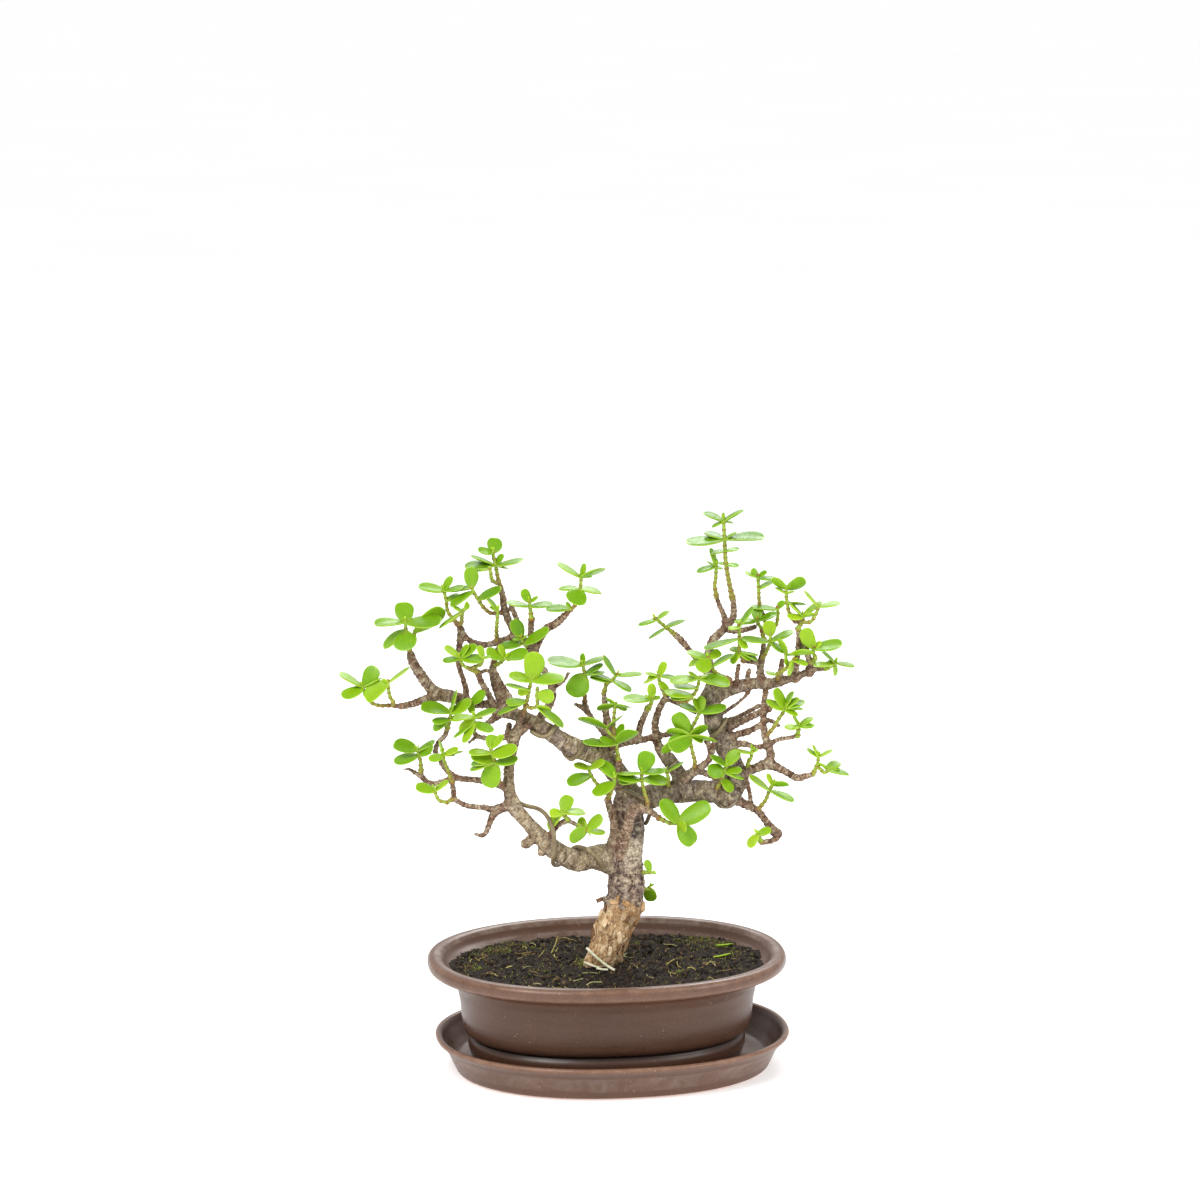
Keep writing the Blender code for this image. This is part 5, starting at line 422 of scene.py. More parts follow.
        [[(22.6, 170, -2), (21.2, 172.5, -3), (20.5, 175, -4), (20.2, 178, -5)], [(25, 169.5, -6),
         (28.5, 166.2, -8), (32.5, 166, -9), (35.5, 168.7, -10), (37.2, 172, -11), (38.2, 177, -11)]],
        [(0, 3, 23, 183.6, -7, 3.8), (0, 3, 14, 178.8, 6.5, 1.2), (0, 3, 15, 176, -5.5, 2.7),
         (0, 3, 13.3, 174.2, 7.5, 1.1), (0, 3, 28, 177, -8, 1.1), (0, 2, 24, 170.7, 6.5, 3),
         (1, 5, 33.3, 179.3, 5.5, 1.8), (1, 5, 41.7, 178, -4.5, 1.6), (1, 5, 25.3, 174.8, 13.5, 3.3),
         (1, 5, 51.7, 174, 13.5, 5), (1, 4, 27, 173, 10.5, 2.6), (1, 3, 23.3, 170.3, 13.5, 2.2),
         (1, 3, 25.5, 167.7, 10.5, 2.6)],
    ),
    "shoot_mid_06": (
        None,
        [[(15.4, 163, -6), (17, 165, -7), (17.7, 167.7, -7)]],
        [(0, 2, 5, 167, 13.5, 4.5), (0, 2, 20.9, 168.2, -4, 1.8), (0, 2, 17, 174, -6, 4.2),
         (0, 2, 14.3, 168.6, 3.8, 1.4)],
    ),
    "shoot_mid_07": (
        None,
        [[(25.5, 197.3, 21), (23.5, 199, 20), (21, 201, 19), (18.7, 203, 18)]],
        [(0, 1, 31.5, 202.8, -9.7, 1.5), (0, 1, 15.5, 194.2, 9.5, 1.5), (0, 3, 11, 200.5, 8.5, 1.8),
         (0, 3, 24.7, 206.6, -7, 2)],
    ),
    "shoot_mid_08": (
        None,
        [[(-1.8, 123.3, -6), (-0.3, 126, -9), (0.9, 129.5, -12), (1, 132, -13)], [(-3, 124.5, -6),
         (-4.7, 126.3, -5), (-7.3, 129, -4), (-9.5, 132.5, -4), (-10.8, 136.5, -5)]],
        [(0, 2, -8.6, 124, 12, 5), (0, 3, -5.2, 138.7, -10, 5), (1, 3, -19.8, 128.5, 12, 4.7),
         (1, 4, -17.2, 137.3, 7, 3), (1, 4, -0.8, 142.7, 12.5, 4.5), (1, 4, -4, 138.5, 7.5, 2.8)],
    ),
    "shoot_mid_09": (
        (15.5, 116.8),
        [[(15.6, 120, -9.5), (15, 122, -9), (13.7, 126.5, -9), (12.8, 130.5, -9), (13.1, 134.3, -9)]],
        [(0, 4, 16.2, 143.3, -10, 8), (0, 4, 2.5, 133.7, 11, 1.2), (0, 4, 23, 134.5, 10.5, 1),
         (0, 3, 24.2, 130, 11, 4.3), (0, 3, 2.3, 131.5, 11, 2.7), (0, 3, 3, 129.3, 10.5, 1.6)],
    ),
    "shoot_mid_10": (
        (24.5, 124.3),
        [[(24.5, 131.5, -3), (23.6, 134.8, -3)]],
        [(0, 1, 15.3, 135.8, 8.8, 1.1), (0, 1, 31, 138.6, 9, 1.1)],
    ),
    "shoot_mid_11": (
        None,
        [[(22.4, 111.9, -9), (25, 110.8, -9.5), (28, 110.7, -10), (30, 111, -10)]],
        [(0, 3, 21.5, 121.3, 12.5, 7), (0, 3, 43.3, 119, -13, 8.3), (0, 3, 33, 107.8, 7.5, 4),
         (0, 3, 36, 101, 12, 7.8)],
    ),
    "shoot_top_01": (
        None,
        [[(52, 214.5, 19), (51.3, 217, 19), (50.5, 221, 19), (49.5, 227, 19), (49, 233, 19), (48.8, 238, 19),
         (48.5, 243, 19), (48.3, 247, 19)]],
        [(0, 7, 39.5, 250, 9.5, 2), (0, 7, 57, 251.5, 10, 2), (0, 7, 43, 243.8, 5.5, 1.5),
         (0, 7, 52.5, 245.6, -4.5, 1), (0, 7, 48, 250, 3, 1.2), (0, 5, 32, 237.5, 17, 3),
         (0, 5, 66, 239.3, 17.5, 3), (0, 5, 40, 241.5, -10, 2), (0, 5, 54, 241.5, -6, 1.5),
         (0, 4, 55, 234, 6.5, 1.8), (0, 4, 42.5, 232, 6.5, 1.8), (0, 3, 55, 226.3, 6, 2),
         (0, 3, 46, 228, -4, 1.5)],
    ),
    "shoot_top_02": (
        None,
        [[(45, 214.8, 21), (44.6, 217, 21), (45, 221, 21), (45.2, 227, 21)]],
        [(0, 3, 43, 234.5, -7, 2.5), (0, 3, 36.5, 224, 8.5, 2.8), (0, 3, 47.8, 225, 4, 1.5),
         (0, 3, 41, 228.5, 4.5, 1)],
    ),
    "shoot_right_01": (
        None,
        [[(55.4, 184.5, -2.5), (55.8, 188, -4), (55.6, 194, -5), (55.3, 200, -5)]],
        [(0, 3, 61.3, 208.4, -9, 1.3), (0, 3, 51.3, 198.3, 6.5, 2), (0, 2, 39.8, 190.2, 16.5, 2.2),
         (0, 2, 58.7, 189.6, 6.5, 3.3), (0, 1, 51.7, 190.2, -6, 3), (0, 1, 52.2, 182.8, 6.5, 3),
         (0, 1, 64, 186.8, 8.5, 1.3), (0, 1, 63.8, 184.5, -8.5, 1.6), (0, 1, 60.5, 184.5, 6, 2.2)],
    ),
    "shoot_right_02": (
        None,
        [[(66.6, 196, 5.5), (65.2, 198.5, 5), (63.8, 200.5, 5), (63.4, 203, 5)], [(67, 199, 8),
         (66, 204, 10), (64.3, 209.5, 10), (63.8, 216, 10), (63.5, 222, 10)], [(68.5, 198, 8),
         (71.3, 199.5, 10), (72.3, 203.5, 10), (72.2, 208, 10)]],
        [(0, 3, 63.3, 208.2, -6.5, 5), (0, 3, 71.6, 205, 9.5, 2.6), (0, 3, 53.4, 201.8, 10.5, 2.2),
         (1, 4, 57.8, 223.6, 6.5, 1.5), (1, 4, 61, 225.2, -4.5, 3), (1, 4, 67.2, 224.2, -4.5, 2),
         (1, 4, 71, 221.2, 8, 1.6), (1, 3, 70.5, 219.8, -7.5, 1.8), (2, 3, 60.6, 208.4, 12.3, 3),
         (2, 3, 75.2, 211, -5.5, 3)],
    ),
    "shoot_right_03": (
        None,
        [[(81.8, 201, -10.8), (83, 202.3, -11), (83.5, 204.3, -11)], [(80.5, 201.5, -10), (78.8, 202.7, -8),
         (77.3, 205.5, -6), (76.4, 209.5, -5), (75.9, 214, -5), (75.9, 217, -5)], [(84, 201.3, -12),
         (86.6, 201.5, -13), (88.8, 204.5, -14), (90.2, 209, -14)]],
        [(0, 2, 76.8, 211, -10, 1.3), (0, 2, 91.5, 210.8, -11, 1.3), (0, 2, 76.5, 204.2, 7.5, 2.3),
         (0, 2, 89.4, 205.3, 7, 2.4), (1, 5, 69.5, 221, 8, 2.8), (1, 5, 84.2, 220.5, -9.3, 4.5),
         (1, 4, 71, 217, -6, 1.2), (1, 4, 79.6, 215.2, 4.2, 1), (1, 3, 84.6, 209.8, 9, 1.3),
         (2, 3, 84, 215.6, -9, 1.3), (2, 3, 99.5, 210, 10, 1.8)],
    ),
    "shoot_right_04": (
        (65.5, 185),
        [[(66.8, 187, 0), (67.8, 189, -1), (69, 192.7, -3), (69.2, 195.8, -3)]],
        [(0, 3, 68, 202, -6.5, 6.3), (0, 2, 79.1, 197.8, -11, 2), (0, 2, 56.8, 194.2, 13, 3),
         (0, 2, 76.2, 188, 9, 2.3)],
    ),
    "shoot_right_05": (
        (86.3, 183.5),
        [[(87.6, 185.3, -7), (88.1, 187.5, -8), (88.2, 190.3, -9)]],
        [(0, 2, 83.6, 198.2, -9, 6.6), (0, 2, 100.6, 192, 13, 4.2), (0, 2, 91.6, 192.7, -4.5, 2.3),
         (0, 1, 78.4, 188.5, 10, 3.2)],
    ),
    "shoot_right_06": (
        None,
        [[(95.5, 181, -3), (96.8, 182.3, -3), (97.6, 183.6, -3)]],
        [(0, 2, 91.7, 189, -8.3, 1.3), (0, 2, 106.4, 181.6, 9.3, 1.1), (0, 1, 97.9, 177.2, 5.5, 2.2),
         (0, 1, 93.9, 184.2, -4, 1.4), (0, 0, 88.4, 182.4, 7.5, 2.2)],
    ),
    "shoot_right_07": (
        (72.5, 174.8),
        [[(72.5, 178, -4), (74.7, 179.5, -6), (77.2, 182, -9), (79.6, 184.9, -11)], [(76.2, 184, -8),
         (76.1, 187.5, -7)]],
        [(0, 3, 77.3, 177.4, 7.5, 2.8), (0, 3, 85.6, 182.3, 7, 1.8), (0, 2, 75.7, 184.6, 4, 2.4),
         (1, 1, 73.3, 194.4, -9, 1.3), (1, 1, 80, 187.2, 4.2, 1), (0, 0, 67.3, 179, 6, 1.8)],
    ),
    "shoot_right_08": (
        (52, 172),
        [[(51.5, 176, -2), (48.5, 177, -4), (45.6, 178.6, -7), (43.4, 181.3, -9), (41.9, 185.8, -10)]],
        [(0, 4, 38.3, 179.5, 10.5, 7), (0, 4, 32.6, 188.4, 9.3, 3.7), (0, 4, 33, 182.3, -10, 3),
         (0, 4, 47.2, 188.5, -6.5, 4), (0, 3, 53, 187, 10.5, 1.5)],
    ),
    "shoot_right_09": (
        (36.8, 135),
        [[(36.3, 138.5, -6), (35.2, 143, -7), (34.4, 147.5, -7), (34.1, 151, -6)], [(34.6, 153.5, -5),
         (35.9, 156, -5), (37.3, 158.8, -5), (38.6, 161.8, -5)]],
        [(0, 3, 27.5, 160.7, -10, 7.5), (0, 3, 23.7, 153, 10.8, 3.5), (0, 3, 41.6, 155.2, 9, 3.8),
         (0, 3, 25.5, 144.5, 12, 8.8), (0, 3, 21.4, 143.3, 14.5, 3.8), (0, 3, 46, 148.5, 12, 1.5),
         (0, 3, 39.8, 147.5, 6.5, 2.4), (1, 3, 39.2, 168.4, -6.8, 4), (1, 3, 50, 163.7, 12, 4.4),
         (1, 3, 35.6, 167.2, -6.5, 2.8), (1, 3, 29.6, 165, 9, 2)],
    ),
    "shoot_right_10": (
        (67.3, 150),
        [[(69.2, 151.8, -5), (71, 154.3, -6), (73.3, 158.3, -7), (75.3, 161.3, -8), (76, 163.2, -8)]],
        [(0, 4, 71.6, 171.7, -9.5, 4.2), (0, 4, 68, 165.7, 9.5, 4), (0, 4, 84.6, 166, 9.3, 3),
         (0, 4, 84, 162.9, -9, 1.6), (0, 4, 79.3, 170.5, -9, 2.2), (0, 4, 82, 167.5, -7, 1.8),
         (0, 4, 81.5, 159.6, 7, 2)],
    ),
    "shoot_right_11": (
        None,
        [[(82, 152.5, -7), (82.1, 155.3, -7)]],
        [(0, 1, 79.5, 160.6, -6.5, 1.8), (0, 1, 88, 159, -7.5, 1.8), (0, 1, 89, 155, 7.5, 2.2),
         (0, 1, 76.1, 154, 7.5, 2.8)],
    ),
    "shoot_right_12": (
        None,
        [[(89.4, 134.8, -9), (90.3, 137.5, -9), (90.7, 141.5, -9)], [(91, 133.8, -9), (92, 133, -9),
         (93.5, 133.6, -9), (95.3, 135.3, -9)]],
        [(0, 2, 85.7, 144.8, 6, 1.1), (0, 2, 88.3, 146.5, -5, 1), (0, 2, 97, 144.2, 6.8, 1.2),
         (0, 2, 93.7, 142.2, -3.3, 1), (0, 1, 93.6, 136.9, 4.3, 1.6), (1, 3, 104.6, 133, 9.6, 2.2),
         (1, 3, 99.6, 139, -8.5, 4.5), (1, 3, 100, 136.2, -6.5, 1.6), (1, 3, 92.8, 137.8, -4, 1.6)],
    ),
    "shoot_right_13": (
        None,
        [[(65.2, 119, -5), (66.8, 120, -6), (68.2, 122.5, -7), (69.3, 125.7, -8), (71, 128.7, -8)]],
        [(0, 3, 60.8, 131.8, 11.5, 2.2), (0, 3, 80.2, 121, 12.5, 2), (0, 4, 68.4, 133.2, -5.5, 2.6),
         (0, 4, 78, 128.7, 8, 2.9)],
    ),
    "shoot_right_14": (
        None,
        [[(64.6, 104.3, -7), (64.3, 105.8, -7.5)]],
        [(0, 1, 60.3, 99.8, 7.5, 3.8), (0, 1, 70, 108.3, -6.5, 3.8), (0, 1, 63.9, 107.5, -3.2, 1.6)],
    ),
    "shoot_right_15": (
        (46, 125),
        [[(46.8, 127.8, -7), (48.2, 130.8, -8), (49.4, 134.2, -9), (50.3, 137.8, -9)]],
        [(0, 2, 42, 134.6, 8.5, 6.8), (0, 2, 57, 135, 7.8, 2.5), (0, 2, 58, 131.1, 9.5, 2),
         (0, 3, 43.4, 141, 8.5, 3.2), (0, 3, 55.7, 143.8, 8.2, 5), (0, 1, 53.2, 125.4, 7, 4.2)],
    ),
    "shoot_right_16": (
        (59.5, 134.4),
        [[(60, 137.5, -6), (60.8, 140, -7), (61.5, 143.5, -7)]],
        [(0, 2, 55, 143.8, 7.2, 1), (0, 2, 64.2, 144.3, 3.2, 1), (0, 2, 61.3, 147, -3.5, 1.2)],
    ),
    "shoot_trunk_01": (
        None,
        [[(15.3, 88.3, -3), (15.6, 89.2, -3.3)]],
        [(0, 1, 14.9, 94, 5.4, 3.3)],
    ),
    "shoot_trunk_02": (
        None,
        [[(15.5, 80.7, 5), (16.6, 82, 5.5)]],
        [(0, 1, 16.9, 75.3, -7.2, 6)],
    ),
}

# Stem radii at both ends
STEM_RADII = {"shoot_top_01": (1.15, 0.75)}
STEM_RADIUS = (0.95, 0.75)

# Wires, the dark wire behind the trunk, and the tie: across, height and depth
WIRES = {
    "wire_left_low": [(-43, 121, -7), (-38, 118.3, -8), (-33, 117.8, -12), (-29.5, 115, -15),
        (-27.3, 111, -18.5), (-26, 106, -19.6), (-25.8, 100, -19.6), (-26.3, 95, -18), (-26.5, 92.5, -13.5),
        (-24.5, 91.2, -8), (-21.5, 93.5, -4.5), (-19, 98, -5.5), (-16, 99.9, -9), (-12, 99.4, -13),
        (-8.5, 97, -15), (-5.5, 93, -13), (-4.5, 90, -10)],
    "wire_left_high": [(-8, 147.5, -1), (-10.5, 148.5, -5), (-13, 146, -9.5), (-16, 141.5, -10),
        (-20, 140.5, -5), (-23, 145.5, -1), (-24.5, 151, -2.5), (-26, 153.5, -7.5), (-27.5, 150.5, -12),
        (-31, 149.3, -11), (-33.5, 150.5, -10.5), (-36, 152.5, -9)],
    "wire_riser": [(43, 145, 7), (42, 148.5, 0), (44.5, 150.3, -4), (47.3, 152.8, -4.6), (49, 155.5, -3.6),
        (50, 158.2, -1.5)],
}
DARK_WIRE = [(4, 126.5, -6.5), (8.8, 124.3, -8.2), (12.5, 122.6, -8.5), (15.7, 120.6, -8), (17, 117.6, -6.4),
    (16.4, 114.4, -4), (15.2, 111.6, -1.5), (13.2, 109.8, 1)]
TIE = [(-11.5, 53.5, -6.5), (-9, 51, -8.3), (-7, 49.2, -9.2), (-4, 46.5, -11), (-1.5, 44.6, -13),
    (0.8, 43.4, -14.3)]
TIE_ENDS = [
    [(-12.5, 47, -9), (-9.5, 45.5, -11), (-6, 44.6, -13)],
    [(-7, 44.2, -14), (-4.5, 43.4, -15), (-2.2, 43.6, -15)],
]

# Ways to bend a stem that would touch something
BENDS = [(0, 0, 0), (0, -2, 0), (0, 2, 0), (0, -4, 0), (0, 4, 0), (2, -2, 0), (-2, -2, 0), (0, -7, 0),
    (0, 7, 0), (2, 3, 0), (-2, 3, 0), (0, -10, 0), (0, 10, 0), (4, -5, 0), (-4, -5, 0)]

# Small knobs on the bark: across, height, depth, radius
BUMPS = [(-7.2, 63.5, 0, 1.5), (-3.6, 76, -4, 1.3), (13.2, 84, 0, 1.4), (12.5, 92, -3, 1.2), (0, 70, 6, 1.6),
    (4, 60, 7, 1.4), (10, 100, 5, 1.2), (-40, 111, -15, 1.1), (-18, 92, -13, 1.3), (-24, 95, -14, 1.2),
    (-12, 97.5, -10, 1.2)]

# Curling bark flakes: across, height, depth, way, half width, half height, curl, tone, tilt
FLAKES = [(-4.6, 76.2, -4, 1, 1.7, 1, 1.3, 3, 0.5), (12.6, 72.5, -3, -1, 0.9, 2.2, 0.5, 0, -0.1),
    (11.5, 66, -3, -1, 0.8, 2.2, 0.5, 1, -0.2), (-8, 60, -2, 1, 1.1, 2.6, 0.7, 3, 0.1),
    (0, 75, -8, 1, 2, 1, 0.4, 0, 0.2), (6, 74, -9, 1, 1.8, 1.2, 0.35, 1, -0.2),
    (-4, 66, -7, 1, 1, 3, 0.5, 2, 0), (3, 58, -8, -1, 1, 2.8, 0.4, 2, 0.2)]

# Longer straws on the soil: across and height of both ends, depth, radius
STRAWS = [(-27.2, 51.5, -24.6, 58.6, 8, 0.28), (-33, 49.5, -30.5, 52.5, 10, 0.2),
    (24, 46, 27.5, 48.5, -8, 0.22), (33.5, 44.5, 37, 43.5, -16, 0.2), (-48, 44, -45, 45.2, -6, 0.3)]

# Patches of moss: x, y, size, share
MOSS_SPOTS = [(-12.5, -4, 5, 0.9), (-9, -9, 4, 0.5), (5, -2, 3.5, 0.7), (-46, 27, 7, 0.75),
    (-36, 34, 8, 0.6), (-56, 16, 6, 0.5), (46, 32, 9, 0.75), (54, 22, 7, 0.6), (-28, -14, 5, 0.25),
    (30, -22, 6, 0.3), (-60, -2, 6, 0.45), (38, -6, 5, 0.2), (-18, 20, 6, 0.25), (14, 26, 7, 0.25),
    (60, 4, 6, 0.4)]

# Dropped leaves: shift from the solid in mm, turn, length, tint
FALLEN = [((0.0, 0.0, 0.1), -0.35, 7.0, 0.95), ((-3.5, -14.5, 0.1), 0.05, 8.0, 1.0)]

TURN = Matrix.Rotation(TREE_TURN, 3, "Z")
BACK = TURN.transposed()
BOX_LOW = np.array(cad_box[0]) + 0.02 * MM
BOX_HIGH = np.array(cad_box[1]) - 0.02 * MM
BOX_LOW[2] = 0.0
scene = bpy.context.scene
# Two seeded rows of draws: one keeps in step with the solids, one makes the fine detail
chance = random.Random(11)
fine = random.Random(29)


# Places, meshes and routes
def seen(spot):
    """Place a table point (x, depth, z) on its line of sight, in part metres."""
    share = 1.0 + (spot[1] + TREE_DEPTH) / (-EYE.y / MM)
    flat = Vector((spot[0] * MM, 0.0, spot[2] * MM))
    return TURN @ (EYE + (flat - EYE) * share)


def table(row):
    """A table row (across, height, depth) as a point (across, depth, height)."""
    return Vector((row[0], row[2], row[1]))


def mesh_object(name, spots, faces, values=None, colours=None):
    """A smooth mesh inside the solids' box, with its point values and paint."""
    spots = np.clip(np.array([tuple(p) for p in spots], float), BOX_LOW, BOX_HIGH)
    mesh = bpy.data.meshes.new(name)
    mesh.from_pydata(spots.tolist(), [], faces)
    dress(mesh, values, colours)
    obj = bpy.data.objects.new(name, mesh)
    scene.collection.objects.link(obj)
    return obj


def dress(mesh, values=None, colours=None):
    """Write point values and paint into a mesh and shade it smooth."""
    mesh.polygons.foreach_set("use_smooth", [True] * len(mesh.polygons))
    for key, data in (values or {}).items():
        layer = mesh.attributes.new(key, "FLOAT", "POINT")
        layer.data.foreach_set("value", np.asarray(data, np.float32))
    if colours is not None:
        layer = mesh.color_attributes.new("paint", "FLOAT_COLOR", "POINT")
        full = np.ones((len(mesh.vertices), 4), np.float32)
        full[:, :3] = colours
        layer.data.foreach_set("color", full.ravel())
    mesh.update()


def settle(obj, slot, mat, *replaced):
    """Give a finished piece its material, body and the solids it stands for; slot is not used."""
    obj.data.materials.clear()
    obj.data.materials.append(mat)
    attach(obj, "root")
    if replaced:
        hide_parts(*replaced)
    return obj


def piece(name, shapes, slot, mat, *replaced, values=None, colours=None):
    """One finished piece from several shapes."""
    spots, faces = join(shapes)
    if colours is not None:
        colours = np.array(colours)
    return settle(mesh_object(name, spots, faces, values, colours), slot, mat, *replaced)


def search_tree(obj):
    """What finds the nearest spot on a finished mesh."""
    obj.data.calc_loop_triangles()
    spots = [vertex.co.copy() for vertex in obj.data.vertices]
    faces = [tuple(tri.vertices) for tri in obj.data.loop_triangles]
    return BVHTree.FromPolygons(spots, faces, all_triangles=True)


def linear(r, g, b):
    """Linear colour from 0..255 screen values."""
    out = []
    for v in (r, g, b):
        v = v / 255.0
        out.append(v / 12.92 if v <= 0.04045 else ((v + 0.055) / 1.055) ** 2.4)
    return np.array(out)


def mixed(one, two, share):
    """Blend of two colours."""
    return one * (1 - share) + two * share


def bell(value, centre, width):
    """One at the centre, falling to nought on both sides."""
    return math.exp(-((value - centre) / width) ** 2)


def level(value, low, high):
    """Smooth rise from nought at low to one at high."""
    t = min(1.0, max(0.0, (value - low) / (high - low)))
    return t * t * (3 - 2 * t)


def flow(spots, radii, step):
    """Rounded route through spots, resampled about every step. Radii go along."""
    spots = np.array([tuple(p) for p in spots], float)
    radii = np.array(radii, float)
    count = len(spots)
    gaps = np.maximum(np.linalg.norm(np.diff(spots, axis=0), axis=1), 1e-6)
    if count == 2:
        n = max(2, int(math.ceil(gaps[0] / step)) + 1)
        t = np.linspace(0, 1, n)[:, None]
        return spots[0] * (1 - t) + spots[1] * t, radii[0] * (1 - t[:, 0]) + radii[1] * t[:, 0]
    slope = np.zeros_like(spots)
    rate = np.zeros(count)
    for i in range(1, count - 1):
        a, b = gaps[i - 1], gaps[i]
        slope[i] = ((spots[i + 1] - spots[i]) / b * a + (spots[i] - spots[i - 1]) / a * b) / (a + b)
        rate[i] = (radii[i + 1] - radii[i - 1]) / (a + b) * 0.7
    slope[0] = (spots[1] - spots[0]) / gaps[0] * 1.5 - slope[1] * 0.5
    slope[-1] = (spots[-1] - spots[-2]) / gaps[-1] * 1.5 - slope[-2] * 0.5
    made, wide = [], []
    for i in range(count - 1):
        n = max(1, int(math.ceil(gaps[i] / step)))
        for k in range(n):
            t = k / n
            h00, h10 = 2 * t**3 - 3 * t**2 + 1, t**3 - 2 * t**2 + t
            h01, h11 = -2 * t**3 + 3 * t**2, t**3 - t**2
            made.append(
                h00 * spots[i] + h10 * gaps[i] * slope[i] + h01 * spots[i + 1] + h11 * gaps[i] * slope[i + 1]
            )
            wide.append(
                h00 * radii[i] + h10 * gaps[i] * rate[i] + h01 * radii[i + 1] + h11 * gaps[i] * rate[i + 1]
            )
    made.append(spots[-1])
    wide.append(radii[-1])
    return np.array(made), np.array(wide)


def sweep(path, radii, sides, cap=(1.0, 1.0)):
    """Tube round a path with rounded ends. Gives vertices, faces and each vertex's place on the path."""
    path = np.asarray(path, float)
    radii = np.asarray(radii, float)
    runs = np.gradient(path, axis=0)
    runs /= np.maximum(np.linalg.norm(runs, axis=1), 1e-12)[:, None]
    first, last = [], []
    for share, lift in CAP_RINGS:
        first.insert(0, (path[0] - runs[0] * radii[0] * lift * cap[0], radii[0] * share, runs[0]))
        last.append((path[-1] + runs[-1] * radii[-1] * lift * cap[1], radii[-1] * share, runs[-1]))
    rows = first + list(zip(path, radii, runs)) + last
    normal = np.array(Vector(tuple(rows[0][2])).orthogonal().normalized())
    spots, faces, number = [], [], []
    for index, (spot, radius, run) in enumerate(rows):
        normal = normal - run * normal.dot(run)
        normal /= max(np.linalg.norm(normal), 1e-12)
        other = np.cross(run, normal)
        for k in range(sides):
            a = 2 * math.pi * k / sides
            spots.append(spot + (normal * math.cos(a) + other * math.sin(a)) * radius)
            number.append(min(max(index - len(first), 0), len(path) - 1))
        if index:
            base = (index - 1) * sides
            for k in range(sides):
                k2 = (k + 1) % sides
                faces.append((base + k, base + k2, base + sides + k2, base + sides + k))
    top = len(spots)
    spots.append(path[0] - runs[0] * radii[0] * cap[0])
    spots.append(path[-1] + runs[-1] * radii[-1] * cap[1])
    number += [0, len(path) - 1]
    end = (len(rows) - 1) * sides
    for k in range(sides):
        k2 = (k + 1) % sides
        faces.append((top, k2, k))
        faces.append((top + 1, end + k, end + k2))
    return spots, faces, number


def travelled(path):
    """Length along a path at each of its points, in mm."""
    return np.concatenate([[0], np.cumsum(np.linalg.norm(np.diff(path, axis=0), axis=1))]) / MM


def tube(spots, radii, step, sides, cap=(1.0, 1.0)):
    """Vertices and faces of a round tube through spots; radii and step are in mm."""
    path, radii = flow(spots, [radius * MM for radius in radii], step * MM)
    return sweep(path, radii, sides, cap)[:2]


def join(shapes):
    """Several (vertices, faces) as one list of vertices and faces."""
    spots, faces = [], []
    for more, these in shapes:
        start = len(spots)
        spots.extend(more)
        faces.extend([tuple(i + start for i in face) for face in these])
    return spots, faces


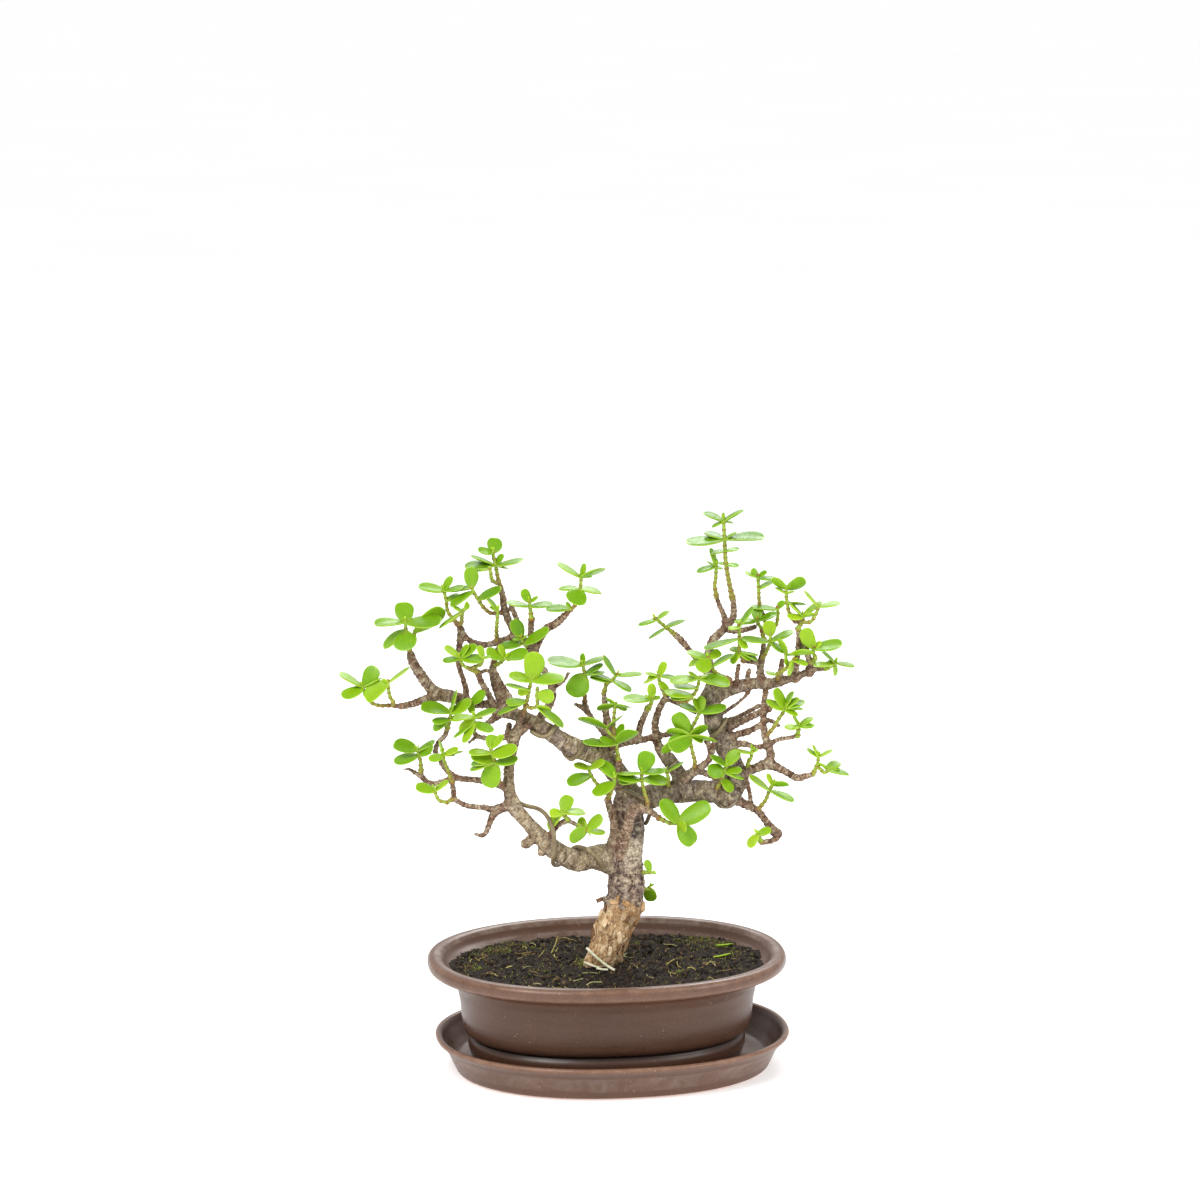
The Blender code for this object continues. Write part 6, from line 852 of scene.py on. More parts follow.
# Materials
class Web:
    """A short way to write a node material."""

    def __init__(self, name):
        self.mat = bpy.data.materials.new(name)
        self.mat.use_nodes = True
        self.tree = self.mat.node_tree
        self.shader = self.tree.nodes["Principled BSDF"]
        self.coords = self.tree.nodes.new("ShaderNodeTexCoord")

    def put(self, kind, ins=None, **settings):
        made = self.tree.nodes.new(kind)
        for key, value in settings.items():
            setattr(made, key, value)
        for key, value in (ins or {}).items():
            self.feed(made.inputs[key], value)
        return made

    def feed(self, socket, value):
        if isinstance(value, bpy.types.NodeSocket):
            self.tree.links.new(value, socket)
        elif isinstance(value, np.ndarray):
            socket.default_value = (float(value[0]), float(value[1]), float(value[2]), 1.0)
        else:
            socket.default_value = value

    def noise(self, scale, detail=3.0, rough=0.55, stretch=None, warp=0.0):
        place = self.coords.outputs["Object"]
        if stretch:
            place = self.put("ShaderNodeMapping", {"Vector": place, "Scale": stretch}).outputs[0]
        sizes = {"Vector": place, "Scale": scale, "Detail": detail, "Roughness": rough, "Distortion": warp}
        return self.put("ShaderNodeTexNoise", sizes).outputs[0]

    def cells(self, scale):
        place = self.coords.outputs["Object"]
        return self.put("ShaderNodeTexVoronoi", {"Vector": place, "Scale": scale}).outputs[0]

    def ramp(self, value, *stops):
        made = self.put("ShaderNodeValToRGB", {"Fac": value})
        line = made.color_ramp
        while len(line.elements) < len(stops):
            line.elements.new(0.5)
        for spot, (place, colour) in zip(line.elements, stops):
            spot.position = place
            if np.isscalar(colour):
                colour = (colour, colour, colour)
            spot.color = (float(colour[0]), float(colour[1]), float(colour[2]), 1.0)
        return made.outputs[0]

    def step(self, value, low, high):
        """Nought below low and one above high, or the other way round."""
        if low < high:
            return self.ramp(value, (low, 0.0), (high, 1.0))
        return self.ramp(value, (high, 1.0), (low, 0.0))

    def blend(self, share, one, two, kind="MIX"):
        made = self.put("ShaderNodeMix", data_type="RGBA", blend_type=kind)
        self.feed(made.inputs[0], share)
        self.feed(made.inputs[6], one)
        self.feed(made.inputs[7], two)
        return made.outputs[2]

    def math(self, kind, one, two):
        made = self.put("ShaderNodeMath", operation=kind)
        self.feed(made.inputs[0], one)
        self.feed(made.inputs[1], two)
        return made.outputs[0]

    def times(self, one, two):
        return self.math("MULTIPLY", one, two)

    def stain(self, colour, share, strength, tone):
        """Lay a tone over a colour where share is high."""
        return self.blend(self.times(share, strength), colour, linear(*tone))

    def value(self, name):
        return self.put("ShaderNodeAttribute", attribute_name=name).outputs["Fac"]

    def paint(self):
        return self.put("ShaderNodeAttribute", attribute_name="paint").outputs["Color"]

    def bump(self, height, strength, distance, under=None):
        made = self.put("ShaderNodeBump", {"Height": height, "Strength": strength, "Distance": distance})
        if under is not None:
            self.feed(made.inputs["Normal"], under)
        return made.outputs[0]

    def done(self, colour, rough, normal=None, **constants):
        self.feed(self.shader.inputs["Base Color"], colour)
        self.feed(self.shader.inputs["Roughness"], rough)
        if normal is not None:
            self.feed(self.shader.inputs["Normal"], normal)
        for key, value in constants.items():
            self.shader.inputs[key.replace("_", " ")].default_value = value
        return self.mat


def clay_material(name, tone):
    """Fired brown clay: clouded body, paler edges from wear and painted highlights, whitish haze, specks,
    grit, painted shade in the groove, under the lip and towards the foot, and a painted reflection on the
    saucer's foot.
    """
    web = Web(name)
    body = linear(92, 62, 46) * tone
    dark = linear(68, 45, 32) * tone
    pale = linear(148, 114, 94) * tone
    colour = web.blend(web.step(web.noise(28, 4, 0.6), 0.32, 0.68), dark * 0.45 + body * 0.55, body)
    # Paler edges: partly wear, partly painted highlights on the lip and on the shoulder over the groove
    edge = web.times(web.value("wear_and_highlight"), web.ramp(web.noise(180, 3), (0.3, 0.45), (0.65, 1.0)))
    colour = web.blend(edge, colour, pale)
    sand = web.ramp(web.noise(1500, 2, 0.7), (0.36, 0.0), (0.5, 0.5), (0.66, 1.0))
    colour = web.blend(0.2, colour, sand, "SOFT_LIGHT")
    cloud = web.ramp(web.noise(95, 6, 0.7, warp=0.6), (0.42, 0.12), (0.68, 1.0))
    colour = web.blend(web.times(web.value("haze"), cloud), colour, linear(178, 162, 152))
    specks = web.times(web.step(web.cells(330), 0.11, 0.07), web.step(web.noise(60), 0.5, 0.6))
    colour = web.stain(colour, specks, 0.5, (196, 180, 168))
    grit = web.times(web.step(web.cells(420), 0.1, 0.06), web.step(web.noise(75), 0.52, 0.6))
    colour = web.stain(colour, grit, 0.6, (38, 27, 24))
    # Painted shade: dark brown laid into the pot's groove, under its lip, towards its foot, and low inside
    # the saucer
    colour = web.blend(web.value("painted_shade"), colour, linear(44, 30, 24))
    # Painted reflection: warm pale light along the saucer's foot
    colour = web.blend(web.value("painted_reflection"), colour, linear(226, 168, 138))
    rough = web.ramp(web.noise(60, 4), (0.3, 0.27), (0.7, 0.42))
    grain = web.bump(web.noise(1400, 3, 0.6), 0.08, 0.0004)
    waves = web.bump(web.noise(45, 2, stretch=(0.35, 0.35, 3.0)), 0.1, 0.002, grain)
    return web.done(colour, rough, waves, Specular_IOR_Level=0.42)


def bark_material():
    """Bark over its own paint: cracks, flecks, peeled streaks at the foot and creases round the limbs."""
    web = Web("bark_paint")
    colour = web.paint()
    peel = web.value("peel")
    fibre = web.noise(420, 5, 0.65, stretch=(1.0, 1.0, 0.3), warp=0.4)
    dark = web.blend(1.0, colour, linear(150, 120, 100), "MULTIPLY")
    colour = web.blend(web.step(fibre, 0.34, 0.46), dark, colour)
    dots = web.ramp(web.noise(1100, 3, 0.6), (0.35, 0.25), (0.5, 0.5), (0.66, 0.8))
    colour = web.blend(0.8, colour, dots, "OVERLAY")
    flecks = web.step(web.noise(640, 4, 0.7), 0.6, 0.68)
    colour = web.stain(colour, flecks, web.value("fleck"), (214, 196, 170))
    streak = web.step(web.noise(230, 4, 0.6, stretch=(1.0, 1.0, 0.22), warp=0.8), 0.55, 0.68)
    colour = web.stain(colour, streak, web.times(peel, 0.75), (226, 196, 154))
    rust = web.step(web.noise(150, 3, 0.6, stretch=(1.0, 1.0, 0.4)), 0.52, 0.66)
    colour = web.stain(colour, rust, web.times(peel, 0.4), (158, 112, 72))
    place = web.put("ShaderNodeSeparateXYZ", {"Vector": web.coords.outputs["Object"]}).outputs
    across, upward = web.times(place[0], 190.0), web.times(place[2], 190.0)
    wrap = web.put("ShaderNodeCombineXYZ", {"X": web.times(web.value("run"), 1.5), "Y": across, "Z": upward})
    sizes = {"Vector": wrap.outputs[0], "Scale": 1.0, "Detail": 4.0, "Roughness": 0.6}
    folds = web.put("ShaderNodeTexNoise", sizes).outputs[0]
    whole = web.math("SUBTRACT", 1.0, peel)
    colour = web.stain(colour, web.times(web.step(folds, 0.46, 0.36), whole), 0.6, (66, 48, 38))
    colour = web.stain(colour, web.times(web.step(folds, 0.56, 0.66), whole), 0.5, (220, 206, 178))
    height = web.blend(0.5, web.blend(0.5, fibre, folds), web.noise(900, 4, 0.7))
    return web.done(colour, 0.82, web.bump(height, 0.9, 0.0009), Specular_IOR_Level=0.25)


def leaf_material():
    """Fleshy green leaf: its tint, darker for leaves further back as painted shade, mottled, with a paler
    foot, rim and underside and a slight blush.
    """
    web = Web("leaf_flesh")
    young = linear(172, 202, 38)
    colour = web.ramp(web.value("tint"), (0.0, linear(66, 124, 2)), (0.5, linear(118, 166, 4)), (1.0, young))
    colour = web.stain(colour, web.step(web.noise(330, 3, 0.6), 0.3, 0.7), 0.3, (150, 188, 34))
    colour = web.stain(colour, web.step(web.noise(900, 2, 0.5), 0.4, 0.62), 0.12, (70, 130, 30))
    colour = web.stain(colour, web.step(web.value("along"), 0.3, 0.0), 0.5, (172, 192, 74))
    rim = web.step(web.value("rim"), 0.8, 0.97)
    colour = web.stain(colour, rim, 0.5, (190, 212, 92))
    blush = web.times(rim, web.step(web.noise(120, 2), 0.58, 0.7))
    colour = web.stain(colour, blush, 0.4, (190, 130, 80))
    colour = web.stain(colour, web.step(web.value("under"), 0.4, 0.6), 0.3, (134, 174, 40))
    rough = web.ramp(web.noise(260, 3), (0.3, 0.3), (0.7, 0.44))
    swell = web.bump(web.noise(210, 2, 0.5), 0.06, 0.0008)
    return web.done(
        colour, rough, web.bump(web.noise(900, 3, 0.5), 0.1, 0.0003, swell), Specular_IOR_Level=0.28,
        Subsurface_Weight=0.35, Subsurface_Radius=(0.5, 1.0, 0.15), Subsurface_Scale=0.0012,
    )


def stem_material():
    """Green stem that browns with age, with orange rings at the old leaf scars."""
    web = Web("green_stem")
    age = web.math("ADD", web.value("age"), web.times(web.math("SUBTRACT", web.noise(300, 2), 0.5), 0.5))
    colour = web.ramp(
        age, (0.0, linear(146, 178, 56)), (0.35, linear(144, 154, 54)), (0.62, linear(144, 126, 62)),
        (0.8, linear(120, 88, 66)), (1.0, linear(128, 104, 86)),
    )
    colour = web.stain(colour, web.step(web.value("ring"), 0.45, 0.85), 0.8, (146, 88, 44))
    dots = web.ramp(web.noise(1300, 2, 0.6), (0.38, 0.3), (0.62, 0.72))
    colour = web.blend(0.5, colour, dots, "OVERLAY")
    colour = web.stain(colour, web.step(web.noise(900, 3, 0.7), 0.62, 0.7), 0.45, (206, 188, 150))
    return web.done(colour, 0.55, web.bump(web.noise(800, 3, 0.6), 0.5, 0.0004), Specular_IOR_Level=0.35)


def grain_material(name, rough, bump_scale, strength):
    """For small pieces that carry their own paint."""
    web = Web(name)
    colour = web.paint()
    dots = web.ramp(web.noise(bump_scale, 3, 0.6), (0.35, 0.22), (0.65, 0.78))
    colour = web.blend(0.6, colour, dots, "OVERLAY")
    normal = web.bump(web.noise(bump_scale, 4, 0.65), strength, 0.0006)
    return web.done(colour, rough, normal, Specular_IOR_Level=0.3)


def wire_material(name, tone):
    """Worn khaki wire; a lower tone makes it darker."""
    web = Web(name)
    wear = web.step(web.noise(200, 3, 0.6), 0.35, 0.7)
    colour = web.blend(wear, linear(118, 102, 74) * tone, linear(156, 139, 106) * tone)
    colour = web.stain(colour, web.step(web.noise(520, 4, 0.7), 0.56, 0.68), 0.5, (82, 68, 50))
    rough = web.ramp(web.noise(500, 2), (0.3, 0.38), (0.7, 0.55))
    return web.done(colour, rough, web.bump(web.noise(1200, 2), 0.15, 0.0003), Metallic=0.35)


def tie_material():
    """Off-white fibre with a greenish stain."""
    web = Web("tie_fibre")
    colour = web.blend(web.step(web.noise(400, 3), 0.4, 0.62), linear(226, 222, 196), linear(176, 184, 134))
    colour = web.stain(colour, web.step(web.noise(900, 3, 0.7), 0.58, 0.7), 0.5, (120, 110, 70))
    return web.done(colour, 0.6, web.bump(web.noise(900, 3), 0.4, 0.0003))


# Pot and saucer
def oval(radius, angle):
    """Point of the pot oval at an angle; radius is half its length."""
    if radius >= OVAL_CORE:
        wide = radius - OVAL_INSET
    else:
        wide = radius * (OVAL_CORE - OVAL_INSET) / OVAL_CORE
    c = math.cos(angle)
    s = math.sin(angle)
    return (
        radius * math.copysign(abs(c) ** (2.0 / OVAL_POWER), c),
        wide * math.copysign(abs(s) ** (2.0 / OVAL_POWER), s),
    )


def rounded(profile, sharp, step=0.8):
    """Profile with softened corners; sharp is how far from a corner the bend starts."""
    made = [np.array(profile[0], float)]
    for i in range(1, len(profile) - 1):
        a, b, c = (np.array(profile[i + k], float) for k in (-1, 0, 1))
        la, lc = np.linalg.norm(a - b), np.linalg.norm(c - b)
        da = min(sharp, la * 0.49)
        dc = min(sharp, lc * 0.49)
        p, q = b + (a - b) / la * da, b + (c - b) / lc * dc
        for t in (0.0, 0.2, 0.4, 0.6, 0.8, 1.0):
            made.append((1 - t) ** 2 * p + 2 * t * (1 - t) * b + t * t * q)
    made.append(np.array(profile[-1], float))
    full = [made[0]]
    for spot in made[1:]:
        gap = np.linalg.norm(spot - full[-1])
        if gap < 0.05:
            continue
        start = full[-1]
        for k in range(1, int(gap / step) + 1):
            if k * step < gap - 0.05:
                full.append(start + (spot - start) * (k * step / gap))
        full.append(spot)
    return full


def lathe(name, profile, shift, looks):
    """Oval vessel from a profile; looks gives each point value from its radius and height."""
    spots, faces = [], []
    values = {key: [] for key in looks}
    for r, z in profile:
        for k in range(LATHE_SIDES):
            a = 2 * math.pi * k / LATHE_SIDES
            x, y = oval(max(r, 0.02), a)
            wob = 0.12 * noise.noise(Vector((math.cos(a) * 1.6, math.sin(a) * 1.6, z * 0.03))) - 0.12
            spots.append(((x + wob * math.cos(a) + shift) * MM, (y + wob * math.sin(a)) * MM, z * MM))
        for key, look in looks.items():
            values[key] += [look(r, z)] * LATHE_SIDES
    for i in range(len(profile) - 1):
        low, high = i * LATHE_SIDES, (i + 1) * LATHE_SIDES
        for k in range(LATHE_SIDES):
            k2 = (k + 1) % LATHE_SIDES
            faces.append((low + k, low + k2, high + k2, high + k))
    faces.append(tuple(range(LATHE_SIDES - 1, -1, -1)))
    last = (len(profile) - 1) * LATHE_SIDES
    faces.append(tuple(last + k for k in range(LATHE_SIDES)))
    return mesh_object(name, spots, faces, values)


def near(r, z, spot, width):
    """How close a profile point is to a spot on the profile."""
    return bell(math.hypot(r - spot[0], z - spot[1]), 0, width)


def pot_wear_and_highlight(r, z):
    """Where the pot is pale from wear, with painted highlights along the lip's edges and on the shoulder over
    the groove.
    """
    lip = 0.42 * near(r, z, (79.4, 51.6), 1.1) + 0.2 * (r > 73 and z > 45.3)
    return min(1.0, lip + 0.3 * near(r, z, (80.0, 47.2), 0.9) + 0.25 * near(r, z, (64.3, 20.6), 1.4))


def pot_haze(r, z):
    """Where whitish haze lies on the pot."""
    return 0.46 * level(z, 42.0, 50.0) if r < 77.0 and (z > 52 or r < z + 23.0) else 0.0


def pot_painted_shade(r, z):
    """Painted shade on the pot: in the groove, under the lip, and darker towards the foot."""
    foot = 0.7 * bell(z, 16.1, 0.9) + 0.3 * bell(z, 44.6, 1.0) + 0.3 * level(36.0 - z, 0.0, 20.0)
    return foot * (r > 60.0)


def saucer_wear_and_highlight(r, z):
    """Where the saucer is pale from wear, with a painted highlight along the top of its rim."""
    return min(1.0, 0.6 * near(r, z, (79.0, 16.2), 1.4))


def saucer_haze(r, z):
    """Where whitish haze lies on the saucer."""
    return 0.2 if 4.2 < z < 14 and r < 75.2 else 0.0


def saucer_painted_reflection(r, z):
    """Painted reflection: the saucer's foot lit warm and pale from below."""
    return 0.75 * bell(z, 0.3, 0.35) * (r > 66.5)


def saucer_painted_shade(r, z):
    """Painted shade on the saucer: under its rim, and low inside it in the inner corner and on the floor."""
    return 0.22 * near(r, z, (76.3, 12.4), 0.9) + 0.35 * bell(z, 5.0, 1.0) * (r < 72.0)


def no_painted_reflection(r, z):
    """The pot gets no painted reflection at its foot."""
    return 0.0


# The groove over the foot is drawn a little deeper than the solid's
pot_profile = [(40.0, 4.9)]
for r, z in POT_WALL:
    in_groove = abs(z - GROOVE_HEIGHT) < 0.1 and r > 60.5
    pot_profile.append((r - GROOVE_DEPTH if in_groove else r, z))
pot_profile = rounded(pot_profile + [(30.0, 9.0)], 1.15)
looks = {"wear_and_highlight": pot_wear_and_highlight, "haze": pot_haze, "painted_reflection": no_painted_reflection, "painted_shade": pot_painted_shade}
pot = lathe("pot_clay_body", pot_profile, POT_SHIFT_X, looks)
settle(pot, "pot_clay", clay_material("pot_brown_clay", 1.0), "pot")

saucer_profile = rounded([(40.0, 0.0)] + SAUCER_WALL + [(30.0, 4.3)], 1.3)
looks = {"wear_and_highlight": saucer_wear_and_highlight, "haze": saucer_haze, "painted_reflection": saucer_painted_reflection, "painted_shade": saucer_painted_shade}
saucer = lathe("saucer_clay_body", saucer_profile, 0.0, looks)
settle(saucer, "saucer_clay", clay_material("saucer_brown_clay", 1.24), "saucer")

# Wood
cores = []
core_spots, core_radii = [], []
shapes = []
for name, rows in WOOD.items():
    path, radii = flow([seen(table(row)) for row in rows], [row[3] for row in rows], 0.7 * MM)
    radii = np.maximum(radii, 0.4)
    runs = np.gradient(path, axis=0)
    length = travelled(path)
    runs /= np.maximum(np.linalg.norm(runs, axis=1), 1e-12)[:, None]
    core_spots += list(path)
    core_radii += list(radii)
    cores += [(name, length[i], runs[i]) for i in range(len(path))]
    base = radii.copy()
    if name != "trunk":
        collar = 0.08 if name in ("front_branch", "left_fork") else 0.26
        base = base * (1.0 + collar * np.exp(-length / np.maximum(radii[0] * 1.1, 1.0)))
    sides = 28 if radii.max() > 5 else 20 if radii.max() > 2.6 else 14
    shapes.append(sweep(path, base * MM, sides)[:2])
for x, z, depth, radius in BUMPS:
    spot = seen(Vector((x, depth, z)))
    rise = Vector((0, 0, 0.3 * MM))
    shapes.append(sweep([spot - rise, spot, spot + rise], [radius * MM] * 3, 12)[:2])

spots, faces = join(shapes)
wood = mesh_object("bark_and_limbs", spots, faces)
remesh = wood.modifiers.new("even", "REMESH")
remesh.mode = "VOXEL"
remesh.voxel_size = WOOD_GRID * MM
smooth = wood.modifiers.new("smooth", "SMOOTH")
smooth.factor = 0.5
smooth.iterations = 4
graph = bpy.context.evaluated_depsgraph_get()
mesh = bpy.data.meshes.new_from_object(wood.evaluated_get(graph))
wood.modifiers.clear()
wood.data = mesh

TAN, OCHRE, CREAM = linear(196, 162, 120), linear(176, 136, 90), linear(226, 200, 162)
UMBER, PURPLE, SPOT = linear(128, 96, 68), linear(136, 114, 102), linear(88, 74, 72)
LICHEN, ASH, SLATE = linear(206, 192, 168), linear(118, 108, 100), linear(78, 74, 74)
KHAKI, MOSSY = linear(150, 131, 102), linear(112, 108, 72)
TWIG, YOUNG, GREY = linear(138, 112, 92), linear(126, 92, 72), linear(140, 124, 112)


def core_search(chosen):
    """What finds the nearest of the chosen middle points."""
    tree = KDTree(len(chosen))
    for i in chosen:
        tree.insert(Vector(tuple(core_spots[i])), i)
    tree.balance()
    return tree


def foot_bark(u, z, edge, groove, patch):
    """Peeled bark under the edge at the trunk's foot: how far it swells, and its colour."""
    plate = noise.noise(Vector((u.x * 0.75, u.y * 0.75, u.z * 0.2)) + Vector((4, 4, 4)))
    push = 0.2 * (1 if plate > 0.05 else 0) + 0.3 * (groove - 0.75) + 0.1
    colour = mixed(TAN, CREAM, level(patch, 0.05, 0.35) * 0.8)
    colour = mixed(colour, OCHRE, level(-patch, 0.05, 0.4) * 0.7 + 0.25 * level(z, 68, 75))
    if 0 < edge - z < 1.2:
        colour = mixed(colour, UMBER, 0.55)
    if abs(plate - 0.05) < 0.05:
        colour = mixed(colour, UMBER, 0.75)
    colour = mixed(colour, UMBER, 0.6 * level(groove, 0.93, 1.0))
    return push, mixed(colour, linear(108, 88, 62), 0.55 * level(51.5 - z, 0.0, 5.0))


def bole_bark(colour, x, z, small, patch):
    """Purple brown bole with lichen and a slate patch on its right side, below the fork."""
    low = mixed(PURPLE, linear(160, 138, 118), level(patch, 0.0, 0.35))
    low = mixed(low, SPOT, 0.8 * level(-patch, 0.12, 0.3))
    band = level(z, 92, 96.5) * level(107.5 - z, 0, 3) * level(x + 0.2 * (z - 95), 4.0, 7.5)
    low = mixed(low, LICHEN, band * (0.45 + 0.5 * level(small, -0.35, 0.15)))
    cap = level(z, 105, 107.5) * level(116.0 - z, 0, 2.5) * level(x, 4.5, 8.0)
    low = mixed(low, mixed(SLATE, ASH, level(patch, -0.1, 0.2)), cap * 0.85)
    colour = mixed(low, colour, level(z, 118, 128))
    if abs(z - 84.0 - 0.25 * (x - 6)) < 2.0 and patch > -0.05:
        colour = mixed(colour, linear(178, 160, 146), 0.45)
    return colour


def limb_bark(name, along, radius, place, u, lump, small, groove, patch):
    """Ringed bark of trunk, limbs and twigs: how far it swells, and its colour."""
    x, z = place
    if radius < 2.5:
        rings = 0.5 + 0.5 * math.cos(2 * math.pi * along / 2.3 + 1.5 * lump + 0.9 * small)
        push = (0.3 * rings**3 - 0.08) * min(1.0, radius / 1.3) + 0.12 * small
    else:
        rings = 0.5 + 0.5 * math.cos(2 * math.pi * along / 3.4 + 2.4 * lump)
        push = 0.12 * (rings**3 - 0.3) + 0.3 * (groove - 0.8)
    tone = level(radius, 1.2, 4.0)
    shade = noise.fractal(u * 0.16 + Vector((3, 9, 2)), 0.8, 2.0, 3)
    old = mixed(KHAKI, GREY, level(shade, -0.25, 0.25))
    colour = mixed(mixed(TWIG, YOUNG, level(shade, -0.1, 0.3)), old, tone)
    if x > 20 and name != "trunk":
        colour = mixed(colour, mixed(ASH, MOSSY, level(patch, 0.0, 0.35)), 0.5 * tone)
    if name in ("left_low", "left_cut_knob", "left_round_stub"):
        colour = mixed(colour, linear(160, 142, 112), 0.55)
    bole = -3.0 < x < 15.5 and 76 < z < 128 and radius > 3.4
    if bole and (name == "trunk" or (name == "left_low" and x > 0)):
        colour = bole_bark(colour, x, z, small, patch)
    if name in ("front_branch", "left_fork", "front_twig"):
        colour = mixed(colour, linear(150, 122, 100), 0.7)
    colour = mixed(colour, UMBER * 0.45, level(rings, 0.6, 0.0) * (0.48 if radius < 2.5 else 0.2))
    colour = mixed(colour, linear(202, 188, 162), 0.4 * level(patch, 0.16, 0.4))
    colour = mixed(colour, linear(84, 62, 50), 0.3 * level(-patch, 0.12, 0.4))
    return push, mixed(colour, linear(86, 72, 62), 0.5 * level(groove, 0.92, 1.0) * tone)


core_tree = core_search(range(len(core_spots)))
thick_tree = core_search([i for i in range(len(core_spots)) if core_radii[i] > 3.4])
count = len(mesh.vertices)
normals = np.zeros(count * 3)
mesh.vertices.foreach_get("normal", normals)
places = np.zeros(count * 3)
mesh.vertices.foreach_get("co", places)
normals, places = normals.reshape(-1, 3), places.reshape(-1, 3)
paint = np.zeros((count, 3))
peels, alongs, flecky = np.zeros(count), np.zeros(count), np.zeros(count)

for i in range(count):
    here = Vector(tuple(places[i]))
    found = core_tree.find_n(here, 5) + thick_tree.find_n(here, 2)
    index = min(found, key=lambda row: row[2] / MM - core_radii[row[1]])[1]
    name, along, run = cores[index]
    radius = core_radii[index]
    plane = BACK @ here
    x, y, z = plane.x / MM, plane.y / MM, plane.z / MM
    u = Vector((places[i][0] / MM, places[i][1] / MM, places[i][2] / MM))
    lump = noise.fractal(u * 0.33, 0.9, 2.0, 3)
    small = noise.noise(u * 1.15 + Vector((7, 3, 1)))
    axis = Vector(tuple(run))
    flat = u - axis * u.dot(axis) * 0.72
    groove = 1.0 - abs(noise.noise(flat * (0.95 if radius > 4 else 1.3)))
    patch = noise.fractal(u * 0.42 + Vector((11, 2, 5)), 0.8, 2.0, 4)
    edge = 0.0
    if name in ("trunk", "root_left", "root_right") and z < 82:
        edge = 76.5 + 1.3 * math.sin(x * 0.9 + 1.0) + 2.2 * noise.noise(Vector((x * 0.35, y * 0.35, 2.0)))
    if z < edge:
        peels[i] = 1.0
        push, colour = foot_bark(u, z, edge, groove, patch)
    else:
        push, colour = limb_bark(name, along, radius, (x, z), u, lump, small, groove, patch)
    push += 0.3 * lump * min(1.0, radius / 3.6) + 0.1 * small + 0.06
    alongs[i] = along + 0.5 * lump
    flecky[i] = 0.8 if name == "trunk" and 78 < z < 112 else 0.5
    paint[i] = np.clip(colour * (1.0 + 0.22 * small), 0.0, 1.0)
    places[i] += normals[i] * push * MM
mesh.vertices.foreach_set("co", np.clip(places, BOX_LOW, BOX_HIGH).ravel())
dress(mesh, {"peel": peels, "fleck": flecky, "run": alongs}, paint)
settle(wood, "bark", bark_material(), "trunk_and_branches")
bark_tree = search_tree(wood)


# Curling flakes of bark at the foot
def flake(centre, normal, along, wide, tall, curl, colour):
    """A thin curled plate: a small grid with two sides."""
    side = normal.cross(along).normalized()
    top, bottom = [], []
    rows, columns = 6, 7
    for i in range(columns):
        for j in range(rows):
            s = i / (columns - 1) * 2 - 1
            t = j / (rows - 1) * 2 - 1
            rough = 1.0 - 0.22 * abs(noise.noise(Vector((s * 2.1 + wide, t * 2.3, tall))))
            lift = curl * max(0.0, s + 0.3) ** 2 + 0.15 * noise.noise(Vector((s * 2, t * 2, wide * 3)))
            spot = centre + side * (s * wide * rough * MM) + along * (t * tall * rough * MM)
            spot = spot + normal * lift * MM
            top.append(spot + normal * 0.14 * MM)
            bottom.append(spot - normal * 0.14 * MM)
    n = len(top)
    faces = []
    for i in range(columns - 1):
        for j in range(rows - 1):
            a, b, c, d = i * rows + j, (i + 1) * rows + j, (i + 1) * rows + j + 1, i * rows + j + 1
            faces += [(a, b, c, d), (d + n, c + n, b + n, a + n)]
    ring = [i * rows for i in range(columns)] + [(columns - 1) * rows + j for j in range(1, rows)]
    ring += [i * rows + rows - 1 for i in range(columns - 2, -1, -1)] + [j for j in range(rows - 2, 0, -1)]
    for a, b in zip(ring, ring[1:] + ring[:1]):
        faces.append((b, a, a + n, b + n))
    return top + bottom, faces, [colour] * (2 * n)


flakes, flake_paint = [], []


def add_flake(x, z, depth, way, wide, tall, curl, colour, tilt):
    """Set one flake on the bark; depth and tilt place it."""
    touch, normal, _, _ = bark_tree.find_nearest(seen(Vector((x, depth, z))))
    up = Vector((0.25, 0.0, 1.0)).normalized()
    up = (up - normal * up.dot(normal)).normalized()
    up = Matrix.Rotation(tilt, 3, normal) @ up
    made = flake(touch + normal * 0.12 * MM, normal, up * way, wide, tall, curl, colour)
    flakes.append((made[0], made[1]))
    flake_paint.extend(made[2])


for row in FLAKES:
    add_flake(*row[:7], (TAN, OCHRE, CREAM, UMBER)[row[7]], row[8])
for _ in range(FLAKE_COUNT):
    a = fine.uniform(0, 2 * math.pi)
    z = fine.uniform(50, 76.5)
    share = (z - 43) / 33
    colour = (TAN, OCHRE, CREAM, UMBER, TAN)[fine.randrange(5)]
    add_flake(
        -5.5 + 10 * share + 9 * math.cos(a), z, 9 * math.sin(a), fine.choice((-1, 1)), fine.uniform(0.6, 1.3),
        fine.uniform(1.2, 2.8), fine.uniform(0.0, 0.22), colour, fine.uniform(-0.3, 0.3),
    )
piece("bark_flakes", flakes, "bark", grain_material("flake_bark", 0.85, 700, 0.6), colours=flake_paint)


# Wires
def pushed(rows, radius, trees, close):
    """A route laid on the surfaces, radius and a little room away from them."""
    knots = [seen(table(row)) for row in rows]
    path, _ = flow(knots, [1.0] * len(knots), 1.1 * MM)
    spots = [Vector(tuple(p)) for p in path]
    need = (radius + close) * MM
    for turn in range(14):
        for number, spot in enumerate(spots):
            for tree in trees:
                touch, normal, _, gap = tree.find_nearest(spot)
                away = spot - touch
                if away.dot(normal) < 0.0:
                    spot = touch + normal * need
                elif gap < need:
                    spot = touch + away.normalized() * need
                spots[number] = spot
        if turn < 12:
            for number in range(1, len(spots) - 1):
                spots[number] = spots[number] * 0.5 + (spots[number - 1] + spots[number + 1]) * 0.25
    return spots


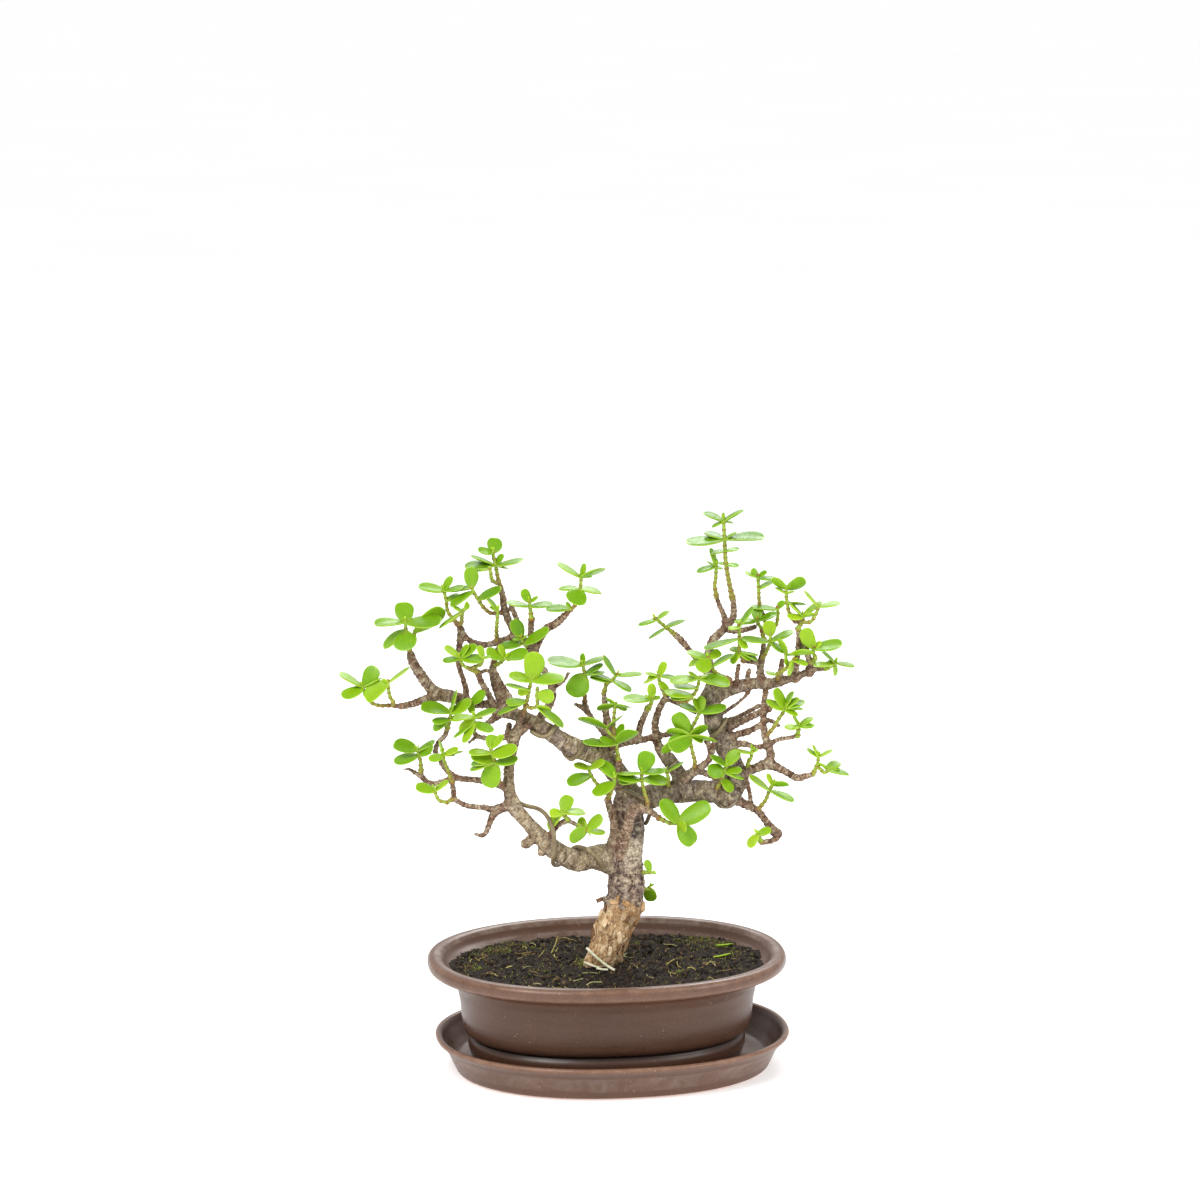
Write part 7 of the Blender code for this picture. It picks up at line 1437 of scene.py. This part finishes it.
wire_paint = wire_material("anodised_wire", 1.0)
for name, rows in WIRES.items():
    spots = pushed(rows, WIRE_RADIUS, [bark_tree], 0.02)
    shape = tube(spots, [WIRE_RADIUS] * len(spots), 0.5, 14, (0.35, 0.35))
    piece(name + "_round", [shape], "training_wire", wire_paint, name)
spots = pushed(DARK_WIRE, WIRE_RADIUS, [bark_tree], 0.02)
shape = tube(spots, [WIRE_RADIUS * 0.92] * len(spots), 0.5, 14, (0.35, 0.35))
piece("wire_collar", [shape], "training_wire", wire_material("aged_wire", 0.62))


# Soil
def moss_share(x, y):
    """How green the soil is at a place, from nought to one."""
    total = 0.0
    for mx, my, size, share in MOSS_SPOTS:
        total = max(total, share * math.exp(-((x - mx) ** 2 + (y - my) ** 2) / size**2))
    return total


def soil_height(x, y):
    """Height of the lumpy soil at a place, in mm."""
    reach = math.hypot(x / OPEN_LONG, y / OPEN_DEEP)
    z = SOIL_EDGE + SOIL_CROWN * (1.0 - min(1.0, reach))
    u = Vector((x, y, 0.0))
    z += 0.9 * noise.noise(u * 0.085) + 0.55 * noise.fractal(u * 0.28, 0.8, 2.0, 3)
    cell = noise.voronoi(u * 0.55)[0]
    z += 0.9 * (cell[1] - cell[0]) - 0.25
    z += 0.35 * noise.noise(u * 1.4)
    z -= 1.5 * level(y, 8.0, 44.0) * (1.0 - 0.5 * level(abs(x), 25.0, 55.0))
    z += 1.4 * math.exp(-((x + 8) ** 2 + (y + 2) ** 2) / 60.0)
    return z


def inside(x, y, long, deep):
    """Whether a place lies inside an oval of these half lengths."""
    return abs(x / long) ** OVAL_POWER + abs(y / deep) ** OVAL_POWER <= 1.0


def soil_spot(long, deep, margin):
    """A random place on the soil, at least a margin from the pot's lip."""
    while True:
        x, y = fine.uniform(-long, long), fine.uniform(-deep, deep)
        if inside(x, y, OPEN_LONG - margin, OPEN_DEEP - margin):
            return x, y


def ground(x, y):
    """Point on the soil, in metres."""
    return Vector(((x + POT_SHIFT_X) * MM, y * MM, soil_height(x, y) * MM))


across, deep = int(-2 * SOIL_START[0] / SOIL_GRID), int(-2 * SOIL_START[1] / SOIL_GRID)
keep = {}
spots, faces, colours = [], [], []
for j in range(deep):
    for i in range(across):
        x, y = SOIL_START[0] + i * SOIL_GRID, SOIL_START[1] + j * SOIL_GRID
        if not inside(x, y, SOIL_LONG, SOIL_DEEP):
            continue
        keep[(i, j)] = len(spots)
        jx = x + 0.24 * noise.noise(Vector((x * 1.7, y * 1.7, 5.0)))
        jy = y + 0.24 * noise.noise(Vector((x * 1.7, y * 1.7, 9.0)))
        spots.append(ground(jx, jy))
        moss = moss_share(x, y) + 0.35 * noise.noise(Vector((x * 0.5, y * 0.5, 3)))
        damp = level(noise.noise(Vector((x * 0.8, y * 0.8, 1))), -0.2, 0.5)
        base = mixed(linear(26, 20, 16), linear(60, 46, 34), damp)
        colours.append(mixed(base, linear(70, 70, 34), 0.4 * level(moss, 0.25, 0.9)))
for (i, j), a in keep.items():
    corners = [a] + [keep.get(spot) for spot in ((i + 1, j), (i + 1, j + 1), (i, j + 1))]
    if None not in corners:
        faces.append(tuple(corners))
soil_paint = grain_material("dark_potting_mix", 0.9, 1500, 0.9)
soil = piece("soil_surface", [(spots, faces)], "soil", soil_paint, "soil", colours=colours)
soil_tree = search_tree(soil)


def ball():
    """A round body of 42 points and 80 faces: an icosahedron with every edge split."""
    golden = (1 + 5**0.5) / 2
    spots = []
    for a in (-1, 1):
        for b in (-golden, golden):
            spots += [Vector(row).normalized() for row in ((0, a, b), (a, b, 0), (b, 0, a))]
    faces, halves = [], {}

    def half(m, n):
        key = (min(m, n), max(m, n))
        if key not in halves:
            halves[key] = len(spots)
            spots.append((spots[m] + spots[n]).normalized())
        return halves[key]

    for i, j, k in itertools.combinations(range(12), 3):
        if all((spots[m] - spots[n]).length < 1.1 for m, n in ((i, j), (j, k), (i, k))):
            flat = (spots[j] - spots[i]).cross(spots[k] - spots[i])
            a, b, c = (i, j, k) if flat.dot(spots[i]) > 0 else (i, k, j)
            ab, bc, ca = half(a, b), half(b, c), half(c, a)
            faces += [(a, ab, ca), (ab, b, bc), (ca, bc, c), (ab, bc, ca)]
    return spots, faces


ball_spots, ball_faces = ball()
shapes, colours = [], []
for _ in range(CRUMB_COUNT):
    x, y = soil_spot(69, 51, 1.5)
    size = fine.uniform(0.35, 0.75) if fine.random() < 0.75 else fine.uniform(0.75, 1.35)
    spot = ground(x, y) + Vector((0, 0, size * 0.2 * MM))
    spin = fine.uniform(0, 6.3)
    turn = Matrix.Rotation(spin, 3, Vector((fine.random(), fine.random(), fine.random())).normalized())
    shift = Vector((fine.uniform(0, 50), 0, 0))
    stretch = Vector((fine.uniform(0.75, 1.3), fine.uniform(0.75, 1.3), fine.uniform(0.6, 1.0)))
    made = []
    for p in ball_spots:
        q = p * (1.0 + 0.5 * noise.noise(p * 1.6 + shift))
        made.append(spot + turn @ (q * stretch) * size * MM)
    shapes.append((made, ball_faces))
    roll = fine.random()
    tone = linear(38, 30, 25) if roll < 0.6 else linear(66, 52, 40) if roll < 0.9 else linear(104, 84, 60)
    if fine.random() < 0.5 * moss_share(x, y):
        tone = linear(96, 104, 42)
    colours += [tone] * len(made)
piece("soil_crumbs", shapes, "soil", grain_material("crumb_mix", 0.9, 1800, 0.9), colours=colours)

# Moss: tiny tufts of short blades
TUFT_FACES = [(0, 1, 4, 3), (1, 2, 5, 4), (2, 0, 3, 5), (3, 4, 6), (4, 5, 6), (5, 3, 6)]
shapes, colours = [], []
while len(shapes) < TUFT_COUNT:
    x, y = soil_spot(69, 51, 1.2)
    if fine.random() > moss_share(x, y) ** 1.6 * 0.9 + 0.035:
        continue
    foot = ground(x, y)
    tall = fine.uniform(0.5, 1.5)
    lean = Vector((fine.uniform(-0.8, 0.8), fine.uniform(-0.8, 0.8), 1.0)).normalized()
    side = lean.orthogonal().normalized()
    other = lean.cross(side)
    wide = fine.uniform(0.13, 0.3)
    ring = [side * math.cos(a) + other * math.sin(a) for a in (0, 2.1, 4.2)]
    made = [foot + way * wide * MM for way in ring]
    made += [foot + lean * tall * 0.55 * MM + way * wide * 0.8 * MM for way in ring]
    made.append(foot + lean * tall * MM + Vector((0.2 * MM, 0, 0)))
    shapes.append((made, TUFT_FACES))
    roll = fine.random()
    green = mixed(linear(88, 92, 36), linear(164, 160, 72), roll * roll)
    colours += [green if fine.random() < 0.7 else linear(112, 94, 52)] * 7
piece("moss_tufts", shapes, "soil", grain_material("moss_green", 0.8, 1500, 0.4), colours=colours)

# Straw fibres and a few longer straws
STRAW_TONES = (linear(176, 160, 92), linear(142, 116, 70), linear(196, 188, 130))
shapes, colours = [], []
for _ in range(STRAW_COUNT):
    x, y = soil_spot(66, 48, 6)
    a = fine.uniform(0, 6.3)
    long = fine.uniform(2.0, 7.0)
    knots = []
    for t in (0, 0.33, 0.66, 1.0):
        px, py = x + math.cos(a + 0.5 * t) * long * t, y + math.sin(a + 0.5 * t) * long * t
        knots.append(ground(px, py) + Vector((0, 0, (0.45 + fine.uniform(0, 0.6)) * MM)))
    shapes.append(tube(knots, [fine.uniform(0.1, 0.22)] * 4, 0.8, 6))
    colours += [STRAW_TONES[fine.randrange(3)]] * len(shapes[-1][0])
for x0, z0, x1, z1, depth, thick in STRAWS:
    a, b = seen(Vector((x0, depth, z0))), seen(Vector((x1, depth, z1)))
    shapes.append(tube([a, (a + b) * 0.5 + Vector((0.5 * MM, 0, 0.4 * MM)), b], [thick] * 3, 0.7, 8))
    colours += [linear(190, 178, 104)] * len(shapes[-1][0])
piece("straw_bits", shapes, "soil", grain_material("dry_straw", 0.75, 1200, 0.4), colours=colours)

# Tie with its two short ends
shapes = []
cords = [(TIE, TIE_RADIUS, TIE_RADIUS * 0.85, 12)] + [(rows, 0.55, 0.5, 10) for rows in TIE_ENDS]
for rows, room, radius, sides in cords:
    spots = pushed(rows, room, [bark_tree, soil_tree], -0.1)
    shapes.append(tube(spots, [radius] * len(spots), 0.5, sides, (0.4, 0.4)))
piece("tie_cord", shapes, "tie", tie_material(), "base_tie")


# Shoots: the same route and swing rules as the solids
def blade_probe(base, tip, face, wide, thick, curl, rows):
    """Coarse blade with a little room round it, used to find where a leaf is clear."""
    axis = (tip - base).normalized()
    side = axis.cross(face).normalized()
    length = (tip - base).length
    grow = NODE_GAP * MM
    if rows == 4:
        marks = ((0.13, 0.27, 0.75), (0.52, 1.0, 1.0), (0.85, 0.78, 0.8))
    else:
        marks = ((0.3, 0.75, 0.9), (0.75, 0.9, 0.9))
    spots = [base - axis * LEAF_FOOT * MM]
    for along, broad, deep in marks:
        centre = base + axis * along * length - face * curl * along * along
        for x, y in ((1, 0), (0, 1), (-1, 0), (0, -1)):
            spot = centre + side * x * (broad * wide * 0.5 + grow)
            spots.append(spot + face * y * (deep * thick * 0.5 + grow))
    spots.append(base + axis * (length + grow) - face * curl)
    faces = []
    for k in range(4):
        k2 = (k + 1) % 4
        faces.append((0, 1 + k, 1 + k2))
        for ring in range(len(marks) - 1):
            a = 1 + ring * 4
            faces.append((a + k, a + 4 + k, a + 4 + k2, a + k2))
        a = 1 + (len(marks) - 1) * 4
        faces.append((a + k, len(spots) - 1, a + k2))
    return spots, faces


def stem_probe(spots, radii):
    """Coarse stem with a little room round it."""
    made, faces = [], []
    for number, spot in enumerate(spots):
        before = spots[max(number - 1, 0)]
        after = spots[min(number + 1, len(spots) - 1)]
        along = (after - before).normalized()
        one = along.orthogonal().normalized()
        two = along.cross(one)
        for k in range(6):
            turn = math.pi * k / 3.0
            way = one * math.cos(turn) + two * math.sin(turn)
            made.append(spot + way * (radii[number] + NODE_GAP) * MM)
        if number:
            start = 6 * (number - 1)
            for k in range(6):
                k2 = (k + 1) % 6
                faces.append((start + k, start + k2, start + 6 + k2, start + 6 + k))
    return made, faces


def leaf_face(base, tip, along, wide_seen, wide):
    """Which way a leaf looks, so that it shows its seen width and turns least."""
    axis = (tip - base).normalized()
    upward = along - axis * along.dot(axis)
    if upward.length < 0.2:
        upward = Vector((0.0, 0.0, 1.0)) - axis * axis.z
    if upward.length < 0.2:
        upward = TURN @ LOOK
        upward = upward - axis * upward.dot(axis)
    upward.normalize()
    side = axis.cross(upward)
    look = TURN @ LOOK
    flat = look - axis * look.dot(axis)
    if flat.length < 0.05:
        return upward
    flat.normalize()
    start = math.atan2(side.dot(flat), upward.dot(flat))
    open_angle = math.acos(min(1.0, max(0.0, wide_seen / wide)))
    choices = []
    for half in (0.0, math.pi):
        for sign in (-1.0, 1.0):
            turn = start + sign * open_angle + half
            turn = (turn + math.pi) % (2.0 * math.pi) - math.pi
            choices.append(turn)
    turn = min(choices, key=abs)
    return upward * math.cos(turn) + side * math.sin(turn)


def away_from_wood(first, second, spot, radius, run, at_tip):
    """The way a shoot leaves the wood."""
    target = first
    if (first - spot).length < radius + STUB_LENGTH + 0.8:
        target = second
    way = (target - spot).normalized()
    if at_tip:
        return way
    run = run.normalized()
    across = way - run * way.dot(run)
    if across.length < 0.2:
        across = Vector((0.0, -1.0, 0.0)) - run * -run.y
    across.normalize()
    return (across + run * max(-0.6, min(0.6, way.dot(run)))).normalized()


def settled(start, way, knots):
    """Knots of a stem that lie ahead of its start."""
    good = len(knots)
    for number, knot in enumerate(knots):
        if (knot - start).length > 1.6 and (knot - start).dot(way) > 0.0:
            good = number
            break
    made = [start + way * 1.4]
    if good == len(knots):
        for number in range(1, len(knots)):
            made.append(start + way * (1.4 + 1.3 * number))
        return made
    if good == 0:
        return knots
    for number in range(1, good):
        made.append(made[0].lerp(knots[good], number / good))
    return made + knots[good:]


def nearest_wood(spot, plane_only):
    """Nearest spot of the wood: place, radius, run and whether it is a tip."""
    best = None
    scale = Vector((1.0, 0.05 if plane_only else 0.6, 1.0))
    for rows in WOOD.values():
        for one, two in zip(rows, rows[1:]):
            a, b = table(one), table(two)
            aa, run = a * scale, (b - a) * scale
            share = min(1.0, max(0.0, (spot * scale - aa).dot(run) / max(run.length_squared, 1e-9)))
            gap = (aa + run * share - spot * scale).length
            radius = one[3] + (two[3] - one[3]) * share
            if best is None or gap - 0.3 * radius < best[0]:
                at_tip = two == rows[-1] and share > 0.97
                best = (gap - 0.3 * radius, a + (b - a) * share, radius, b - a, at_tip)
    return best[1:]


def clear_of(shape, trees):
    """Whether a shape touches none of the trees."""
    probe = BVHTree.FromPolygons(shape[0], shape[1])
    return not any(probe.overlap(tree) for tree in trees)


def leaf_blade(foot, head, face, wide, thick, curl, tint):
    """A fleshy blade: obovate outline, rounded edges, a shallow cup and a slight twist."""
    axis = (head - foot).normalized()
    side = axis.cross(face).normalized()
    face = side.cross(axis).normalized()
    length = (head - foot).length
    spots, faces = [], []
    marks = {"tint": [], "rim": [], "along": [], "under": []}
    lean = fine.uniform(0.58, 0.8)
    tail = fine.uniform(0.38, 0.46)
    peak = (lean / (lean + tail)) ** lean * (tail / (lean + tail)) ** tail
    cup = fine.uniform(-0.02, 0.11)
    twist = fine.uniform(-0.12, 0.12)
    sway = fine.uniform(-0.05, 0.05)
    for i in range(BLADE_RINGS):
        t = 0.5 - 0.5 * math.cos(math.pi * (i + 0.35) / (BLADE_RINGS - 0.3))
        broad = t**lean * (1 - t) ** tail / peak
        broad = max(broad, 0.2 * (1 - t / 0.25)) if t < 0.25 else broad
        deep = min(1.0, ((t + 0.12) / 0.4) ** 0.5) * min(1.0, ((1 - t) / 0.35) ** 0.5)
        centre = foot + axis * (t * (length + LEAF_FOOT * MM) - LEAF_FOOT * MM) - face * curl * t * t
        centre += side * sway * wide * math.sin(math.pi * t)
        roll = Matrix.Rotation(twist * t, 3, axis)
        for k in range(BLADE_SIDES):
            a = 2 * math.pi * k / BLADE_SIDES
            c, s = math.cos(a), math.sin(a)
            x = math.copysign(abs(c) ** 0.85, c)
            y = math.copysign(abs(s) ** 0.8, s)
            rise = cup * wide * x * x * broad - 0.1 * thick * math.exp(-(x / 0.16) ** 2) * (s > 0)
            wave = 1.0 + 0.025 * math.sin(9 * t + 3 * sway * 60 + (2.0 if c > 0 else 0.0))
            offset = side * x * broad * wide * 0.5 * wave + face * (y * deep * thick * 0.5 + rise)
            spots.append(centre + roll @ offset)
            marks["tint"].append(tint)
            marks["rim"].append(max(abs(x) ** 2, level(t, 0.8, 1.0) if broad < 0.8 else 0.0))
            marks["along"].append(t)
            marks["under"].append(1.0 if s < 0 else 0.0)
        if i:
            base = (i - 1) * BLADE_SIDES
            for k in range(BLADE_SIDES):
                k2 = (k + 1) % BLADE_SIDES
                faces.append((base + k, base + BLADE_SIDES + k, base + BLADE_SIDES + k2, base + k2))
    low, high = len(spots), len(spots) + 1
    spots += [foot - axis * LEAF_FOOT * MM, head - face * curl]
    ends = {"tint": [tint, tint], "rim": [0.0, 1.0], "along": [0.0, 1.0], "under": [0.5, 0.5]}
    for key in marks:
        marks[key] += ends[key]
    last = (BLADE_RINGS - 1) * BLADE_SIDES
    for k in range(BLADE_SIDES):
        k2 = (k + 1) % BLADE_SIDES
        faces += [(low, k, k2), (high, last + k2, last + k)]
    return spots, faces, marks


class Pile:
    """Shapes of one kind gathered for one piece, with their point values."""

    def __init__(self, *keys):
        self.shapes = []
        self.values = {key: [] for key in keys}

    def add(self, spots, faces, values):
        self.shapes.append((spots, faces))
        for key in self.values:
            self.values[key] += values[key]


def shoot_root(shoot):
    """Where a shoot leaves the wood: spot, radius there and the way it points."""
    root, stems, _ = shoot
    first, second = table(stems[0][0]), table(stems[0][1])
    hint = Vector((root[0], first.y, root[1])) if root else first
    spot, radius, run, at_tip = nearest_wood(hint, root is not None)
    return spot, radius, away_from_wood(first, second, spot, radius, run, at_tip)


def stem_route(start, knots, radii):
    """The first bend of a stem that is clear of all that stands, or None."""
    for skipped in range(len(knots)):
        path = [start] + knots
        for place in range(skipped):
            path[place + 1] = start.lerp(knots[skipped], (place + 1) / (skipped + 1))
        for bend in BENDS:
            bent = [dot + Vector(bend) * (place / (len(path) - 1)) ** 1.5 for place, dot in enumerate(path)]
            if clear_of(stem_probe([seen(dot) for dot in bent], radii), taken):
                return bent
    return None


def draw_stem(pile, name, points, sizes, first):
    """A green stem with swollen leaf scars, aged from its growing end."""
    path, wide = flow(points, [radius * MM for radius in sizes], 0.42 * MM)
    length = travelled(path)
    phase = fine.uniform(0, 6.3)
    wave = 0.5 + 0.5 * np.cos(2 * math.pi * length / 2.5 + phase + 0.6 * np.sin(length * 0.7))
    rings = wave**4
    wide = wide * (0.92 + 0.34 * rings)
    if first:
        wide = wide * (1.0 + 0.22 * np.exp(-length / 1.4))
    spots, faces, number = sweep(path, wide, 14)
    age = np.clip((length[-1] - length - 2.0) / BROWN_LENGTHS.get(name, BROWN_LENGTH), 0, 1)
    pile.add(spots, faces, {"age": [age[k] for k in number], "ring": [rings[k] for k in number]})


def draw_stems(name, stems, radii_ends, root):
    """All stems of a shoot. Gives the pile and each stem's route."""
    pile, lines = Pile("age", "ring"), []
    spot, radius, way = root
    thick_end, thin_end = radii_ends
    for number, rows in enumerate(stems):
        knots = [table(row) for row in rows]
        if number == 0:
            start = spot + way * (radius + STUB_LENGTH + STUB_GAP)
            knots = settled(start, way, knots)
        else:
            behind = knots[0] * 2.0 - knots[1]
            start = min(lines[0][1:], key=lambda dot: (dot - behind).length)
            knots = settled(start, (knots[-1] - start).normalized(), knots)
        radii = [thick_end + (thin_end - thick_end) * i / len(knots) for i in range(len(knots) + 1)]
        route = stem_route(start, knots, radii)
        if route is None and number:
            lines.append(lines[0])
            continue
        route = route or [start] + knots
        lines.append(route)
        points = [seen(dot) for dot in route]
        if number == 0:
            points = [seen(spot)] + points
            radii = [radii[0] * 1.15] + radii
        draw_stem(pile, name, points, radii, number == 0)
    return pile, lines


def leaf_place(row, line):
    """Where a leaf of the list stands clear: the blade's own measures and its base, or None."""
    _, point, tip_x, tip_z, reach, wide_seen = row
    short = abs(reach) < SMALLEST_LEAF
    point = min(point, len(line) - 2)
    base, before = line[point + 1], line[point]
    along = (seen(base) - seen(before)).normalized()
    if point + 2 == len(line):
        base = base + (before - base).normalized() * min(0.9, 0.6 * (before - base).length)
    span_x, span_z = tip_x - base.x, tip_z - base.z
    deep = math.sqrt(max(0.0, reach * reach - span_x * span_x - span_z * span_z))
    deep = -math.copysign(deep, reach)
    roll = fine.uniform(-0.1, 0.1) if short else chance.uniform(-0.12, 0.12)
    for size in (1.0,) if short else LEAF_SIZES:
        for swing in (0.0,) if short else LEAF_SWINGS:
            foot, head = seen(base), seen(base + Vector((span_x, deep + swing, span_z)) * size)
            length = (head - foot).length / MM
            wide = max(min(LEAF_ASPECT * length, 0.72 * abs(reach)), wide_seen * 1.02, 1.6)
            wide = min(wide * (0.5 + 0.5 * size), 0.86 * max(length, abs(reach)))
            face = leaf_face(foot, head, along, min(wide_seen, wide), wide)
            face = Matrix.Rotation(roll, 3, head - foot) @ face
            thick = min(1.5, max(0.9, 0.12 * length + 0.35))
            curl = 0.05 * length
            probe = blade_probe(foot, head, face, wide * MM, thick * MM, curl * MM, 4 if length > 9.5 else 3)
            if short or clear_of(probe, taken):
                return (foot, head, face, wide * MM, thick * 0.86 * MM, curl * MM), base
    return None


def draw_leaves(rows, lines):
    """All leaves of a shoot and a pair of tiny new ones at the growing end."""
    pile = Pile("tint", "rim", "along", "under")
    family = fine.uniform(-0.1, 0.1)
    for row in rows:
        found = leaf_place(row, lines[row[0]])
        if found is None:
            continue
        blade, base = found
        tint = 0.5 + family + fine.uniform(-0.17, 0.17) + (0.25 if abs(row[4]) < 8 else 0.0)
        # Painted shade: leaves further back get a darker tint
        tint -= 0.012 * (base.y + 5.0)
        pile.add(*leaf_blade(*blade, min(1.0, max(0.05, tint))))
    tip, before = seen(lines[0][-1]), seen(lines[0][-2])
    along = (tip - before).normalized()
    one = Matrix.Rotation(fine.uniform(0, 3.1), 3, along) @ along.orthogonal().normalized()
    for sign in (-1, 1):
        head = tip + (along * 0.85 + one * sign * 0.45).normalized() * fine.uniform(1.9, 2.8) * MM
        face = (along - one * sign).normalized()
        pile.add(*leaf_blade(tip - along * 0.3 * MM, head, face, 1.3 * MM, 0.6 * MM, 0.0, 1.0))
    return pile


leaf_paint = leaf_material()
stem_paint = stem_material()
taken = [search_tree(nodes_in[n]) for n in ("trunk_and_branches", "soil", "pot", *WIRES, "base_tie")]
# The solids' script draws once for each lump of its soil before the first leaf
for _ in range(SOIL_DRAWS):
    chance.uniform(-1, 1)
for name, shoot in SHOOTS.items():
    stems, lines = draw_stems(name, shoot[1], STEM_RADII.get(name, STEM_RADIUS), shoot_root(shoot))
    leaves = draw_leaves(shoot[2], lines)
    piece(name + "_leaves", leaves.shapes, "leaf", leaf_paint, name, values=leaves.values)
    if stems.shapes:
        piece(name + "_stems", stems.shapes, "leaf", stem_paint, name, values=stems.values)
    taken.append(search_tree(nodes_in[name]))

# Fallen leaves on the soil
lo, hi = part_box("fallen_leaf")
fallen = Pile("tint", "rim", "along", "under")
centre = (lo + hi) * 0.5
for shift, turn, long, tint in FALLEN:
    way = Matrix.Rotation(turn, 3, "Z") @ Vector((1, 0, 0))
    middle = centre + Vector(shift) * MM
    floor_z = max(
        soil_tree.ray_cast(middle + way * long * k * MM + Vector((0, 0, 0.02)), Vector((0, 0, -1)))[0].z
        for k in (-0.3, 0.0, 0.3)
    )
    middle.z = max(floor_z + 0.5 * MM, middle.z if shift[1] == 0 else 0.0)
    half = way * long * 0.5 * MM
    face = Vector((0, 0.45, 1)).normalized()
    fallen.add(*leaf_blade(middle - half, middle + half, face, long * 0.42 * MM, MM, -0.16 * long * MM, tint))
piece("fallen_leaf_blades", fallen.shapes, "leaf", leaf_paint, "fallen_leaf", values=fallen.values)

# Floor, light and camera
web = Web("studio_floor")
pale = web.ramp(web.noise(2.0, 2), (0.3, 0.92), (0.7, 0.94))
web.done(pale, 0.9, Specular_IOR_Level=0.05, Emission_Color=(1.0, 1.0, 1.0, 1.0), Emission_Strength=0.36)
bpy.ops.mesh.primitive_plane_add(size=160.0, location=(0, 0, -0.0001))
floor = bpy.context.object
floor.name = "floor"
floor.data.materials.append(web.mat)

world = bpy.data.worlds.new("studio")
scene.world = world
world.use_nodes = True
world.node_tree.nodes["Background"].inputs["Color"].default_value = (1.0, 1.0, 1.0, 1.0)
world.node_tree.nodes["Background"].inputs["Strength"].default_value = 0.68


def softbox(name, spot, target, size, power):
    """A rectangular lamp aimed at a target."""
    lamp = bpy.data.lights.new(name, "AREA")
    lamp.shape = "RECTANGLE"
    lamp.size = size[0]
    lamp.size_y = size[1]
    lamp.energy = power
    holder = bpy.data.objects.new(name, lamp)
    holder.location = spot
    holder.rotation_euler = (Vector(target) - Vector(spot)).to_track_quat("-Z", "Y").to_euler()
    scene.collection.objects.link(holder)


softbox("key", (-0.7, -0.8, 1.1), (0, 0, 0.12), (0.6, 0.6), 12.0)
softbox("fill", (0.9, -0.7, 0.7), (0, 0, 0.1), (0.6, 0.6), 4.5)
softbox("rim", (0.3, 0.9, 0.9), (0, 0, 0.12), (0.8, 0.4), 8.0)

camera = bpy.data.cameras.new("camera")
camera.lens = 111.45
camera.sensor_width = 36.0
camera.sensor_fit = "HORIZONTAL"
camera.clip_start = 0.01
camera.clip_end = 100.0
holder = bpy.data.objects.new("camera", camera)
holder.location = TURN @ EYE
holder.rotation_euler = (math.radians(90.0 - 10.37), 0.0, TREE_TURN)
scene.collection.objects.link(holder)
scene.camera = holder
scene.view_settings.view_transform = "Standard"
